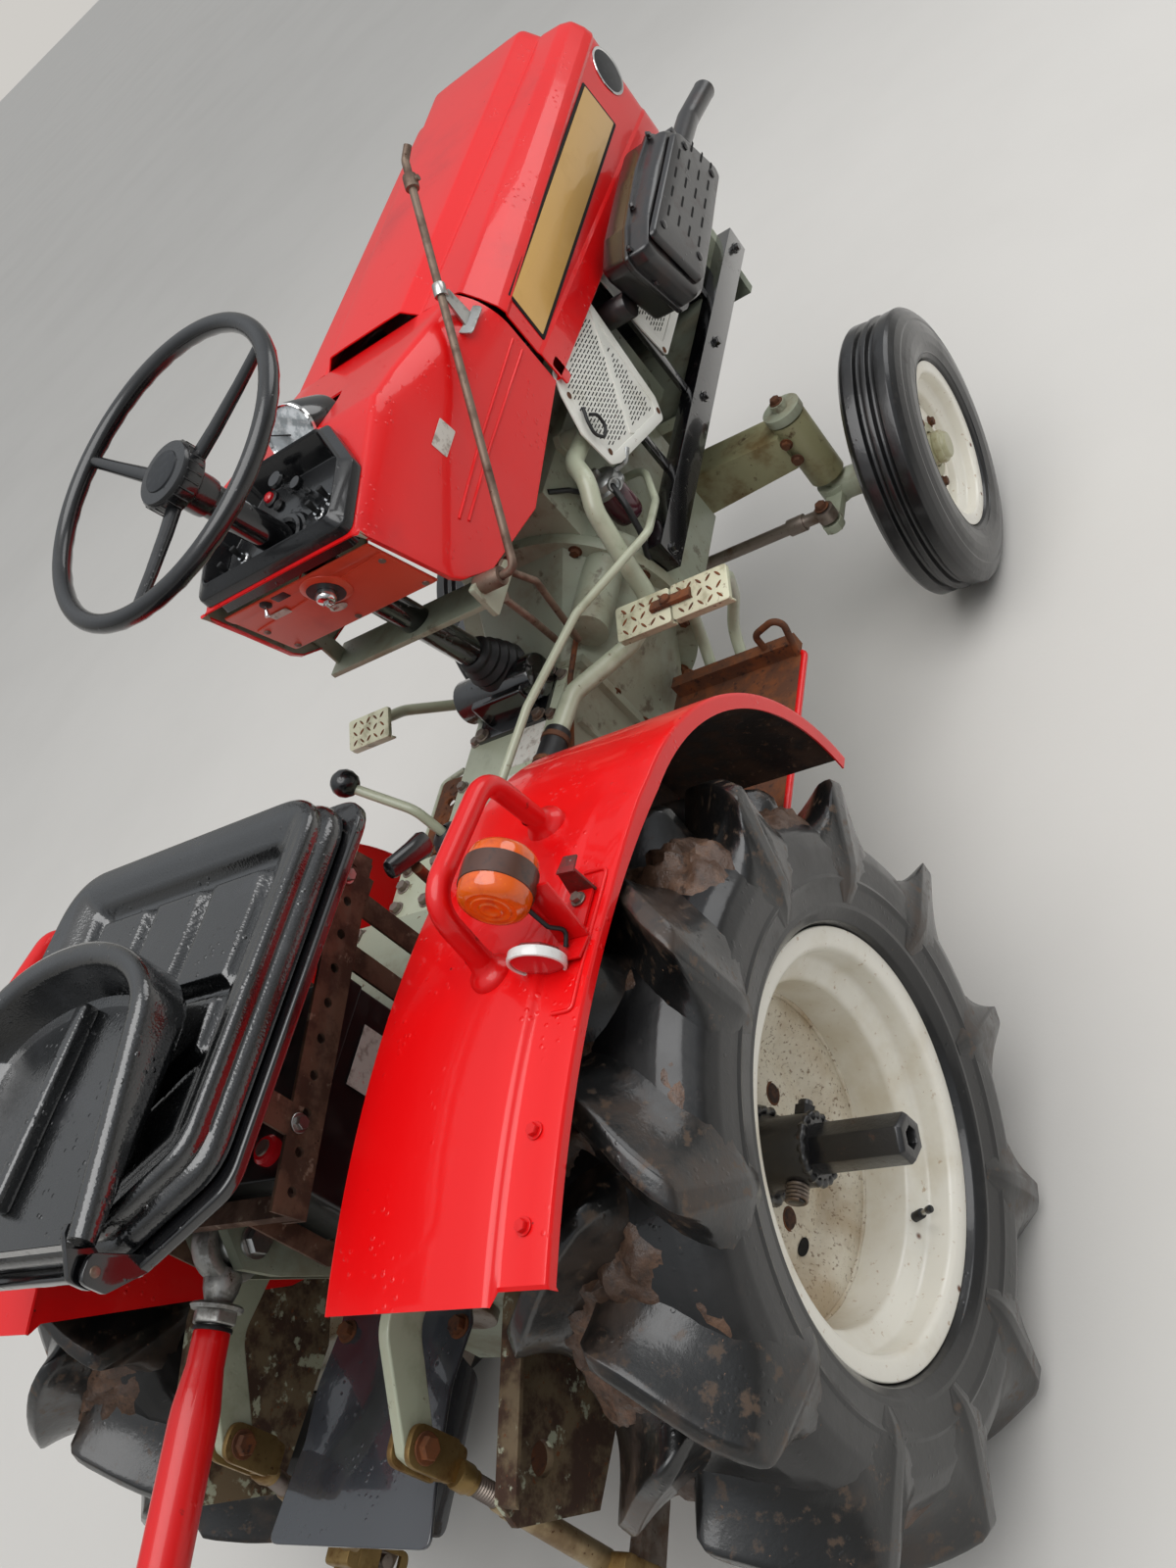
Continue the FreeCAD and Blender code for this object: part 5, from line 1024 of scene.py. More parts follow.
def make_dash():
    piece = Piece("dash_moulding")
    loops = [dash_loop(1.0, 0.5), dash_loop(1.0, 12), dash_loop(0.992, 14.5), dash_loop(0.90, 20),
             dash_loop(0.885, 23.2), dash_loop(0.875, 24), dash_loop(0.862, 23), dash_loop(0.855, 20),
             dash_loop(0.82, -8), dash_loop(0.81, -13.5), dash_loop(0.80, -14)]
    form = skin(loops, caps=False)
    piece.add(form, black_plastic)
    floor = bmesh.new()
    floor.faces.new([floor.verts.new(p) for p in dash_loop(0.80, -14)])
    piece.add(floor, black_plastic)
    under = bmesh.new()
    under.faces.new([under.verts.new(p) for p in reversed(dash_loop(0.93, -21.5))])
    piece.add(under, black_plastic)
    piece.add(skin([dash_loop(1.0, 0.5), dash_loop(0.93, 0.4), dash_loop(0.93, -21.5)], caps=False), black_plastic)
    up = Vector((-math.sin(math.radians(15)), 0, math.cos(math.radians(15))))

    def spot(x, y, rise=-14):
        return Vector((x, y, dash_height(x) + rise))

    # A raised step crosses the face on either side of the column.
    for side in (-1, 1):
        step = [(528, 34), (528, 108), (590, 112), (606, 92), (584, 34)]
        low = [spot(x, side * y, -14.2) for x, y in step]
        top = [spot(x, side * y * 0.985, -3 - 0.1 * (x - 528)) for x, y in step]
        piece.add(edged(skin([low, top]), 1.5, 2), black_plastic)
    collar = turned([(24, 0), (40, 0), (41, 4), (38, 9), (34, 10), (33, 14), (28, 15), (24, 12)], spot(566, 0, -16),
                    (-math.sin(math.radians(16)), 0, math.cos(math.radians(16))), 40, ring=True)
    piece.add(collar, black_plastic)
    # Warning lamp, pull knobs, toggles.
    piece.add(turned([(0, 0), (11, 0), (11.5, 2.5), (9, 4), (0, 4)], spot(650, 48), up, 32), black_rubber)
    # The warning lamp's red lens glows faintly: painted light.
    piece.add(turned([(0, 3), (8, 3), (7, 7.5), (4, 9.5), (0, 10)], spot(650, 48), up, 32), red_lens)
    for x, y, r, h in ((645, 8, 7, 24), (628, -26, 5.5, 18)):
        piece.add(bar(spot(x, y), spot(x, y) + up * h, r * 0.6, 20), chrome)
        piece.add(turned([(0, h - 2), (r * 1.6, h - 2), (r * 1.75, h + 2), (r * 1.5, h + 5.5), (0, h + 6)],
                         spot(x, y), up, 32), black_plastic)
    for x, y in ((570, -66), (582, -84), (566, 74), (552, 96)):
        base = spot(x, y, -6)
        piece.add(turned([(0, 0), (9, 0), (9, 3), (6, 4), (5.5, 8), (0, 8)], base, up, 6), chrome)
        piece.add(bar(base + up * 6, base + up * 24 + X * 5, 3, 14, 1, 4.6), black_rubber)
    piece.add(turned([(0, 0), (7.5, 0), (8, 3), (6, 5), (0, 5)], spot(632, 30), up, 24), black_rubber)
    # Gauge pod: a short can with a chrome rim and a pale dial.
    foot = Vector((742, -2, 1034))
    tilt = Vector((-0.86, 0, 0.5)).normalized()
    piece.add(turned([(0, -26), (39, -26), (39.8, -20), (39.8, 36), (38, 40), (36, 40)], foot, tilt, 56), black_enamel)
    piece.add(turned([(36.5, 36), (39.9, 38), (39.4, 42.4), (37.5, 43.8), (35.4, 42), (35, 38)], foot, tilt, 56,
                     ring=True), chrome)
    piece.add(turned([(0, 39), (35.4, 39), (35.2, 40), (0, 41.4)], foot, tilt, 56), gauge_glass)
    needle = bar(foot + tilt * 42, foot + tilt * 42 + Vector((0.2, 24, 12)), 0.9, 8, 0.2)
    piece.add(needle, black_and_painted_shade)
    piece.done("chassis", "dash_panel")


def make_fascia():
    slope = (Vector((564, 0, 846)) - Vector((507, 0, 994))).normalized()
    out = Vector((slope.z, 0, -slope.x))
    corner = Vector((507, 0, 994)) - out * 3.4

    def spot(down, y, rise=0.0):
        return corner + slope * down + Y * y + out * rise

    def panel(corners, low, high, round_off=3, edge=0.8):
        outline = rounded([spot(down, y, low) for down, y in corners], round_off, 3)
        return slab(outline, out * (high - low), edge)

    piece = Piece("fascia_panels")
    piece.add(panel([(26, -131.5), (26, 131.5), (142, 131.5), (142, -131.5)], -0.2, 1.6), orange_enamel)
    piece.add(panel([(26, -131), (26, 131), (44, 131), (44, -131)], 1.4, 3.0, 5), orange_enamel)
    piece.add(panel([(48, -130), (74, 128), (141, 128), (141, -130)], 1.4, 3.0, 4), orange_enamel)
    lock = spot(62, -20)
    piece.add(turned([(0, 0), (33, 0), (32, 4), (26, 7.5), (0, 7.5)], lock, out, 48), orange_enamel)
    piece.add(turned([(13, 7), (24, 7.2), (24.4, 8), (13, 8.2)], lock, out, 48, ring=True), dark_badge)
    piece.add(turned([(0, 7), (12.5, 7), (13, 16), (11.5, 20), (10, 21), (0, 20.6)], lock, out, 40), chrome)
    key = lock + out * 20
    piece.add(slab([key + Y * -5, key + Y * 5, key + Y * 6 + slope * 3, key + Y * 4 + slope * 3], out * 5, 0.3, 1),
              chrome)
    piece.add(tube([key + out * 4, key + out * 3 + slope * 16 + Y * 5, key - out * 9 + slope * 30 + Y * 12], 1.4, 8,
                   10, 4), chrome)
    tag_centre = key + slope * 36 + Y * 18 - out * 14
    tag = []
    for k in range(20):
        a = 2 * math.pi * k / 20
        tag.append(tag_centre + Y * (14 * math.cos(a)) + slope * (7 * math.sin(a)))
    piece.add(slab(tag, out * 1.2, 0.2, 1), pale_label)
    switch = spot(36, 62)
    piece.add(turned([(0, 0), (8, 0), (8, 5), (5.6, 6.4), (0, 6.4)], switch, out, 24), black_rubber)
    piece.add(bar(switch + out * 5, switch + out * 19 + slope * 4, 2.4, 14, 1, 3.6), chrome)
    piece.add(panel([(30, 22), (30, 46), (43, 46), (43, 22)], 2.8, 3.5, 1.5, 0.2), dark_badge)
    piece.add(panel([(58, 52), (58, 84), (70, 84), (70, 52)], 2.9, 3.5, 1.5, 0.2), pale_label)
    piece.done("chassis", "rear_fascia")
    places = [(spot(down, y, 3.0), out, Y) for down, y in
              ((62, -118), (134, -118), (84, 6), (84, 118), (134, 118), (134, 2))]
    stamped("fascia_screws", "chassis", SCREW, places, worn_steel, 0.9, 3.0)


# Steering wheel and column

def make_steering():
    centre = Vector((510, 0, 1172))
    lean = math.radians(16)
    up = Vector((-math.sin(lean), 0, math.cos(lean)))
    ahead = Vector((math.cos(lean), 0, math.sin(lean)))
    piece = Piece("steering_wheel_moulding")
    rings = []
    for step in range(96):
        a = 2 * math.pi * step / 96
        out = ahead * math.cos(a) + Y * math.sin(a)
        ring = []
        for k in range(20):
            b = 2 * math.pi * k / 20
            # Finger waves on the underside of the rim.
            grip = 0.55 * math.sin(a * 36) * max(0.0, -math.sin(b))
            ring.append(centre + out * (187 + (11.2 + grip) * math.cos(b)) + up * ((11.2 + grip) * math.sin(b)))
        rings.append(ring)
    piece.add(skin(rings, caps=False, loop=True), black_plastic)
    for turn_deg in (180, 60, -60):
        a = math.radians(turn_deg)
        out = ahead * math.cos(a) + Y * math.sin(a)
        across = up.cross(out)
        rows = []
        for share in (0.12, 0.2, 0.4, 0.7, 0.9, 1.0):
            along = 187 * share
            drop = -28 + 28 * share ** 1.4
            wide = between(11.5, 7.6, min(1, share * 1.2))
            tall = between(8.6, 6.2, share)
            rows.append([centre + out * along + up * drop + across * (wide * math.cos(b)) + up * (tall * math.sin(b))
                         for b in (2 * math.pi * k / 16 for k in range(16))])
        piece.add(skin(rows), black_plastic)
    piece.add(turned([(0, -64), (24, -65), (25, -58), (25, -40), (33, -36), (42, -30), (43.6, -20), (43, -8),
                      (40, -3.5), (30, -2.2), (0, -2)], centre, up, 56), black_plastic)
    ribs = []
    for step in range(24):
        a = 2 * math.pi * step / 24
        out = ahead * math.cos(a) + Y * math.sin(a)
        low = centre + out * 42.4 + up * -28
        ribs.append(bar(low, low + up * 20, 1.7, 8, 0.8))
    for rib in ribs:
        piece.add(rib, black_plastic)
    piece.add(turned([(0, -2.2), (27, -2.4), (26, -0.6), (23, 0), (0, 0.2)], centre, up, 48), dark_badge)
    piece.done("steering_wheel", "steering_wheel")

    column = Piece("steering_column_parts")
    foot = Vector((510, 0, 1172)) - up * ((1172 - 625) / up.z)
    column.add(bar(foot, centre - up * 66, 21, 36), black_enamel)
    column.add(turned([(40, -8), (42, 0), (38, 8), (40, 14), (35, 22), (37, 28), (31, 36), (33, 42), (27, 50),
                       (28, 56), (24, 62), (21, 63)], foot, up, 36), black_rubber)
    column.add(block(610, 684, -46, 46, 572.2, 624, 6, 3), black_enamel)
    column.add(bar((650, -62, 606), (650, 78, 606), 33, 40, 5), black_enamel)
    column.add(block(588, 684, -62, 62, 572.2, 582.2, 2), black_enamel)
    column.done("chassis", "steering_column")
    places = [((x, y, 582.2), Z, X) for x in (597, 676) for y in (-52, 52)]
    stamped("gearbox_bolts", "chassis", BOLT_LARGE, places, worn_steel, 0.85, 1.0)


def soft_profile(points, radius, steps=3, closed=True):
    path = rounded([Vector((r, y, 0)) for r, y in points], radius, steps, closed)
    return [(p.x, p.y) for p in path]


def wheel_turned(profile, closed=True, sides=96):
    # A profile of (radius, outward) turned about an axle along Y through the origin.
    rings = []
    for step in range(sides):
        a = 2 * math.pi * step / sides
        rings.append([Vector((r * math.cos(a), y, r * math.sin(a))) for r, y in profile])
    return skin(rings, closed=closed, caps=False, loop=True)


def stand_wheel(form, centre, side, camber=0.0):
    # Wheel forms are drawn about the origin with +Y outwards; this stands them in place.
    if camber:
        bmesh.ops.rotate(form, verts=form.verts, cent=(0, 0, 0),
                         matrix=Matrix.Rotation(math.radians(-camber), 3, "X"))
    bmesh.ops.translate(form, verts=form.verts, vec=centre)
    return sided(form, side)


def along_stations(stations, share):
    # Values at a share of the way through rows of numbers.
    place = share * (len(stations) - 1)
    index = min(int(place), len(stations) - 2)
    t = place - index
    values = [between(p1, p2, t) for p1, p2 in zip(stations[index], stations[index + 1])]
    return values


REAR_RADIUS, REAR_SEAT, REAR_FLANGE = 395, 203, 222
REAR_CENTRE = Vector((0, 412, 395))
LUGS_A_SIDE = 11
# Along one lug, tread middle to sidewall: radius and outward place of its foot, the way it stands,
# its height, half width at top and at foot, and the turn in degrees.
LUG_STATIONS = [
    (338, -30, 1, 0, -2, 3, 16, -2.0), (340, -26, 1, 0, 26, 5, 27, -1.7), (341, -20, 1, 0, 45, 7, 37, -1.2),
    (342, -12, 1, 0, 52, 8.6, 45, -0.5), (342, 0, 1, 0, 53, 9.6, 51, 0.8), (342, 16, 1, 0, 53, 10.6, 56, 2.5),
    (342, 32, 1, 0, 53, 11.4, 59, 4.5), (341, 46, 1, 0, 53, 12, 61, 6.5), (339, 60, 1, 0, 54, 12.4, 62, 8.7),
    (336, 72, 1, 0.01, 55, 12.6, 61, 10.7), (331, 84, 1, 0.02, 57, 12.4, 59, 12.5), (323, 95, 1, 0.04, 61, 12, 56, 14.1),
    (314, 100.5, 1, 0.02, 65.5, 11, 53, 14.9), (298, 103.6, 1, 0.0, 78, 9.4, 48, 15.4),
    (282, 104.4, 0.1, 1, 6.5, 7, 33, 15.8), (262, 103.2, 0, 1, 4.2, 4.5, 22, 16.2), (244, 98.6, -0.1, 1, 0, 2.4, 10, 16.5)]
LUG_ACROSS = [(1.0, -0.10), (0.87, 0.0), (0.72, 0.08), (0.56, 0.2), (0.41, 0.36), (0.28, 0.53), (0.16, 0.72),
              (0.06, 0.89), (0.0, 0.985)]


def lug_form(half, start):
    rings = []
    count = len(LUG_STATIONS) - 1
    for step in range(count + 1):
        r, y, nr, ny, high, top, foot, turn = along_stations(LUG_STATIONS, step / count)
        size = math.hypot(nr, ny)
        nr, ny = nr / size, ny / size
        side_points = [(-(top + (foot - top) * t), high * f if high > 6 or f > 0 else -1.5)
                       for t, f in LUG_ACROSS]
        crest = max(top - 1.5, 0.4)
        middle = [(-crest, high), (-crest * 0.4, high), (crest * 0.4, high), (crest, high)]
        across = side_points + middle + [(-t, f) for t, f in reversed(side_points)]
        ring = []
        for offset, rise in across:
            rise = max(rise, -7)
            radius = min(r + nr * rise, REAR_RADIUS - 0.15)
            angle = math.radians(start + turn) + offset / max(radius, 200)
            ring.append(Vector((radius * math.cos(angle), half * (y + ny * rise), radius * math.sin(angle))))
        if half < 0:
            ring.reverse()
        rings.append(ring)
    return skin(rings)


CARCASS = [(203.4, -75.4), (222.5, -77), (226, -89), (243, -98), (262, -102), (284, -104), (300, -104), (318, -98),
           (330, -84), (337, -66), (342, -34), (343, 0), (342, 34), (337, 66), (330, 84), (318, 98), (300, 104),
           (284, 104), (272, 103.6), (268, 105.2), (264, 103), (262, 102), (243, 98), (238, 98.2), (235, 96.2),
           (226, 89), (222.5, 77), (203.4, 75.4)]


def carcass_radius(y):
    # Radius of the tread's surface at a distance from the wheel's middle.
    table = [(-98, 318), (-84, 330), (-66, 337), (-34, 342), (0, 343), (34, 342), (66, 337), (84, 330), (98, 318)]
    return stepped(table, max(-98, min(98, y)))


def soil_crust(seed):
    # Soil stuck between the lugs: a skin over the tread that sinks under the rubber where there is none.
    rings = []
    across = 30
    around = 300
    for step in range(around):
        a = 2 * math.pi * step / around
        ring = []
        for k in range(across + 1):
            y = between(-96, 97, k / across)
            r = carcass_radius(y)
            spot = Vector((r * math.cos(a), y, r * math.sin(a)))
            broad = noise.noise(spot * 0.011 + Vector((seed, 3, 0)))
            fine = noise.fractal(spot * 0.05 + Vector((0, seed, 0)), 1.0, 2.0, 5)
            grain = noise.noise(spot * 0.22)
            thick = -2 + 19 * max(0.0, broad + 0.2) + 9 * fine * max(0.0, broad + 0.35) * 2 + 1.6 * grain
            edge = min(k, across - k) / 4
            thick = between(-4, thick, min(1, edge))
            thick = max(-4, min(thick, 24))
            ring.append(Vector(((r + thick) * math.cos(a), y, (r + thick) * math.sin(a))))
        rings.append(ring)
    return skin(rings, closed=False, caps=False, loop=True)


def make_rear_tyre(name, side):
    piece = Piece("rear_tyre_" + name + "_cover")
    carcass = wheel_turned(soft_profile(CARCASS, [0, 3, 5, 20, 20, 20, 20, 20, 20, 20, 30, 30, 30, 20, 20, 20, 20, 9,
                                                  1.2, 1.2, 1.2, 9, 5, 1, 1, 5, 3, 0]), sides=144)
    piece.add(stand_wheel(carcass, REAR_CENTRE, side), tyre_rubber)
    pitch = 360 / LUGS_A_SIDE
    for step in range(LUGS_A_SIDE):
        for half, start in ((1, -90 + step * pitch), (-1, -90 + (step + 0.5) * pitch)):
            piece.add(stand_wheel(lug_form(half, start), REAR_CENTRE, side), tread_rubber)
    piece.add(stand_wheel(soil_crust(4.0 if side < 0 else 9.0), REAR_CENTRE, side), wet_soil)
    piece.done("rear_wheel_" + name, "rear_tyre_" + name, angle=50)


def spring_form(start, axis, radius, wire, turns, length):
    # A wound wire about an axis.
    start, axis = Vector(start), Vector(axis).normalized()
    one = axis.orthogonal().normalized()
    two = axis.cross(one)
    points = []
    steps = int(turns * 14)
    for k in range(steps + 1):
        a = 2 * math.pi * turns * k / steps
        points.append(start + axis * (length * k / steps) + (one * math.cos(a) + two * math.sin(a)) * radius)
    return tube(points, wire, 0, 8, 1)


def weld_bead(radius, y, thick, seed):
    # A lumpy ring of weld about the axle.
    rings = []
    for step in range(72):
        a = 2 * math.pi * step / 72
        lump = thick * (1 + 0.28 * math.sin(a * 19 + seed) + 0.3 * noise.noise(Vector((a * 3, seed, 0))))
        ring = []
        for k in range(10):
            b = 2 * math.pi * k / 10
            r = radius + lump * math.cos(b)
            ring.append(Vector((r * math.cos(a), y + lump * math.sin(b), r * math.sin(a))))
        rings.append(ring)
    return skin(rings, caps=False, loop=True)


RIM_HOLES = 6


def make_rear_rim(name, side):
    well, edge, disc = REAR_SEAT - 24, 82, -50
    piece = Piece("rear_rim_" + name + "_pressing")

    def place(form, surface):
        piece.add(stand_wheel(form, REAR_CENTRE, side), surface)

    barrel = [(REAR_FLANGE, -edge), (REAR_FLANGE, -edge + 5), (REAR_SEAT, -75.7), (REAR_SEAT - 0.3, -46), (well, -34),
              (well, 34), (REAR_SEAT - 0.3, 46), (REAR_SEAT, 75.7), (REAR_FLANGE, edge - 5), (REAR_FLANGE, edge),
              (REAR_SEAT - 6, edge - 3), (REAR_SEAT - 6, 48), (well - 6, 36), (well - 6, -36), (REAR_SEAT - 6, -48),
              (REAR_SEAT - 6, -edge + 3)]
    place(wheel_turned(soft_profile(barrel, [2.4, 2.4, 4, 8, 8, 8, 8, 4, 2.4, 2.4, 9, 9, 9, 9, 9, 9], 4), sides=128),
          ivory_enamel)
    plate = [(46, disc), (46, disc + 7), (84, disc + 7), (92, disc + 9), (104, disc + 9), (118, disc + 7.2),
             (134, disc + 22), (150, disc + 30), (160, disc + 31), (well - 3, disc + 31), (well - 3, disc + 23),
             (138, disc + 14), (122, disc)]
    place(wheel_turned(soft_profile(plate, [0.5, 1, 3, 3, 3, 6, 8, 6, 4, 1, 1, 6, 6], 3), sides=128), stained_ivory)
    # Bead of weld where the disc meets the barrel.
    place(weld_bead(well - 6.5, disc + 32, 2.6, 1.0), stained_ivory)
    for step in range(RIM_HOLES):
        a = math.radians(60 * step - 5)
        spot = Vector((76 * math.cos(a), disc + 6.9, 76 * math.sin(a)))
        place(turned([(0, 0.5), (11.5, 0.5), (12.6, 1.0), (13.4, 0.4), (13.8, -0.6)], spot, Y, 28), rusty_steel)
        place(turned([(0, 0.9), (9.5, 0.9), (11, 0.7)], spot, Y, 28), hole_brown)
    # Two oval holes in the disc, drawn as near-black ovals on its face: painted shade.
    for angle, wide, tall in ((-125, 13, 8), (55, 13, 8)):
        a = math.radians(angle)
        out = Vector((math.cos(a), 0, math.sin(a)))
        across = Vector((-out.z, 0, out.x))
        centre = out * 110 + Y * (disc + 8.9)
        oval = [centre + out * (tall * math.cos(b)) + across * (wide * math.sin(b)) + Y * (0.6 * abs(math.cos(b)))
                for b in (2 * math.pi * k / 28 for k in range(28))]
        place(slab(oval, Y * 0.9, 0.2, 1), black_and_painted_shade)
    # Valve stem through the well.
    a = math.radians(-90)
    out = Vector((math.cos(a), 0, math.sin(a)))
    foot = out * (well + 4) + Y * 38
    tip = out * (well - 14) + Y * 66
    place(bar(foot, between(foot, tip, 0.55), 5.6, 18, 1.2), black_rubber)
    place(bar(between(foot, tip, 0.5), tip, 3.4, 16, 0.8), bright_zinc)
    place(bar(between(foot, tip, 0.86), tip + (tip - foot) * 0.06, 4.4, 12, 0.8), black_plastic)
    # Hub: flange, welded barrel and hexagon axle tube with its pinch bolt and spring.
    inboard = 362 - 412
    place(turned([(0, -118), (30, -118), (30, -17), (84, -16), (84, -1.5), (82, -0.4), (0, -0.4)],
                 (0, inboard, 0), Y, 48), black_enamel)
    place(turned([(0, 0), (52, 0), (53, 2.5), (49, 5), (43, 9), (40, 14), (38, 22), (37.6, 66), (35, 70), (0, 70)],
                 (0, inboard + 7, 0), Y, 56), hub_black)
    for r, y, thick, seed in ((46, inboard + 13, 5.5, 0.4), (34, inboard + 74, 4.5, 2.0)):
        place(weld_bead(r, y, thick, seed), hub_black)
    hexagon = [Vector((26 * math.cos(math.radians(60 * k + 30)), 18, 26 * math.sin(math.radians(60 * k + 30))))
               for k in range(6)]
    shrunk = [Vector((p.x * 0.86, 129.6, p.z * 0.86)) for p in hexagon]
    far = [Vector((p.x, 125, p.z)) for p in hexagon]
    bore = [Vector((p.x * 0.46, 129.6, p.z * 0.46)) for p in hexagon]
    deep = [Vector((p.x * 0.44, 118, p.z * 0.44)) for p in hexagon]
    place(edged(skin([hexagon, far, shrunk, bore, deep]), 1.4, 2, 30), hub_black)
    place(bar((-56, 4, 0), (56, 4, 0), 8, 20, 1), hub_black)
    place(skin([[Vector((x, 4 + 12 * math.cos(math.pi / 3 * k), 12 * math.sin(math.pi / 3 * k))) for k in range(6)]
                for x in (38, 49)]), hub_black)
    place(spring_form((-37, 4, 0), -X, 10.4, 2.0, 4.5, 19), worn_steel)
    piece.done("rear_wheel_" + name, "rear_rim_" + name, angle=40)


FRONT_RADIUS, FRONT_SEAT, FRONT_FLANGE, FRONT_DISC = 236, 126, 141, 10
FRONT_CENTRE = Vector((1311, 431, 237.67))
CAMBER = 3


def make_front_wheel(name, side):
    tyre = Piece("front_tyre_" + name + "_cover")
    half = [(FRONT_SEAT + 0.3, 39.4), (FRONT_FLANGE + 0.5, 41.6), (FRONT_FLANGE + 4, 49), (FRONT_FLANGE + 9, 52),
            (FRONT_FLANGE + 10.5, 54.2), (FRONT_FLANGE + 12.5, 53.4), (FRONT_FLANGE + 27, 57.6), (FRONT_RADIUS - 52, 58),
            (FRONT_RADIUS - 40, 56), (FRONT_RADIUS - 30, 52.6), (FRONT_RADIUS - 26, 52.8), (FRONT_RADIUS - 14, 48),
            (FRONT_RADIUS - 5, 41.5), (FRONT_RADIUS - 0.6, 36), (FRONT_RADIUS - 1.2, 27), (FRONT_RADIUS - 1.6, 18),
            (FRONT_RADIUS - 9.5, 14.6), (FRONT_RADIUS - 10.5, 10.5), (FRONT_RADIUS - 9.5, 7), (FRONT_RADIUS - 0.4, 4.4),
            (FRONT_RADIUS - 0.2, 0)]
    radii = [0, 2, 4, 1, 0.8, 1, 12, 10, 8, 2, 2, 6, 7, 4, 10, 1.6, 2.2, 2.2, 2.2, 1.6, 0]
    outline = [(r, -y) for r, y in half] + list(reversed(half[:-1]))
    curve = soft_profile(outline, radii + radii[-2::-1], 3)
    tyre.add(stand_wheel(wheel_turned(curve, sides=128), FRONT_CENTRE, side, CAMBER), tyre_rubber)
    tyre.done("front_wheel_" + name, "front_tyre_" + name, angle=42)

    rim = Piece("front_rim_" + name + "_pressing")
    well = FRONT_SEAT - 18

    def place(form, surface):
        rim.add(stand_wheel(form, FRONT_CENTRE, side, CAMBER), surface)

    barrel = [(FRONT_FLANGE, -46), (FRONT_FLANGE, -42), (FRONT_SEAT, -39.7), (FRONT_SEAT - 0.3, -22), (well, -14),
              (well, 14), (FRONT_SEAT - 0.3, 22), (FRONT_SEAT, 39.7), (FRONT_FLANGE, 42), (FRONT_FLANGE, 46),
              (FRONT_SEAT - 5, 44), (FRONT_SEAT - 5, 24), (well - 5, 16), (well - 5, -16), (FRONT_SEAT - 5, -24),
              (FRONT_SEAT - 5, -44)]
    place(wheel_turned(soft_profile(barrel, [1.8, 1.8, 3, 5, 5, 5, 5, 3, 1.8, 1.8, 6, 6, 6, 6, 6, 6], 4), sides=96),
          ivory_enamel)
    bend, edge, disc = FRONT_SEAT - 20, FRONT_SEAT - 3.5, FRONT_DISC
    # The disc stands out toward the rim's edge; the hub's grease cap is level with it.
    plate = [(34, disc), (34, disc + 5), (62, disc + 5), (74, disc + 2), (92, disc - 6), (bend, disc - 9),
             (edge, disc - 14), (edge, disc - 20), (bend, disc - 15), (88, disc - 11), (70, disc - 4)]
    place(wheel_turned(soft_profile(plate, [0.6, 1, 5, 6, 4, 4, 1, 1, 3, 4, 4], 3), sides=96), ivory_enamel)
    hub = [(0, 44), (13, 44), (20, 43.4), (22.4, 41), (23.6, 36), (26.6, 35), (27.4, 33), (27.4, 24), (25.4, 22),
           (30, 12), (34, disc + 6), (36, disc - 1), (35.4, -42.4), (66, -42.4), (66, -50), (38, -50), (38, -62),
           (20.5, -62), (20.5, -9), (0, -9)]
    place(wheel_turned(soft_profile(hub, [0, 1, 2, 1.5, 2, 1, 1, 1, 1.5, 3, 1, 1, 2, 1, 1, 2, 1, 1, 1, 0], 3, False),
                       closed=False, sides=64), hub_green)
    place(wheel_turned(soft_profile([(30, disc + 4.9), (47, disc + 4.9), (46, disc + 7.2), (31, disc + 7.4)],
                                    [0, 1, 2, 0], 3), sides=64), hub_green)
    for k in range(5):
        a = math.radians(72 * k + 54)
        across, up = Vector((-math.sin(a), 0, math.cos(a))), Vector((math.cos(a), 0, math.sin(a)))
        hole = rounded([up * (78 + u) + across * s + Y * (disc + 5.4 - max(0, 78 + u - 62) * 0.36)
                        for u, s in ((-7, -8), (-7, 8), (7, 8), (7, -8))], 3, 4)
        place(slab(hole, (0, -6, 0), 0, 1), hole_brown)
    rim.done("front_wheel_" + name, "front_rim_" + name, angle=40)
    turn = Matrix.Rotation(math.radians(-CAMBER), 3, "X")
    places = []
    for step in range(5):
        a = math.radians(72 * step + 18)
        spot = turn @ Vector((56 * math.cos(a), FRONT_DISC + 5, 56 * math.sin(a))) + FRONT_CENTRE
        facing = turn @ Y
        places.append((Vector((spot.x, side * spot.y, spot.z)), Vector((facing.x, side * facing.y, facing.z)), X))
    stamped("front_wheel_bolts_" + name, "front_wheel_" + name, BOLT_LARGE, places, rusty_steel, 0.8, 3.0)


def make_wheels():
    for name, side in SIDES:
        make_rear_tyre(name, side)
        make_rear_rim(name, side)
        make_front_wheel(name, side)


# Fenders, handles and lamps

def arc_through(a, b, c, steps):
    # Points on the circle through three points of the XZ plane.
    ax, az, bx, bz, cx, cz = a[0], a[1], b[0], b[1], c[0], c[1]
    d = 2 * (ax * (bz - cz) + bx * (cz - az) + cx * (az - bz))
    ux = ((ax * ax + az * az) * (bz - cz) + (bx * bx + bz * bz) * (cz - az) + (cx * cx + cz * cz) * (az - bz)) / d
    uz = ((ax * ax + az * az) * (cx - bx) + (bx * bx + bz * bz) * (ax - cx) + (cx * cx + cz * cz) * (bx - ax)) / d
    first, last = math.atan2(az - uz, ax - ux), math.atan2(cz - uz, cx - ux)
    radius = math.hypot(ax - ux, az - uz)
    return [(ux + radius * math.cos(between(first, last, k / steps)),
             uz + radius * math.sin(between(first, last, k / steps))) for k in range(steps + 1)]


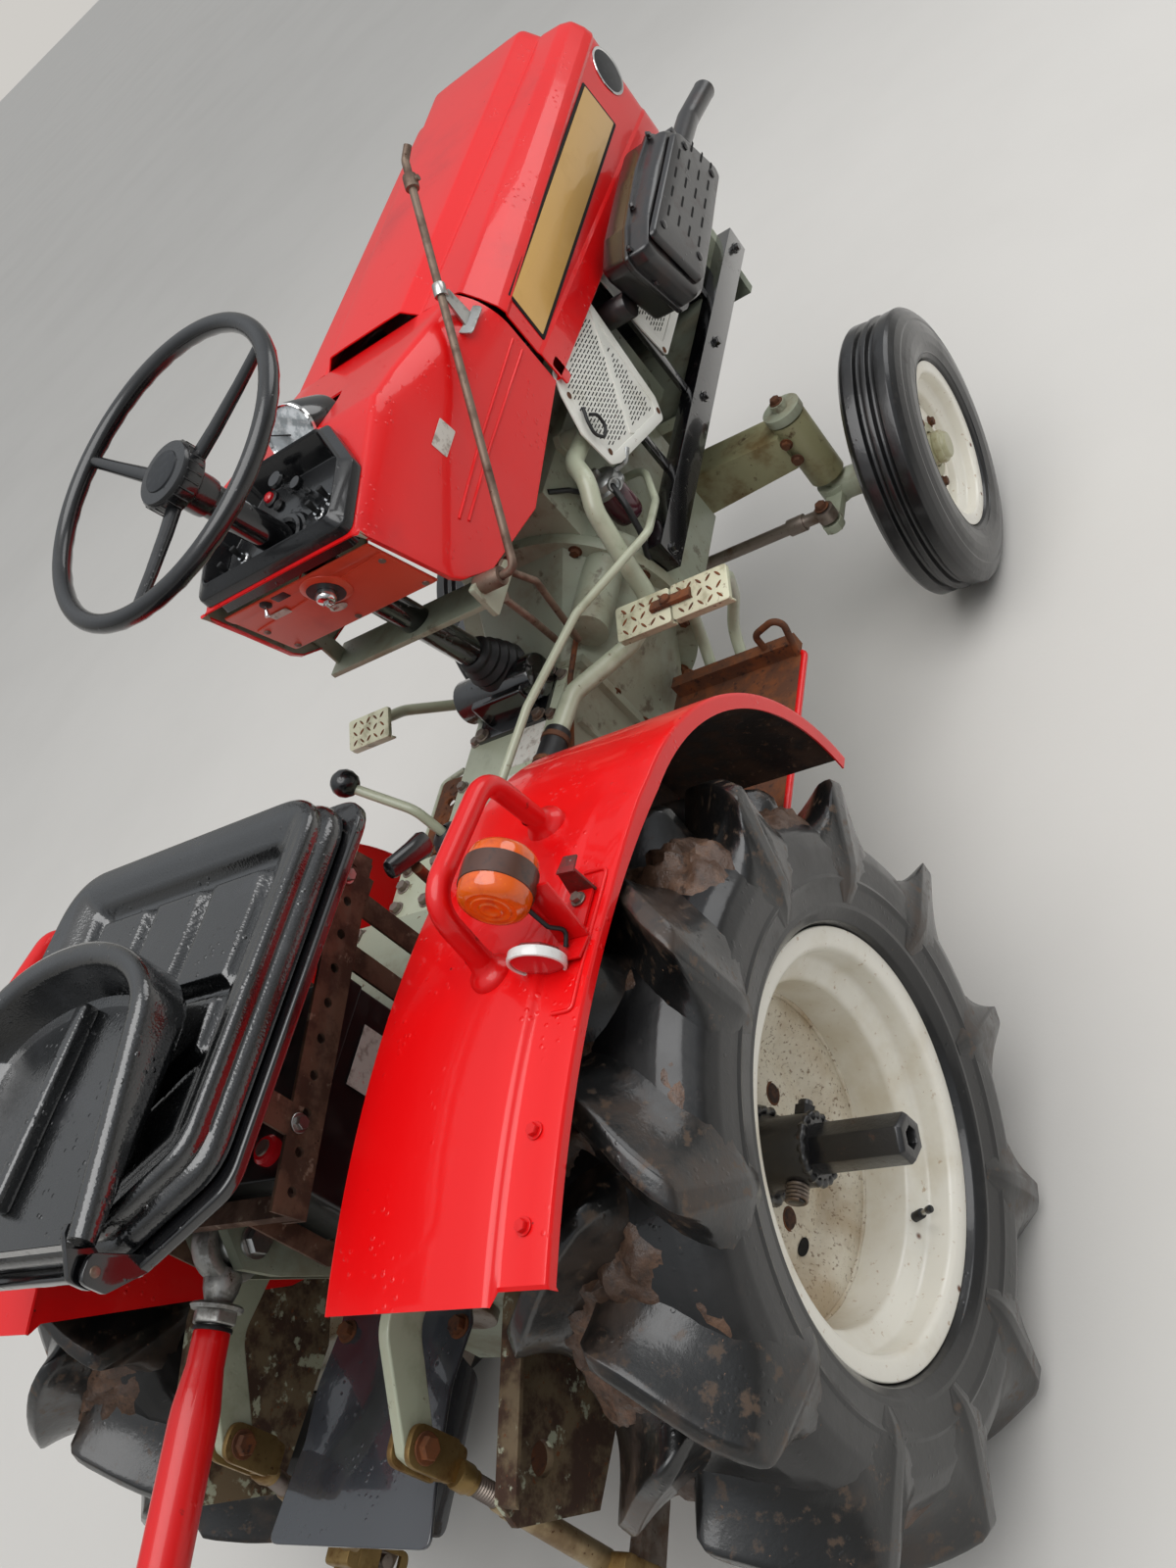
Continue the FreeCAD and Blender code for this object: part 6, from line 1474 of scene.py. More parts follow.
def fender_path():
    # The fender's side view from its rear edge to the front tip, each place with its outward direction.
    crown = arc_through((-300, 790), (-40, 817), (200, 785), 34)
    centre, start = (145, 454), math.atan2(785 - 454, 200 - 145)
    radius = math.hypot(785 - 454, 200 - 145)
    front = []
    for k in range(1, 31):
        a = between(start, math.radians(-1.4), k / 30)
        front.append((centre[0] + radius * math.cos(a), centre[1] + radius * math.sin(a)))
    points = crown + front
    path = []
    for i, (x, z) in enumerate(points):
        x0, z0 = points[max(i - 1, 0)]
        x1, z1 = points[min(i + 1, len(points) - 1)]
        size = math.hypot(x1 - x0, z1 - z0)
        path.append((Vector((x, 0, z)), Vector((-(z1 - z0) / size, 0, (x1 - x0) / size))))
    return path


FENDER_PATH = fender_path()


def fender_form(side):
    rings = []
    for index, (place, out) in enumerate(FENDER_PATH):
        # The pressed step is deep along the crown and fades before the front curve.
        step = 7 * (1 - min(1, max(0, (place.x - 60) / 110)))
        tail = 12 if index == 0 else 0
        across = [(226, 3.0), (227, 0.8), (229.5, 0), (300, 0), (380, 0), (403, 0), (406.5, step * 0.12),
                  (409, step * 0.5), (411.5, step * 0.88), (415, step), (440, step), (455, step + 0.2),
                  (458.4, step + 0.9), (459.8, step + 2.6), (460, step + 5), (460, 19)]
        ring = []
        for y, drop in across:
            lead = X * (tail if y > 409 else 0)
            ring.append(place - out * drop + Y * y + lead)
        rings.append(ring)
    top = skin(rings, closed=False, caps=False)
    # The inner wall, cut away slantwise behind the axle; its wheel side is under the spray, on a near-black base that
    # paints the shade there.
    upper = [place - out * 2.5 + Y * 227 for place, out in FENDER_PATH if place.z > 470]
    low = [Vector((p.x, 227, min(p.z - 2, 467.5 + max(0, -130 - p.x) * 2.0))) for p in upper]
    faces = []
    for y in (227, 229.2):
        rows = [[Vector((p.x, y, between(p.z, q.z, k / 6))) for p, q in zip(upper, low)] for k in range(7)]
        faces.append(rows)
    red_side, wet_side = (skin(rows, closed=False, caps=False) for rows in faces)
    bmesh.ops.recalc_face_normals(red_side, faces=red_side.faces)
    for form, way in ((red_side, -1), (wet_side, 1)):
        form.normal_update()
        if sum(face.normal.y for face in form.faces) * way < 0:
            bmesh.ops.reverse_faces(form, faces=form.faces)
    rim = skin([faces[0][-1], faces[1][-1]], closed=False, caps=False)
    return sided(top, side), sided(red_side, side), sided(wet_side, side), sided(rim, side)


def make_fender(name, side):
    extra = []
    feet = (Vector((166, 350, 797)), Vector((-12, 350, 819)))
    handle = tube([feet[0] - Z * 6, Vector((152, 358, 892)), Vector((0, 358, 912)), feet[1] - Z * 4], 11, 36, 24, 12)
    extra.append((sided(handle, side), red_tube_enamel))
    for foot in feet:
        lean = (Vector((76, 358, 900)) - foot).normalized()
        flare = turned([(0, -8), (21, -9), (21.4, -2), (20, 1.5), (16, 4.5), (13, 9), (11.8, 15), (11.2, 22)], foot,
                       between(Z, lean, 0.25).normalized(), 40)
        extra.append((sided(flare, side), red_tube_enamel))
    # Pressed rectangle behind the reflector and the L-shaped one before it.
    path = [(-66, 430), (-66, 451), (-36, 451)]
    raised = [(x, y, fender_height(x) - 6.4) for x, y in path]
    extra.append((sided(tube([Vector(p) for p in raised], 2.1, 6, 10, 3), side), red_enamel))
    path = [(84, 424), (84, 450), (40, 451), (-36, 451)]
    raised = [(x, y, fender_height(x) - step_here(x) + 0.6) for x, y in path]
    extra.append((sided(tube([Vector(p) for p in raised], 2.0, 8, 10, 3), side), red_enamel))
    # Bracket under the lamp: an upright strap, an angle tab and the strap's foot.
    strap = slab([(20, 424, 873), (20, 452, 873), (4, 455, 812), (4, 421, 812)], (3, 0, 0), 0.8)
    extra.append((sided(strap, side), red_tube_enamel))
    foot = slab([(4, 421, 811), (4, 455, 811), (-18, 452, 813.5), (-18, 424, 813.5)], (0, 0, 3), 0.8)
    extra.append((sided(foot, side), red_tube_enamel))
    tab = slab([(58, 418, 808), (58, 446, 806), (62, 442, 836), (62, 424, 838)], (2.6, 0, 0), 0.5)
    extra.append((sided(tab, side), rubbed_red))
    shelf = slab([(60, 424, 836), (60, 442, 834), (80, 440, 832), (80, 426, 834)], (0, 0, 2.4), 0.5)
    extra.append((sided(shelf, side), rubbed_red))
    cord_points = [Vector((4, 430, 864)), Vector((0, 434, 842)), Vector((6, 440, 826)), Vector((-6, 436, 818))]
    extra.append((sided(tube(cord_points, 2.2, 12, 10, 6), side), black_rubber))
    # Round reflector, white rim and red face, turned to the rear.
    face_way = Vector((-0.98, 0, -0.17)).normalized()
    stand = Vector((-22, 416, 828))
    extra.append((sided(turned([(0, -6), (24, -6), (26, -4.5), (26.6, 2), (26, 4.4), (24.4, 5), (23, 3.6)], stand,
                               face_way, 44), side), pale_enamel))
    # The red face glows faintly: painted light.
    extra.append((sided(turned([(23, 3.2), (18, 5), (9, 6), (0, 6.3)], stand, face_way, 44), side), red_lens))
    plate = turned([(0, -9), (22, -9), (23, -8), (23, -6.4), (22, -6), (0, -6)], stand, face_way, 8)
    extra.append((sided(plate, side), rubbed_red))
    top, red_wall, wet_wall, wall_rim = fender_form(side)
    extra += [(red_wall, red_enamel), (wet_wall, fender_underside), (wall_rim, red_enamel)]
    # The pressing's underside is near-black: painted shade under a spray of soil.
    centre = (60, side * 343, 560)
    sheet_piece("fender_" + name + "_pressing", [top], red_enamel, fender_underside, 2.2, "chassis",
                ("fender_" + name,), centre, extra)
    screws = [((place.x, side * 434, place.z - 6.8), out, X) for place, out in
              (FENDER_PATH[4], FENDER_PATH[9])]
    stamped("fender_bolts_" + name, "chassis", BOLT_SMALL, screws, red_tube_enamel, 0.8, 2.0)


def fender_height(x):
    for (a, b) in zip(FENDER_PATH, FENDER_PATH[1:]):
        if a[0].x <= x <= b[0].x:
            return between(a[0].z, b[0].z, (x - a[0].x) / max(b[0].x - a[0].x, 0.01))
    return FENDER_PATH[0][0].z


def step_here(x):
    return 7 * (1 - min(1, max(0, (x - 60) / 110)))


def make_turn_lamps():
    piece = Piece("turn_lamp_lenses")
    for name, side in SIDES:
        centre = Vector((22, 412, 890))
        shell = [(0, -30.2), (5, -29.8), (6, -30.4), (9, -30.4), (10, -29.6), (13, -29.4), (14, -30), (17, -29.8),
                 (18, -28.8), (21.5, -28.4), (22.5, -28.8), (26, -27.6), (29.5, -25), (31.6, -21), (32.4, -14), (32.8, -11)]
        for way in (1, -1):
            # The lens's pale orange flecks are painted highlight.
            lens = turned([(r, along) for r, along in shell], centre, X * way, 56)
            piece.add(sided(lens, side), amber_lens)
        band = turned([(32.6, -12), (33.6, -11.4), (33.8, 0), (33.6, 11.4), (32.6, 12), (30, 12), (30, -12)], centre, X,
                      56, ring=True)
        piece.add(sided(band, side), brown_band)
        post = slab([(10, 424, 866), (34, 424, 866), (34, 424, 806), (10, 424, 806)], (0, 4, 0), 0.8)
        piece.add(sided(post, side), red_tube_enamel)
        foot = slab([(10, 420, 809), (66, 420, 807), (66, 444, 806), (10, 444, 808)], (0, 0, 3.4), 0.8)
        piece.add(sided(foot, side), red_tube_enamel)
    piece.done("chassis", "turn_lamps")
    places = [((x, side * 432, 811.5), Z, X) for name, side in SIDES for x in (48,)]
    stamped("turn_lamp_bolts", "chassis", BOLT_SMALL, places, worn_steel, 0.8, 2.0)


# Muffler, side grilles, frame

def make_muffler():
    piece = Piece("muffler_box")
    outline = [(1200, 832), (1262, 848), (1400, 858), (1500, 860), (1520, 848), (1570, 750), (1573, 734), (1556, 718),
               (1440, 704), (1262, 697), (1240, 706), (1198, 812)]
    radii = [8, 20, 30, 14, 14, 14, 10, 12, 30, 14, 12, 10]
    middle = Vector((1388, 0, 780))

    def ring(y, inset):
        points = rounded([Vector((x, 0, z)) for x, z in outline], radii, 4)
        placed = []
        for p in points:
            lean = p - middle
            share = 1 - inset / lean.length
            q = middle + lean * share
            placed.append(Vector((q.x, y, q.z)))
        return placed

    piece.add(skin([ring(-217, 16), ring(-217, 9), ring(-220, 4), ring(-226, 1), ring(-260, 0)]), muffler_black)
    piece.add(skin([ring(-270, 0), ring(-288, 1), ring(-296, 4), ring(-300.5, 10), ring(-301, 18)]), muffler_black)
    flange = [ring(-260, 0.5), ring(-261, -7), ring(-262.5, -8.4), ring(-268.5, -8.4), ring(-270, -7), ring(-270, 0.5)]
    piece.add(skin(flange, caps=False), muffler_black)
    # Shield plate over the outer face, standing on four posts.
    shield = [(1226, 834), (1486, 846), (1502, 838), (1548, 746), (1540, 734), (1276, 716), (1262, 722)]
    plate = rounded([Vector((x, -310, z)) for x, z in shield], [10, 14, 12, 12, 10, 10, 10], 4)
    centre = Vector((1385, 0, 781))

    def grown(points, y, grow):
        placed = []
        for p in points:
            lean = Vector((p.x, 0, p.z)) - centre
            q = centre + lean * (1 + grow / lean.length)
            placed.append(Vector((q.x, y, q.z)))
        return placed

    piece.add(skin([grown(plate, -304, 6), grown(plate, -309, 5), grown(plate, -312, 1.5), grown(plate, -313, -3),
                    grown(plate, -313.2, -60)]), muffler_black)
    for x, z in ((1262, 822), (1492, 822), (1300, 736), (1520, 752)):
        piece.add(turned([(0, 0), (7, 0), (7.5, 2), (5, 3.4), (0, 3.8)], (x, -312.6, z), -Y, 20), muffler_black)
    # The louvre slots are thin near-black slabs on the plate: painted shade in the openings.
    for row, count in ((0, 4), (1, 5), (2, 5), (3, 5)):
        for k in range(count):
            x = 1292 + row * 8 + k * 50
            z = 820 - row * 25 + k * 3.4
            slot = rounded([Vector((x, -313.3, z)), Vector((x + 26, -313.3, z + 1.8)),
                            Vector((x + 26, -313.3, z - 2.2)), Vector((x, -313.3, z - 4))], 2, 3)
            piece.add(slab(slot, (0, -0.35, 0), 0, 1), black_and_painted_shade)
    # Inlet from the engine, clamp, and the tail pipe, cut slantwise.
    piece.add(bar((1215, -93, 762), (1215, -218, 762), 21, 36), muffler_black)
    piece.add(turned([(21, 0), (36, 0), (37, 2), (37, 8), (36, 10), (21, 10)], (1215, -104, 762), Y, 6, ring=True),
              rusty_steel)
    tail = [Vector((1470, -262, 790)), Vector((1600, -262, 789)), Vector((1690, -262, 788)),
            Vector((1790, -276, 782))]
    piece.add(tube(tail, 18.6, 60, 36, 10, ends=False), muffler_black)
    # The pipe's inside is near-black: soot, and painted shade deeper in.
    piece.add(tube(tail, 16.6, 60, 36, 10, ends=False), black_and_painted_shade)
    piece.add(turned([(16.6, 0), (18.6, 0), (19, 1.4), (18.4, 3), (16.8, 3)], (1787, -275.6, 782.2), (0.99, -0.14, -0.05),
                     36, ring=True), muffler_black)
    piece.add(turned([(18.6, 0), (22.6, 0.6), (23, 2), (23, 12), (22.6, 13.4), (18.6, 14)], (1577, -262, 789), X, 36,
                     ring=True), muffler_black)
    lug = slab([(1577, -250, 810), (1591, -250, 810), (1591, -250, 826), (1577, -250, 826)], (0, -24, 0), 1.5)
    piece.add(lug, muffler_black)
    piece.done("chassis", "muffler")
    seam = []
    for x, z in ((1208, 838), (1300, 856), (1496, 866), (1548, 800), (1500, 706), (1300, 694), (1214, 770)):
        seam.append(((x, -270.6, z), -Y, X))
    stamped("muffler_seam_bolts", "chassis", BOLT_SMALL, [p for p in seam], muffler_black, 0.7, 3.0)


GRILLE_REAR = [(968, 838), (948, 812), (924, 758), (932, 690), (955, 674), (1128, 612), (1150, 640), (1176, 842)]
GRILLE_FRONT = [(1238, 848), (1250, 700), (1262, 636), (1500, 632), (1560, 660), (1560, 842)]


def panel_form(outline, side, round_off, y=187.0, rise=3.0):
    # A pressed panel: flat back, rolled rim.
    path = rounded([Vector((x, y, z)) for x, z in outline], round_off, 4)
    return sided(slab(path, (0, rise, 0), 1.1, 3), side)


def frame_form(outer, inner, side, y, rise, edge=1.0):
    # A raised frame between two outlines of equal count.
    low_out = [Vector((x, y, z)) for x, z in outer]
    low_in = [Vector((x, y, z)) for x, z in inner]
    lift = Y * rise
    form = skin([low_out, [p + lift for p in low_out], [p + lift for p in low_in], low_in], caps=False, loop=True)
    return sided(edged(form, edge, 2, 30), side)


def shrunk_outline(points, amount):
    # Each corner moved inwards by its two edges; corners run clockwise or counter-clockwise.
    count = len(points)
    area = sum(points[i][0] * points[(i + 1) % count][1] - points[(i + 1) % count][0] * points[i][1]
               for i in range(count))
    turn = 1 if area > 0 else -1
    moved = []
    for i in range(count):
        p0, p1, p2 = (Vector((*points[j % count], 0)) for j in (i - 1, i, i + 1))
        a, b = (p1 - p0).normalized(), (p2 - p1).normalized()
        na, nb = Vector((-a.y, a.x, 0)) * turn, Vector((-b.y, b.x, 0)) * turn
        bend = (na + nb)
        bend = bend / max(bend.length_squared / 2, 0.3)
        q = p1 + bend * amount
        moved.append((q.x, q.y))
    return moved


def inside(outline, x, z):
    hit = False
    count = len(outline)
    for i in range(count):
        (x0, z0), (x1, z1) = outline[i], outline[(i + 1) % count]
        if (z0 > z) != (z1 > z) and x < x0 + (z - z0) * (x1 - x0) / (z1 - z0):
            hit = not hit
    return hit


# Each perforation is a thin near-black slot laid on the grille panel: painted shade in the hole.
PERFORATION = pattern_object("grille_slot", slab(rounded([Vector((-5.2, -0.9, 0)), Vector((5.2, -0.9, 0)),
                                                          Vector((5.2, 0.9, 0)), Vector((-5.2, 0.9, 0))], 0.8, 2),
                                                 (0, 0, 0.3), 0, 1))


def make_grilles():
    piece = Piece("side_grille_panels")
    for name, side in SIDES:
        for number, outline in enumerate((GRILLE_REAR, GRILLE_FRONT)):
            piece.add(panel_form(outline, side, 12, 187.0, 1.6), white_enamel)
            inner = shrunk_outline(outline, 17)
            soft_out = [(p.x, p.y) for p in rounded([Vector((x, z, 0)) for x, z in outline], 12, 4)]
            soft_in = [(p.x, p.y) for p in rounded([Vector((x, z, 0)) for x, z in inner], 12, 4)]
            piece.add(frame_form(soft_out, soft_in, side, 187.2, 2.8, 0.9), white_enamel)
        ribs = [((1176, 812), (1132, 640)), ((1160, 806), (1030, 668))]
        for (x0, z0), (x1, z1) in ribs[1:]:
            rib = tube([Vector((x0, 188.6, z0)), Vector((x1, 188.6, z1))], 6.0, 5, 12, 2)
            for vert in rib.verts:
                vert.co.y = min(vert.co.y, 190.4)
            piece.add(sided(rib, side), white_enamel)
        for (x, z) in ((962, 800), (950, 700), (1130, 628), (1168, 836), (1252, 842), (1548, 836), (1548, 664), (1266, 646)):
            hole = turned([(0, 0), (5, 0), (5.4, 0.4), (0, 0.5)], (x, side * 190, z), (0, side, 0), 20)
            piece.add(hole, rusty_steel)
    # A wire clip hangs from the panel's corner on the right.
    clip = [Vector((966, -192, 772)), Vector((950, -194, 760)), Vector((938, -196, 742)), Vector((950, -198, 724)),
            Vector((972, -198, 728)), Vector((976, -197, 748)), Vector((962, -196, 760))]
    piece.add(tube(clip, 2.6, 12, 12, 6), black_rubber)
    piece.done("chassis", "side_grilles")
    for name, side in SIDES:
        places = []
        for outline, slope, splits in ((GRILLE_REAR, -0.14, True), (GRILLE_FRONT, -0.05, False)):
            inner = shrunk_outline(outline, 24)
            along = Vector((1, 0, slope)).normalized()
            for row in range(44):
                for column in range(26):
                    x = 930 + column * 14.2 + (row % 2) * 7.1 + (300 if not splits else 0)
                    z = 850 - row * 5.6 + (x - 930) * slope
                    if not all(inside(inner, x + dx, z) for dx in (-6, 6)):
                        continue
                    if splits and abs((x - 1160) - (z - 806) * (130 / 138)) / 1.376 < 11:
                        continue
                    places.append(((x, side * 188.65, z), (0, side, 0), along))
        # The slots are near-black: painted shade in the perforations.
        stamped("grille_slots_" + name, "chassis", PERFORATION, places, black_and_painted_shade, 1.0, 0.0)


# Seat

def smooth_step(value):
    value = max(0.0, min(1.0, value))
    return value * value * (3 - 2 * value)


def seat_outline_share(x, y):
    # Distance in millimetres inside the cushion's outline, by its edges.
    half, rear, front = 212, -296, 152
    distances = [half - abs(y), x - rear, front - x]
    # Slanting rear corners.
    dx, dy = 66, 90
    size = math.hypot(dx, dy)
    distances.append(((x - rear) * dy / size + (half - abs(y)) * dx / size) - dx * dy / size)
    return min(distances), distances


def cushion_height(x, y):
    # A dished pad: rolled rim, a welt band round two rows of three pressed blocks.
    edge, parts = seat_outline_share(x, y)
    z = 941 + 5 * smooth_step((x - 30) / 130) + 14 * smooth_step((62 - edge) / 36)
    rise = 0
    for x0, x1 in ((-166, -56), (-44, 84)):
        for y0, y1 in ((-138, -52), (-41, 41), (52, 138)):
            corner = (x + 166) * 0.77 + (138 - abs(y)) * 0.64 - 40 if x0 < -100 and abs(y0 + y1) > 100 else 99
            rise = max(rise, smooth_step(min(x - x0, x1 - x, y - y0, y1 - y, corner) / 9 + 0.25))
    band = min(x + 176, 94 - x, 148 - abs(y), (x + 176) * 0.77 + (148 - abs(y)) * 0.64 - 40)
    if band < 0:
        rise = max(rise, smooth_step(-band / 7))
    return z + 12 * rise - 12


def make_seat():
    piece = Piece("seat_cushion")
    half, rear, front = 212, -296, 152
    outline = rounded([Vector((rear, -(half - 90), 0)), Vector((rear + 66, -half, 0)), Vector((front, -half, 0)),
                       Vector((front, half, 0)), Vector((rear + 66, half, 0)), Vector((rear, half - 90, 0))],
                      [34, 50, 58, 58, 50, 34], 12)
    # The outline resampled evenly, then drawn in rings towards the middle.
    lengths = [0.0]
    for a, b in zip(outline, outline[1:] + outline[:1]):
        lengths.append(lengths[-1] + (b - a).length)
    count = 220
    even = []
    for k in range(count):
        want = lengths[-1] * k / count
        i = max(j for j in range(len(outline)) if lengths[j] <= want)
        a, b = outline[i], outline[(i + 1) % len(outline)]
        even.append(a + (b - a) * ((want - lengths[i]) / max((b - a).length, 0.001)))
    middle = Vector((-66, 0, 0))
    rings = []
    for out, z in ((0.962, 917.6), (0.985, 918.4), (0.998, 921), (1.0, 926), (0.998, 932), (0.988, 937), (0.975, 939.5),
                   (0.966, 941), (0.968, 944), (0.972, 948), (0.971, 952.5), (0.963, 956.5), (0.948, 959)):
        rings.append([Vector((*(middle + (p - middle) * out).xy, z)) for p in even])
    top_edge = 0.948
    inner_count = 64
    for k in range(1, inner_count + 1):
        share = top_edge * (1 - k / inner_count)
        ring = []
        for p in even:
            q = middle + (p - middle) * share
            blend_in = smooth_step((k - 0) / 4)
            ring.append(Vector((q.x, q.y, min(959.6, between(959, cushion_height(q.x, q.y), blend_in)))))
        rings.append(ring)
    cushion = skin(rings, caps=False)
    bottom = bmesh.new()
    bottom.faces.new([bottom.verts.new(p) for p in reversed(rings[0])])
    piece.add(cushion, seat_skin)
    piece.add(bottom, seat_skin)
    # The pan's rolled steel edge and its two ears.
    plan = rounded([Vector((-306, -132, 905)), Vector((-240, -222, 905)), Vector((162, -222, 905)),
                    Vector((162, 222, 905)), Vector((-240, 222, 905)), Vector((-306, 132, 905))], [30, 40, 44, 44, 40, 30], 8)
    piece.add(edged(skin([plan, [p + Z * 12 for p in plan]]), 3.5, 3), black_enamel)
    for name, side in SIDES:
        ear = slab(rounded([Vector((x, 132, z)) for x, z in ((-300, 905), (-330, 936), (-330, 962), (-306, 962),
                                                             (-290, 917))], [2, 6, 10, 10, 4], 4), (0, 6, 0), 1)
        piece.add(sided(ear, side), black_enamel)
        pin = bar((-318, 118, 952), (-318, 139, 952), 5, 20)
        piece.add(sided(pin, side), worn_steel)
    piece.done("chassis", "seat_pan", angle=60, padded=0.6)


def backrest_top(x):
    return between(986, 1032, (x + 310) / 290)


def make_backrest():
    piece = Piece("backrest_moulding")
    low = 965.5

    def plan(inset, steps=40):
        # The U seen from above, open end to the rear.
        halfw, tip, straight = 155 - inset, -28 - inset, -120
        points = []
        for k in range(steps + 1):
            a = math.pi / 2 * (1 - 2 * k / steps)
            reach = tip - straight
            points.append(Vector((straight + reach * math.cos(a), halfw * math.sin(a), 0)))
        left = [Vector((between(-304, straight, k / 12), halfw, 0)) for k in range(12)]
        right = [Vector((between(straight, -304, k / 12), -halfw, 0)) for k in range(1, 13)]
        return left + points + right

    def at_height(points, height):
        return [Vector((p.x, p.y, height(p.x))) for p in points]

    rings = [at_height(plan(9), lambda x: low), at_height(plan(2.5), lambda x: low + 3),
             at_height(plan(0), lambda x: low + 10), at_height(plan(0), lambda x: backrest_top(x) - 10),
             at_height(plan(2.2), lambda x: backrest_top(x) - 3.5), at_height(plan(7), lambda x: backrest_top(x) - 0.6),
             at_height(plan(12), lambda x: backrest_top(x)), at_height(plan(17), lambda x: backrest_top(x) - 0.6),
             at_height(plan(21.8), lambda x: backrest_top(x) - 3.5), at_height(plan(24), lambda x: backrest_top(x) - 10),
             at_height(plan(26), lambda x: between(backrest_top(x), low + 10, 0.6)),
             at_height(plan(32), lambda x: low + 13), at_height(plan(42), lambda x: low + 10)]
    shell = skin(rings, closed=False, caps=False)
    piece.add(shell, seat_skin)
    # The hollow's floor and underside, closed at the rear.
    for inset, height in ((42, low + 10), (9, low)):
        flat = bmesh.new()
        flat.faces.new([flat.verts.new(Vector((p.x, p.y, height))) for p in plan(inset)])
        piece.add(flat, seat_skin)
    ends = []
    for index in (0, -1):
        end = bmesh.new()
        corners = [ring[index] for ring in rings]
        end.faces.new([end.verts.new(p) for p in corners])
        ends.append(end)
    for end in ends:
        piece.add(end, seat_skin)
    back = slab([(-304, -113, low), (-304, 113, low), (-304, 113, low + 10), (-304, -113, low + 10)], (0.6, 0, 0), 0)
    piece.add(back, seat_skin)
    piece.add(block(-270, -70, -9, 9, low + 8, low + 26, 6, 3), seat_skin)
    for name, side in SIDES:
        knuckle = slab(rounded([Vector((x, 121, z)) for x, z in ((-330, 940), (-330, 964), (-298, 984), (-290, 984),
                                                                 (-290, low + 2), (-306, 940))], [8, 8, 3, 2, 3, 8], 3),
                       (0, 6, 0), 1)
        piece.add(sided(knuckle, side), black_enamel)
    piece.done("backrest", "seat_backrest", angle=50, padded=0.6)


# Pedals, levers, footboards, battery

def raised_tread(centre, ahead, across, up, length, width, surface_rows=5):
    # Diamond bars of rolled tread plate in alternating slants.
    bars = []
    rows = int(length // 15)
    columns = int(width // 15)
    for row in range(rows):
        for column in range(columns):
            spot = (centre + ahead * ((row - (rows - 1) / 2) * 15) + across * ((column - (columns - 1) / 2) * 15))
            slant = (ahead + across * (1 if (row + column) % 2 else -1)).normalized()
            side_way = up.cross(slant)
            lozenge = [spot + slant * (6.6 * math.cos(b)) + side_way * (1.9 * math.sin(b))
                       for b in (2 * math.pi * k / 10 for k in range(10))]
            top = [p + (spot - p) * 0.45 + up * 1.5 for p in lozenge]
            bars.append(skin([lozenge, top]))
    return bars


def pedal_parts(pad, root, side):
    forms = []
    lean = math.radians(24)
    ahead = Vector((math.cos(lean), 0, math.sin(lean)))
    up = Vector((-math.sin(lean), 0, math.cos(lean)))
    centre = pad + Z * 4.5
    pad_form = []
    for a, b in ((-25, -44), (25, -44), (25, 44), (-25, 44)):
        pad_form.append(pad + ahead * a + Y * b)
    plate = slab(rounded(pad_form, 5, 3), up * 7, 1)
    forms.append((sided(plate, side), tread_plate))
    skirt = slab([pad + ahead * -25 + Y * -44, pad + ahead * -25 + Y * 44, pad + ahead * -25 + Y * 44 - up * 9,
                  pad + ahead * -25 + Y * -44 - up * 9], ahead * 3, 0.8)
    forms.append((sided(skirt, side), tread_plate))
    for bar_form in raised_tread(pad + up * 6.8, ahead, Y, up, 48, 86):
        forms.append((sided(bar_form, side), rusty_steel))
    arm = tube([pad + Vector((6, 0, 6)), pad + Vector((76, 0, -44)), Vector((822, (pad.y + root.y) / 2, 478)),
                Vector((838, root.y, 410)), root], 9, 44, 22, 8)
    forms.append((sided(arm, side), green_paint))
    sleeve = turned([(11, -15), (17, -15), (18, -14), (18, 14), (17, 15), (11, 15)], root, Y, 32, ring=True)
    forms.append((sided(sleeve, side), green_paint))
    return forms


def make_pedals():
    piece = Piece("pedal_pads_and_arms")
    shaft = Vector((794, 0, 364))
    for pad, root_y, side in ((Vector((688, 231, 600)), 172, -1), (Vector((688, 322, 600)), 226, -1),
                              (Vector((688, 300, 600)), 200, 1)):
        for form, surface in pedal_parts(pad, Vector((shaft.x, root_y, shaft.z)), side):
            piece.add(form, surface)
    piece.add(bar((794, -126, 364), (794, -246, 364), 11, 24), green_paint)
    piece.add(bar((794, 126, 364), (794, 230, 364), 11, 24), green_paint)
    piece.add(block(680, 696, -310, -246, 606, 613, 1.5), rusty_steel)
    piece.add(turned([(0, 0), (8, 0), (8, 5), (6, 7), (0, 7)], (688, -272, 612), Z, 24), rusty_steel)
    piece.done("chassis", "pedals")


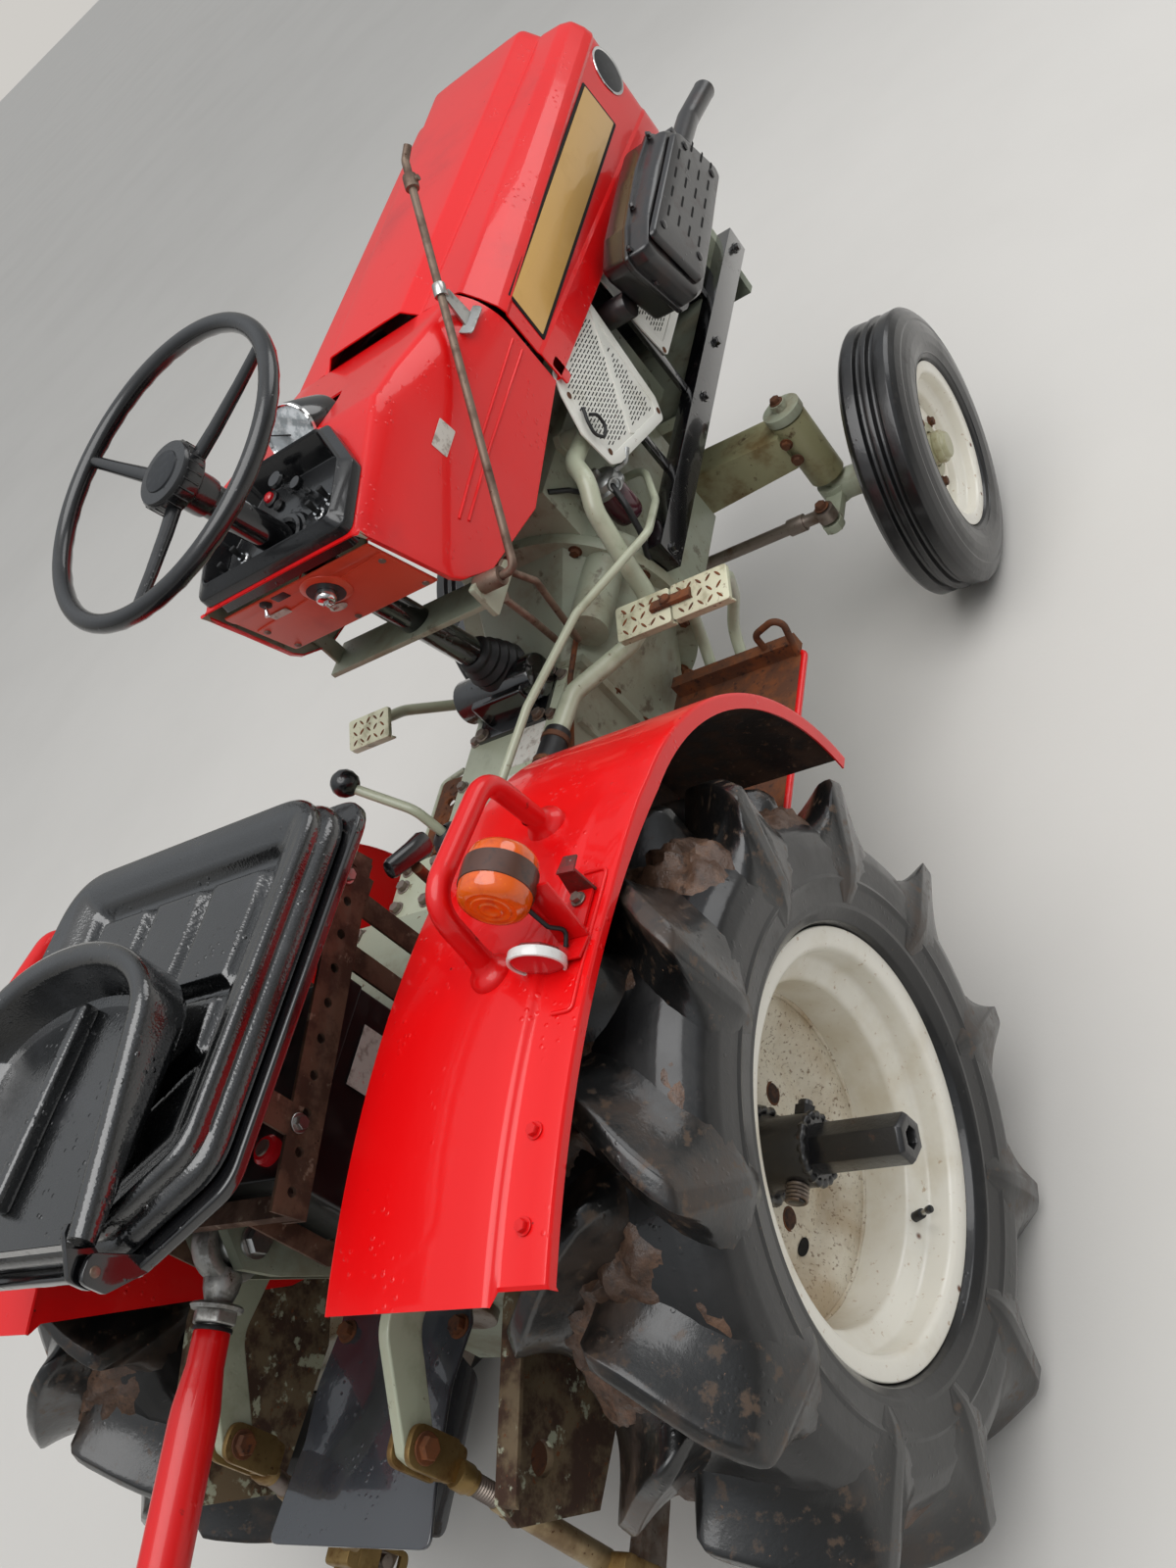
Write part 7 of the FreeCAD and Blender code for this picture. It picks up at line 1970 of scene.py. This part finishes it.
def make_levers():
    piece = Piece("gear_and_lift_levers")
    piece.add(tube([Vector((420, 60, 580)), Vector((430, 74, 640)), Vector((452, 148, 694))], 7, 40, 18, 8), green_paint)
    piece.add(turned([(0, -19), (8, -18.6), (14, -15), (19, -6), (20, 2), (17, 11), (10, 17.6), (0, 20)],
                     (456, 156, 704), (0.1, 0.75, 0.6), 32), black_plastic)
    piece.add(turned([(27, 0), (29, 3), (25, 7), (26, 10), (20, 14), (21, 18), (14, 22), (9, 26)], (420, 60, 572.3), Z,
                     32), black_rubber)
    piece.add(tube([Vector((196, -118, 622)), Vector((196, -160, 640)), Vector((156, -200, 730)),
                    Vector((138, -206, 800)), Vector((128, -221, 832))], 6, 30, 18, 8), rusty_steel)
    tilt = math.radians(30)
    ahead = Vector((math.cos(tilt), 0, -math.sin(tilt)))
    up = Vector((math.sin(tilt), 0, math.cos(tilt)))
    centre = Vector((132, -221.5, 847))
    rings = []
    for share, wide, thick in ((-1, 5, 3), (-0.96, 9, 6), (-0.8, 10.5, 7.5), (0.2, 12, 8.6), (0.75, 14, 8.6), (0.95, 12, 7),
                               (1, 7, 4)):
        rings.append([centre + ahead * (34 * share) + up * (wide * math.cos(b)) + Y * (thick * math.sin(b))
                      for b in (2 * math.pi * k / 20 for k in range(20))])
    piece.add(skin(rings), black_plastic)
    # Ribbed rubber bellows on the lever's pivot.
    piece.add(turned([(7, -4), (20, -2), (22, 2), (16, 5), (21, 9), (15, 12), (19, 16), (12, 19), (15, 22), (8, 26)],
                     (196, -113, 617), (-0.1, -1, 0.35), 32), black_rubber)
    piece.done("chassis", "control_levers")


def make_battery():
    piece = Piece("battery_box")
    piece.add(block(-172, 40, -122, 12, 662.3, 786, 4, 3), battery_case)
    piece.add(block(-173.5, 41.5, -123.5, 13.5, 778, 800, 3, 3), battery_case)
    for k in range(6):
        x = -148 + k * 32
        piece.add(turned([(0, 0), (10, 0), (10, 3), (8.6, 4), (0, 4)], (x, -55, 799.5), Z, 12), black_plastic)
    for y, cap in ((-96, red_lens), (-14, black_plastic)):
        # The red cap's material glows faintly: painted light.
        piece.add(turned([(0, 0), (14, 0), (15, 3), (15, 9), (12, 12), (0, 12)], (-146, y, 799.5), Z, 28), cap)
        piece.add(turned([(0, 11), (9, 11), (8, 14), (0, 14)], (-146, y, 799.5), Z, 28), worn_steel)
    label = slab([(-60, -124, 700), (6, -124, 700), (6, -124, 762), (-60, -124, 762)], (0, -0.5, 0), 0.1, 1)
    piece.add(label, pale_label)
    piece.done("chassis", "battery")


def make_footboards():
    extra = []
    for side in (-1, 1):
        edge = side * 350
        strip = tube([Vector((420, edge, 397)), Vector((745, edge, 397)), Vector((760, edge - side * 44, 398))], 5, 12, 12,
                     4)
        extra.append((strip, red_tube_enamel if side < 0 else green_paint))
    tread = []
    for bar_form in raised_tread(Vector((585, 240, 400)), X, Y, Z, 300, 190):
        tread.append((bar_form, rusty_steel))
    dress("footboards", rusty_steel, 1.0, extra=extra + tread)


# Linkage, castings and the small things on them

def plate_xz(corners, y, thick, round_off=4, edge=1.0):
    # A flat plate across Y from corners in the XZ plane.
    path = rounded([Vector((x, y, z)) for x, z in corners], round_off, 4)
    return slab(path, (0, thick, 0), edge)


def make_top_link():
    piece = Piece("top_link_tube")
    front, rear = Vector((-205, 0, 745)), Vector((-655, 0, 672))
    along = (rear - front).normalized()
    length = (rear - front).length
    up = along.cross(Y)
    for start, way, far in ((front, along, False), (rear, -along, True)):
        # Forged eye with its ball, then the threaded shank and the lock nut.
        piece.add(turned([(24, -13), (30, -15), (36, -13), (38, -8), (38.4, 0), (38, 8), (36, 13), (30, 15), (24, 13),
                          (22.5, 8), (22, 0), (22.5, -8)], start, Y, 52, ring=True), cast_zinc)
        piece.add(turned([(9.6, -19), (15, -19), (17.5, -15), (21.8, -8), (23, 0), (21.8, 8), (17.5, 15), (15, 19),
                          (9.6, 19)], start, Y, 44, ring=True), bright_zinc)
        piece.add(turned([(0, 20), (17, 24), (19, 32), (17, 44), (13.5, 54), (10, 60), (10, 80), (0, 80)], start, way,
                         36), cast_zinc)
        for k in range(6):
            piece.add(turned([(9.8, 0), (10.8, 0.8), (10.8, 1.2), (9.8, 2)], start + way * (61 + k * 2.6), way, 28,
                             ring=True), bright_zinc)
    collar = front + along * 62
    nut = []
    for k in range(6):
        a = math.pi / 3 * k
        nut.append(collar + up * (22 * math.cos(a)) + Y * (22 * math.sin(a)))
    piece.add(slab(nut, along * 13, 2.2, 3), cast_zinc)
    piece.add(turned([(10, 0), (24, 0.6), (26, 3), (24, 6.4), (10, 7)], front + along * 56, along, 40, ring=True),
              cast_zinc)
    piece.add(turned([(11, 0), (18.5, 0), (19, 1), (19, 4), (11, 5)], front + along * 77, along, 40, ring=True),
              black_rubber)
    tube_form = turned([(10, 80), (16.4, 80), (17.4, 82), (17.6, 90), (17.8, 112), (20.5, 132), (22.5, 148), (23, 160),
                        (23, length - 160), (22.5, length - 148), (20.5, length - 132), (17.8, length - 112),
                        (17.6, length - 90), (17.4, length - 82), (16.4, length - 80), (10, length - 80)],
                       front, along, 56, ring=True)
    piece.add(tube_form, red_tube_enamel)
    # A near-black spot on the tube: painted shade in its hole.
    for share in (0.62,):
        spot = front + along * (length * share)
        piece.add(turned([(0, 23.1), (6.5, 22.7), (7.2, 22.2), (0, 20)], spot, (0.02, -0.82, 0.57), 24), black_and_painted_shade)
    piece.add(turned([(19, 0), (23.2, 0), (23.5, 1), (23.5, 5), (23.2, 6), (19, 6)], rear - along * 100, along, 40,
                     ring=True), worn_steel)
    piece.done("top_link", "top_link")
    pin = Piece("top_link_pin")
    pin.add(turned([(0, -49), (13, -49), (14, -47), (14, -42), (9.4, -41), (9.4, 41), (0, 41)], front, Y, 6), bright_zinc)
    pin.add(turned([(9.4, -41), (17, -41), (17, -38), (9.4, -38)], front, Y, 32, ring=True), bright_zinc)
    pin.done("chassis")


def make_lift_rods():
    for name, side in SIDES:
        piece = Piece("lift_rod_tube_" + name)
        head = Vector((-340, 134, 567))
        start, end = Vector((-60, 150, 235)), Vector((-690, 242, 300))
        foot = start + (end - start) * ((-60 + 385) / (-60 + 690))
        along = (foot - head).normalized()
        # Clevis: two rounded cheeks and the neck behind them.
        for y in (8, -15):
            cheek = rounded([head + Vector((dx, y, dz)) for dx, dz in ((-20, 20), (20, 20), (20, -44), (-20, -44))],
                            [17, 17, 5, 5], 8)
            piece.add(sided(slab(cheek, (0, 7, 0), 1.4), side), brassy_zinc)
        neck = rounded([head + Vector((dx, -14.4, dz)) for dx, dz in ((-19, -36), (19, -36), (15, -57), (-15, -57))],
                       [3, 3, 7, 7], 5)
        piece.add(sided(slab(neck, (0, 28.8, 0), 3, 3), side), brassy_zinc)
        piece.add(sided(turned([(0, 52), (13.6, 52), (14.4, 54), (14.4, 66), (13, 69), (12.2, 69), (12.2, 74), (0, 74)],
                               head, along, 36), side), brassy_zinc)
        reach = (foot - head).length
        threads = [(0, 70)]
        for k in range(12):
            threads += [(9.6, 70 + k * 3.2), (11.0, 71.4 + k * 3.2), (9.6, 72.8 + k * 3.2)]
        threads += [(0, 70 + 12 * 3.2)]
        piece.add(sided(turned(threads, head, along, 28), side), worn_steel)
        piece.add(sided(turned([(0, 104), (11.6, 104), (12.6, 106), (12.8, 112), (12.8, reach - 56), (12, reach - 52),
                                (0, reach - 52)], head, along, 40), side), tan_tube)
        piece.add(sided(turned([(12.4, 0), (14, 0.8), (14, 9), (12.4, 10)], head + along * 118, along, 36, ring=True),
                        side), tan_tube)
        # A near-black disc on the tube at the hole: painted shade.
        hole = head + along * 190
        piece.add(sided(turned([(0, 13), (4.2, 12.7), (4.8, 12.2), (0, 11)], hole, (0.3, -0.9, 0.2), 20), side),
                  black_and_painted_shade)
        outside = 18.5
        lower_neck = rounded([foot + Vector((dx, -outside, dz)) for dx, dz in ((-18, 62), (18, 62), (18, 44), (-18, 44))],
                             [7, 7, 2, 2], 4)
        piece.add(sided(slab(lower_neck, (0, 2 * outside, 0), 2, 3), side), brassy_zinc)
        for y in (-outside, 13.5):
            shell = rounded([foot + Vector((dx, y, dz)) for dx, dz in ((-22, 46), (17, 46), (17, -34), (-22, -34))],
                            [5, 5, 12, 12], 5)
            cheek = slab(shell, (0, 5, 0), 1)
            piece.add(sided(slotted(cheek, foot + Vector((-15, y - 2, -21)), (25, 9, 33)), side), brassy_zinc)
        piece.done("lift_rod_" + name, "lift_rod_" + name)
    heads = [((-340, side * (134 + 15.6), 567), (0, side, 0), X) for name, side in SIDES]
    heads += [((-340, side * (134 - 15.6), 567), (0, -side, 0), X) for name, side in SIDES]
    stamped("lift_pin_heads", "lift_arms", BOLT_PIN, heads, rusty_steel, 1.0, 8.0)


def slotted(form, low, size):
    # A slot cut through a plate with an exact boolean.
    target = bpy.data.objects.new("slot_target", bpy.data.meshes.new("slot_target"))
    form.normal_update()
    form.to_mesh(target.data)
    form.free()
    cutter = bpy.data.objects.new("slot_cutter", bpy.data.meshes.new("slot_cutter"))
    box_form = block(low.x, low.x + size[0], low.y, low.y + size[1], low.z, low.z + size[2], 0)
    box_form.normal_update()
    box_form.to_mesh(cutter.data)
    box_form.free()
    for made in (target, cutter):
        bpy.context.scene.collection.objects.link(made)
    cut = target.modifiers.new("cut", "BOOLEAN")
    cut.operation, cut.solver, cut.object = "DIFFERENCE", "EXACT", cutter
    result = bmesh.new()
    bpy.context.view_layer.update()
    done = bpy.data.meshes.new_from_object(target.evaluated_get(bpy.context.evaluated_depsgraph_get()))
    result.from_mesh(done)
    for made in (target, cutter):
        mesh = made.data
        bpy.data.objects.remove(made)
        bpy.data.meshes.remove(mesh)
    bpy.data.meshes.remove(done)
    return result


def make_lift_arms():
    piece = Piece("lift_arm_forgings")
    outline = [(-66, 588), (-118, 582), (-240, 602), (-330, 548), (-358, 556), (-352, 582), (-258, 644), (-120, 646),
               (-66, 636)]
    for name, side in SIDES:
        path = rounded([Vector((x, 127, z)) for x, z in outline], [10, 20, 40, 16, 12, 12, 50, 20, 10], 5)
        piece.add(sided(slab(path, (0, 14, 0), 2.6, 3), side), green_paint)
        boss = turned([(19, -14), (34, -14), (36, -11.5), (36, 11.5), (34, 14), (19, 14)], (-90, 134, 612), Y, 48,
                      ring=True)
        piece.add(sided(boss, side), green_paint)
        piece.add(sided(bar((-340, 110, 567), (-340, 158, 567), 9, 28), side), rusty_steel)
    piece.add(bar((-90, -146, 612), (-90, 146, 612), 20, 40), worn_steel)
    piece.done("lift_arms", "lift_arms")


def make_shield():
    extra = []
    # The guard's dark grey is painted sky reflection on its black paint.
    outline = [(-152, -86), (-200, -108), (-262, -98), (-320, -104), (-360, -110), (-412, -120), (-418, 112),
               (-360, 106), (-320, 99), (-262, 104), (-204, 94), (-152, 96)]
    path = rounded([Vector((x, y, 499.8)) for x, y in outline], [6, 22, 60, 40, 14, 12, 12, 14, 40, 60, 22, 6], 5)
    extra.append((slab(path, (0, 0, 4.4), 1.6, 3), guard_painted_reflection_grey))
    piece = Piece("guard_plate")
    for form, surface in extra:
        piece.add(form, surface)
    piece.add(block(-157, -150.3, -86, 86, 486, 504, 1), guard_painted_reflection_grey)
    for name, side in SIDES:
        top = [Vector((-228, 94, 501)), Vector((-400, 94, 501))]
        hang = Vector((0, -6, -46))
        wing = rounded(top + [top[1] + hang + X * 8, top[0] + hang - X * 12], [3, 3, 16, 16], 5)
        piece.add(sided(slab(wing, (0, -3, 0), 0.9), side), guard_painted_reflection_grey)
    piece.done("chassis", "pto_shield")
    bolts = [((-205, -92, 504), Z, X), ((-205, 78, 504), Z, X)]
    stamped("guard_bolts", "chassis", BOLT_LARGE, bolts, rusty_steel, 1.0, 9.0)


def make_transmission_fittings():
    piece = Piece("gearbox_cover_plates")
    lid = [(254, -80), (684, -80), (684, 80), (254, 80)]
    piece.add(slab(rounded([Vector((x, y, 572)) for x, y in lid], 9, 4), (0, 0, 3.2), 1.2), green_paint)
    # Two blank plates on the lid, paper pale.
    for x0, x1 in ((520, 590), (438, 505)):
        plate = rounded([Vector((x0, -62, 575.2)), Vector((x1, -62, 575.2)), Vector((x1, -12, 575.2)),
                         Vector((x0, -12, 575.2))], 5, 4)
        piece.add(slab(plate, (0, 0, 0.5), 0.15, 1), pale_label)
    # Footplate bracket with its row of bolts on the left of the lid.
    tread = [(246, 20), (372, 24), (372, 108), (246, 104)]
    piece.add(slab(rounded([Vector((x, y, 600)) for x, y in tread], 7, 4), (0, 0, 5), 1.2), green_paint)
    piece.add(block(262, 356, 60, 104, 574, 601, 2), green_paint)
    # Drain and filler plugs, and a rod along the flank.
    piece.add(turned([(0, 0), (17, 0), (17, 8), (11, 10), (11, 17), (0, 17)], (300, -88, 470), -Y, 6), worn_steel)
    piece.add(turned([(0, 0), (19, 0), (19, 7), (12, 9), (12, 16), (0, 16)], (520, -88, 400), -Y, 6), rusty_steel)
    piece.add(tube([Vector((250, -99, 520)), Vector((480, -101, 532)), Vector((640, -104, 590)), Vector((696, -112, 604))],
                   4, 30, 12, 6), rusty_steel)
    piece.done("chassis")
    lid_bolts = [((x, y, 575.2), Z, X) for x in (268, 350, 432, 514, 596, 670) for y in (-70, 70)]
    stamped("gearbox_lid_bolts", "chassis", BOLT_SMALL, lid_bolts, worn_steel, 1.0, 9.0)
    stamped("foot_bracket_bolts", "chassis", BOLT_LARGE,
            [((x, y, 605), Z, X) for x in (264, 298, 332, 358) for y in (40, 92)], worn_steel, 0.8, 9.0)
    ring = []
    for k in range(10):
        a = math.radians(36 * k + 18)
        ring.append(((849.6, 170 * math.cos(a), 500 + 170 * math.sin(a)), -X, Z))
    stamped("bell_housing_bolts", "chassis", BOLT_LARGE, ring, rusty_steel, 0.8, 9.0)
    flange = [((713, side * 95, z), (0, side, 0), Z) for z in (350, 420, 490, 545) for name, side in SIDES]
    stamped("gearbox_flange_bolts", "chassis", BOLT_SMALL, [((p[0] - 14, p[1] * 0.99, p[2]), -X, Z)
                                                           for p, f, g in flange], rusty_steel, 1.0, 9.0)
    axle = []
    for name, side in SIDES:
        for k in range(8):
            a = math.radians(45 * k + 22)
            axle.append(((83 * math.cos(a), side * 134, 395 + 83 * math.sin(a)), (0, side, 0), Z))
    stamped("axle_collar_bolts", "chassis", BOLT_SMALL, axle, rusty_steel, 1.1, 9.0)
    lift = [((x, y, 640), Z, X) for x in (-136, -20, 90, 236) for y in (-98, 98)]
    stamped("lift_cover_bolts", "chassis", BOLT_LARGE, lift, worn_steel, 0.75, 9.0)
    plates = []
    for x, z in ((-130, 570), (-200, 560), (-290, 540), (-210, 440), (-300, 440)):
        plates.append((x, z))
    stamped("hitch_plate_bolts", "chassis", BOLT_LARGE,
            [((x, side * 230.8, z), (0, -side, 0), X) for x, z in plates[:3] for name, side in SIDES], rusty_steel, 0.9, 9.0)


def make_pipes():
    piece = Piece("oil_pipes_and_filter")
    suction = [(985, -112.3, 728), (985, -160, 728), (900, -163, 738), (856, -190, 728), (822, -190, 700),
               (786, -196, 622), (770, -196, 552), (700, -170, 556), (600, -118, 592), (420, -106, 598),
               (256, -106, 598)]
    pressure = [(1040, -112.3, 600), (1040, -160, 600), (960, -190, 590), (812, -240, 640), (660, -170, 668),
                (520, -118, 662), (400, -80, 640), (256, -60, 630)]
    piece.add(tube([Vector(p) for p in suction], 13.6, 52, 28, 10), green_paint)
    piece.add(tube([Vector(p) for p in pressure], 6, 52, 20, 10), green_paint)
    way = Vector((-60, 4, 2)).normalized()
    sleeve = [(13, -32), (17.6, -32), (18, -30), (18, 30), (17.6, 32), (13, 32)]
    piece.add(turned(sleeve, (500, -111.3, 596), way, 36, ring=True), black_rubber)
    for offset in (-22, 20):
        piece.add(turned([(18, 0), (19.4, 0.6), (19.6, 4.5), (19.4, 8.4), (18, 9)], Vector((500, -111.3, 596)) + way * offset,
                         way, 36, ring=True), rusty_steel)
    for foot, radius, axis in (((252, -106, 598), 18, X), ((252, -60, 630), 9.4, X), ((1034, -114, 600), 11, -Y),
                               ((985, -113, 728), 19, -Y)):
        piece.add(turned([(0, -2), (radius, -2), (radius, 8), (radius * 0.8, 10), (0, 10)], foot, axis, 6), green_paint)
    # Fuel filter: cast head with its lever and fuel taps, dark red glass bowl under it.
    centre = Vector((946, -149, 0))
    piece.add(turned([(0, 590), (16, 590.4), (21, 593), (24, 600), (24.6, 610), (24.6, 644), (22, 650), (0, 650)], centre, Z,
                     36), maroon_bowl)
    piece.add(turned([(0, 588), (9, 588), (9, 592), (0, 592)], centre, Z, 6), bright_zinc)
    piece.add(turned([(0, 648), (27, 648), (29.5, 650), (30, 656), (26, 660), (25, 670), (20, 675), (12, 676), (0, 676)],
                     centre, Z, 40), cast_aluminium)
    piece.add(turned([(0, 0), (7, 0), (7, 12), (5, 14), (0, 14)], (946, -149, 675), Z, 6), cast_aluminium)
    piece.add(block(930, 962, -130, -112.3, 652, 672, 2), cast_aluminium)
    piece.add(tube([Vector((960, -168, 664)), Vector((972, -186, 664)), Vector((990, -190, 672))], 4.5, 8, 14, 4),
              cast_aluminium)
    piece.add(turned([(8.6, 0), (11, 0), (11.6, 3), (11, 6), (8.6, 6)], (930, -172, 662), (-0.6, -0.7, 0.1), 24,
                     ring=True), cast_aluminium)
    piece.add(tube([Vector((930, -168, 662)), Vector((900, -184, 640)), Vector((880, -186, 600)), Vector((872, -172, 560))],
                   5, 30, 14, 6), black_rubber)
    piece.add(tube([Vector((938, -120, 664)), Vector((905, -124, 700)), Vector((880, -112, 726))], 4, 20, 12, 6),
              black_rubber)
    piece.done("chassis", "hydraulic_pipes")


def make_stay():
    piece = Piece("hood_prop_rod")
    foot = Vector((582, -210, 817))
    clip = Vector((914, -172, 1034))
    along = (clip - foot).normalized()
    top = clip + (clip - foot) * 0.56
    aside = along.cross(Z).normalized()
    piece.add(tube([foot + Y * 36, foot, top - along * 20, top - along * 2 + aside * 10], 5.5, 13, 20, 8), brown_rod)
    piece.add(turned([(5, 0), (9.4, 1), (9.8, 3), (9.8, 19), (9.4, 21), (5, 22)], top - along * 66, along, 32, ring=True),
              brown_rod)
    piece.add(turned([(0, 0), (4, 0), (4.4, 4), (0, 5)], top - along * 55 + aside * 9.6, aside, 16), brown_rod)
    piece.done("hood_stay", "hood_stay")


def make_cowl_brackets():
    piece = Piece("cowl_crossbar_and_clip")
    piece.add(block(588, 650, -156, 156, 778, 786, 1.5), green_casting)
    for name, side in SIDES:
        piece.add(sided(block(606, 634, 146, 150.2, 778, 850, 1), side), green_casting)
    plate = [(562, 778), (562, 830), (584, 826), (618, 800), (650, 796), (650, 778)]
    piece.add(plate_xz(plate, -158, 8, 5), green_casting)
    piece.add(turned([(6.2, 20), (12, 20), (12.6, 21), (12.6, 56), (12, 60), (6.2, 60)], (582, -210, 817), Y, 32,
                     ring=True), brown_rod)
    # Brake and clutch rods hang from the bar beside the column.
    for start, bend_at, end in (((640, -150, 790), (660, -160, 740), (690, -120, 606)),
                                ((600, -150, 782), (612, -150, 720), (664, -112, 640))):
        piece.add(tube([Vector(start), Vector(bend_at), Vector(end)], 5, 16, 16, 6), brown_rod)
        piece.add(turned([(0, -6), (11, -6), (12, -4), (12, 4), (11, 6), (0, 6)], start, Y, 24), brown_rod)
    # Zinc clip for the prop rod: a bent leaf on the cowl's shoulder, an upright and its open hook.
    clip = Vector((914, -172, 1034))
    along = (clip - Vector((582, -210, 817))).normalized()
    leaf = rounded([Vector(p) for p in ((884, -186, 975), (946, -186, 975), (946, -148, 998), (884, -148, 998))], 9, 5)
    piece.add(slab(leaf, Vector((0, -0.52, 0.85)) * 2.6, 0.7), bright_zinc)
    upright = rounded([Vector((x, -177, z)) for x, z in ((900, 978), (930, 978), (926, 1028), (906, 1028))], 5, 4)
    piece.add(slab(upright, (0, 4, 0), 1), bright_zinc)
    piece.add(turned([(6, -9), (8.6, -9), (9, -8), (9, 8), (8.6, 9), (6, 9)], clip, along, 28, ring=True), bright_zinc)
    piece.done("chassis", "cowl_brackets")
    lean = Vector((0, -0.52, 0.85))
    stamped("clip_bolts", "chassis", BOLT_SMALL, [((x, -160, 993), lean, X) for x in (891, 939)], rusty_steel, 0.9, 9.0)


def make_seat_frame():
    extra = []
    bolts = []
    for name, side in SIDES:
        for x in (-150, 100):
            bolts.append(((x + 15, side * 156.2, 842 + (x + 40) * 0.158), (0, side, 0), X))
    dress("seat_frame", punched_rail, 0.8, extra=extra)
    stamped("seat_rail_bolts", "chassis", BOLT_SMALL, bolts, bright_zinc, 1.0, 9.0)


def make_small_fittings():
    # Bolts on frame rails and axle beam, and a nut and a cap on each knuckle.
    rails = [((x, side * 205.2, 550), (0, side, 0), X) for x in (886, 1250, 1400, 1690) for name, side in SIDES]
    stamped("frame_rail_bolts", "chassis", BOLT_LARGE, rails, black_enamel, 0.75, 9.0)
    beam = [((1274.8, side * 258, z), -X, Z) for z in (352, 388) for name, side in SIDES]
    stamped("axle_beam_bolts", "chassis", BOLT_LARGE, beam, rusty_steel, 0.85, 9.0)
    for name, side in SIDES:
        nuts = [((1216, side * 270, 283.5), Z, X)]
        stamped("steering_arm_nut_" + name, "knuckle_" + name, BOLT_LARGE, nuts, rusty_steel, 1.0, 9.0)
        caps = [((1311, side * 270, 447), Z, X)]
        stamped("kingpin_cap_" + name, "knuckle_" + name, BOLT_LARGE, caps, rusty_steel, 0.9, 9.0)


def make_all_sheet_metal():
    for name, side in SIDES:
        make_fender(name, side)
    make_turn_lamps()
    make_muffler()
    make_grilles()
    make_seat()
    make_backrest()
    make_pedals()
    make_levers()
    make_battery()
    make_footboards()


stand_camera()
light_up()
lay_floor()
make_hood()
make_nose()
make_cowl()
make_dash()
make_fascia()
make_steering()
make_wheels()
make_all_sheet_metal()
make_top_link()
make_lift_rods()
make_lift_arms()
make_shield()
make_transmission_fittings()
make_pipes()
make_stay()
make_cowl_brackets()
make_seat_frame()
make_small_fittings()

PLAIN = {
    "transmission_case": green_casting, "clutch_housing": green_casting, "engine_block": green_casting,
    "rear_axle_housing": green_casting, "lift_housing": green_casting, "frame_rails": black_enamel,
    "front_bolster": green_casting, "front_axle_beam": olive_casting, "radiator": radiator_fins,
    "fuel_tank": black_enamel, "hood_frame": black_enamel,
    "drawbar": rusty_steel, "hitch_plates": flaking_green, "pto_shaft": worn_steel,
    "tie_rod": worn_steel,
}
for name, side in SIDES:
    PLAIN["knuckle_" + name] = green_casting
    PLAIN["lower_link_" + name] = worn_steel

for node, surface in PLAIN.items():
    dress(node, surface)
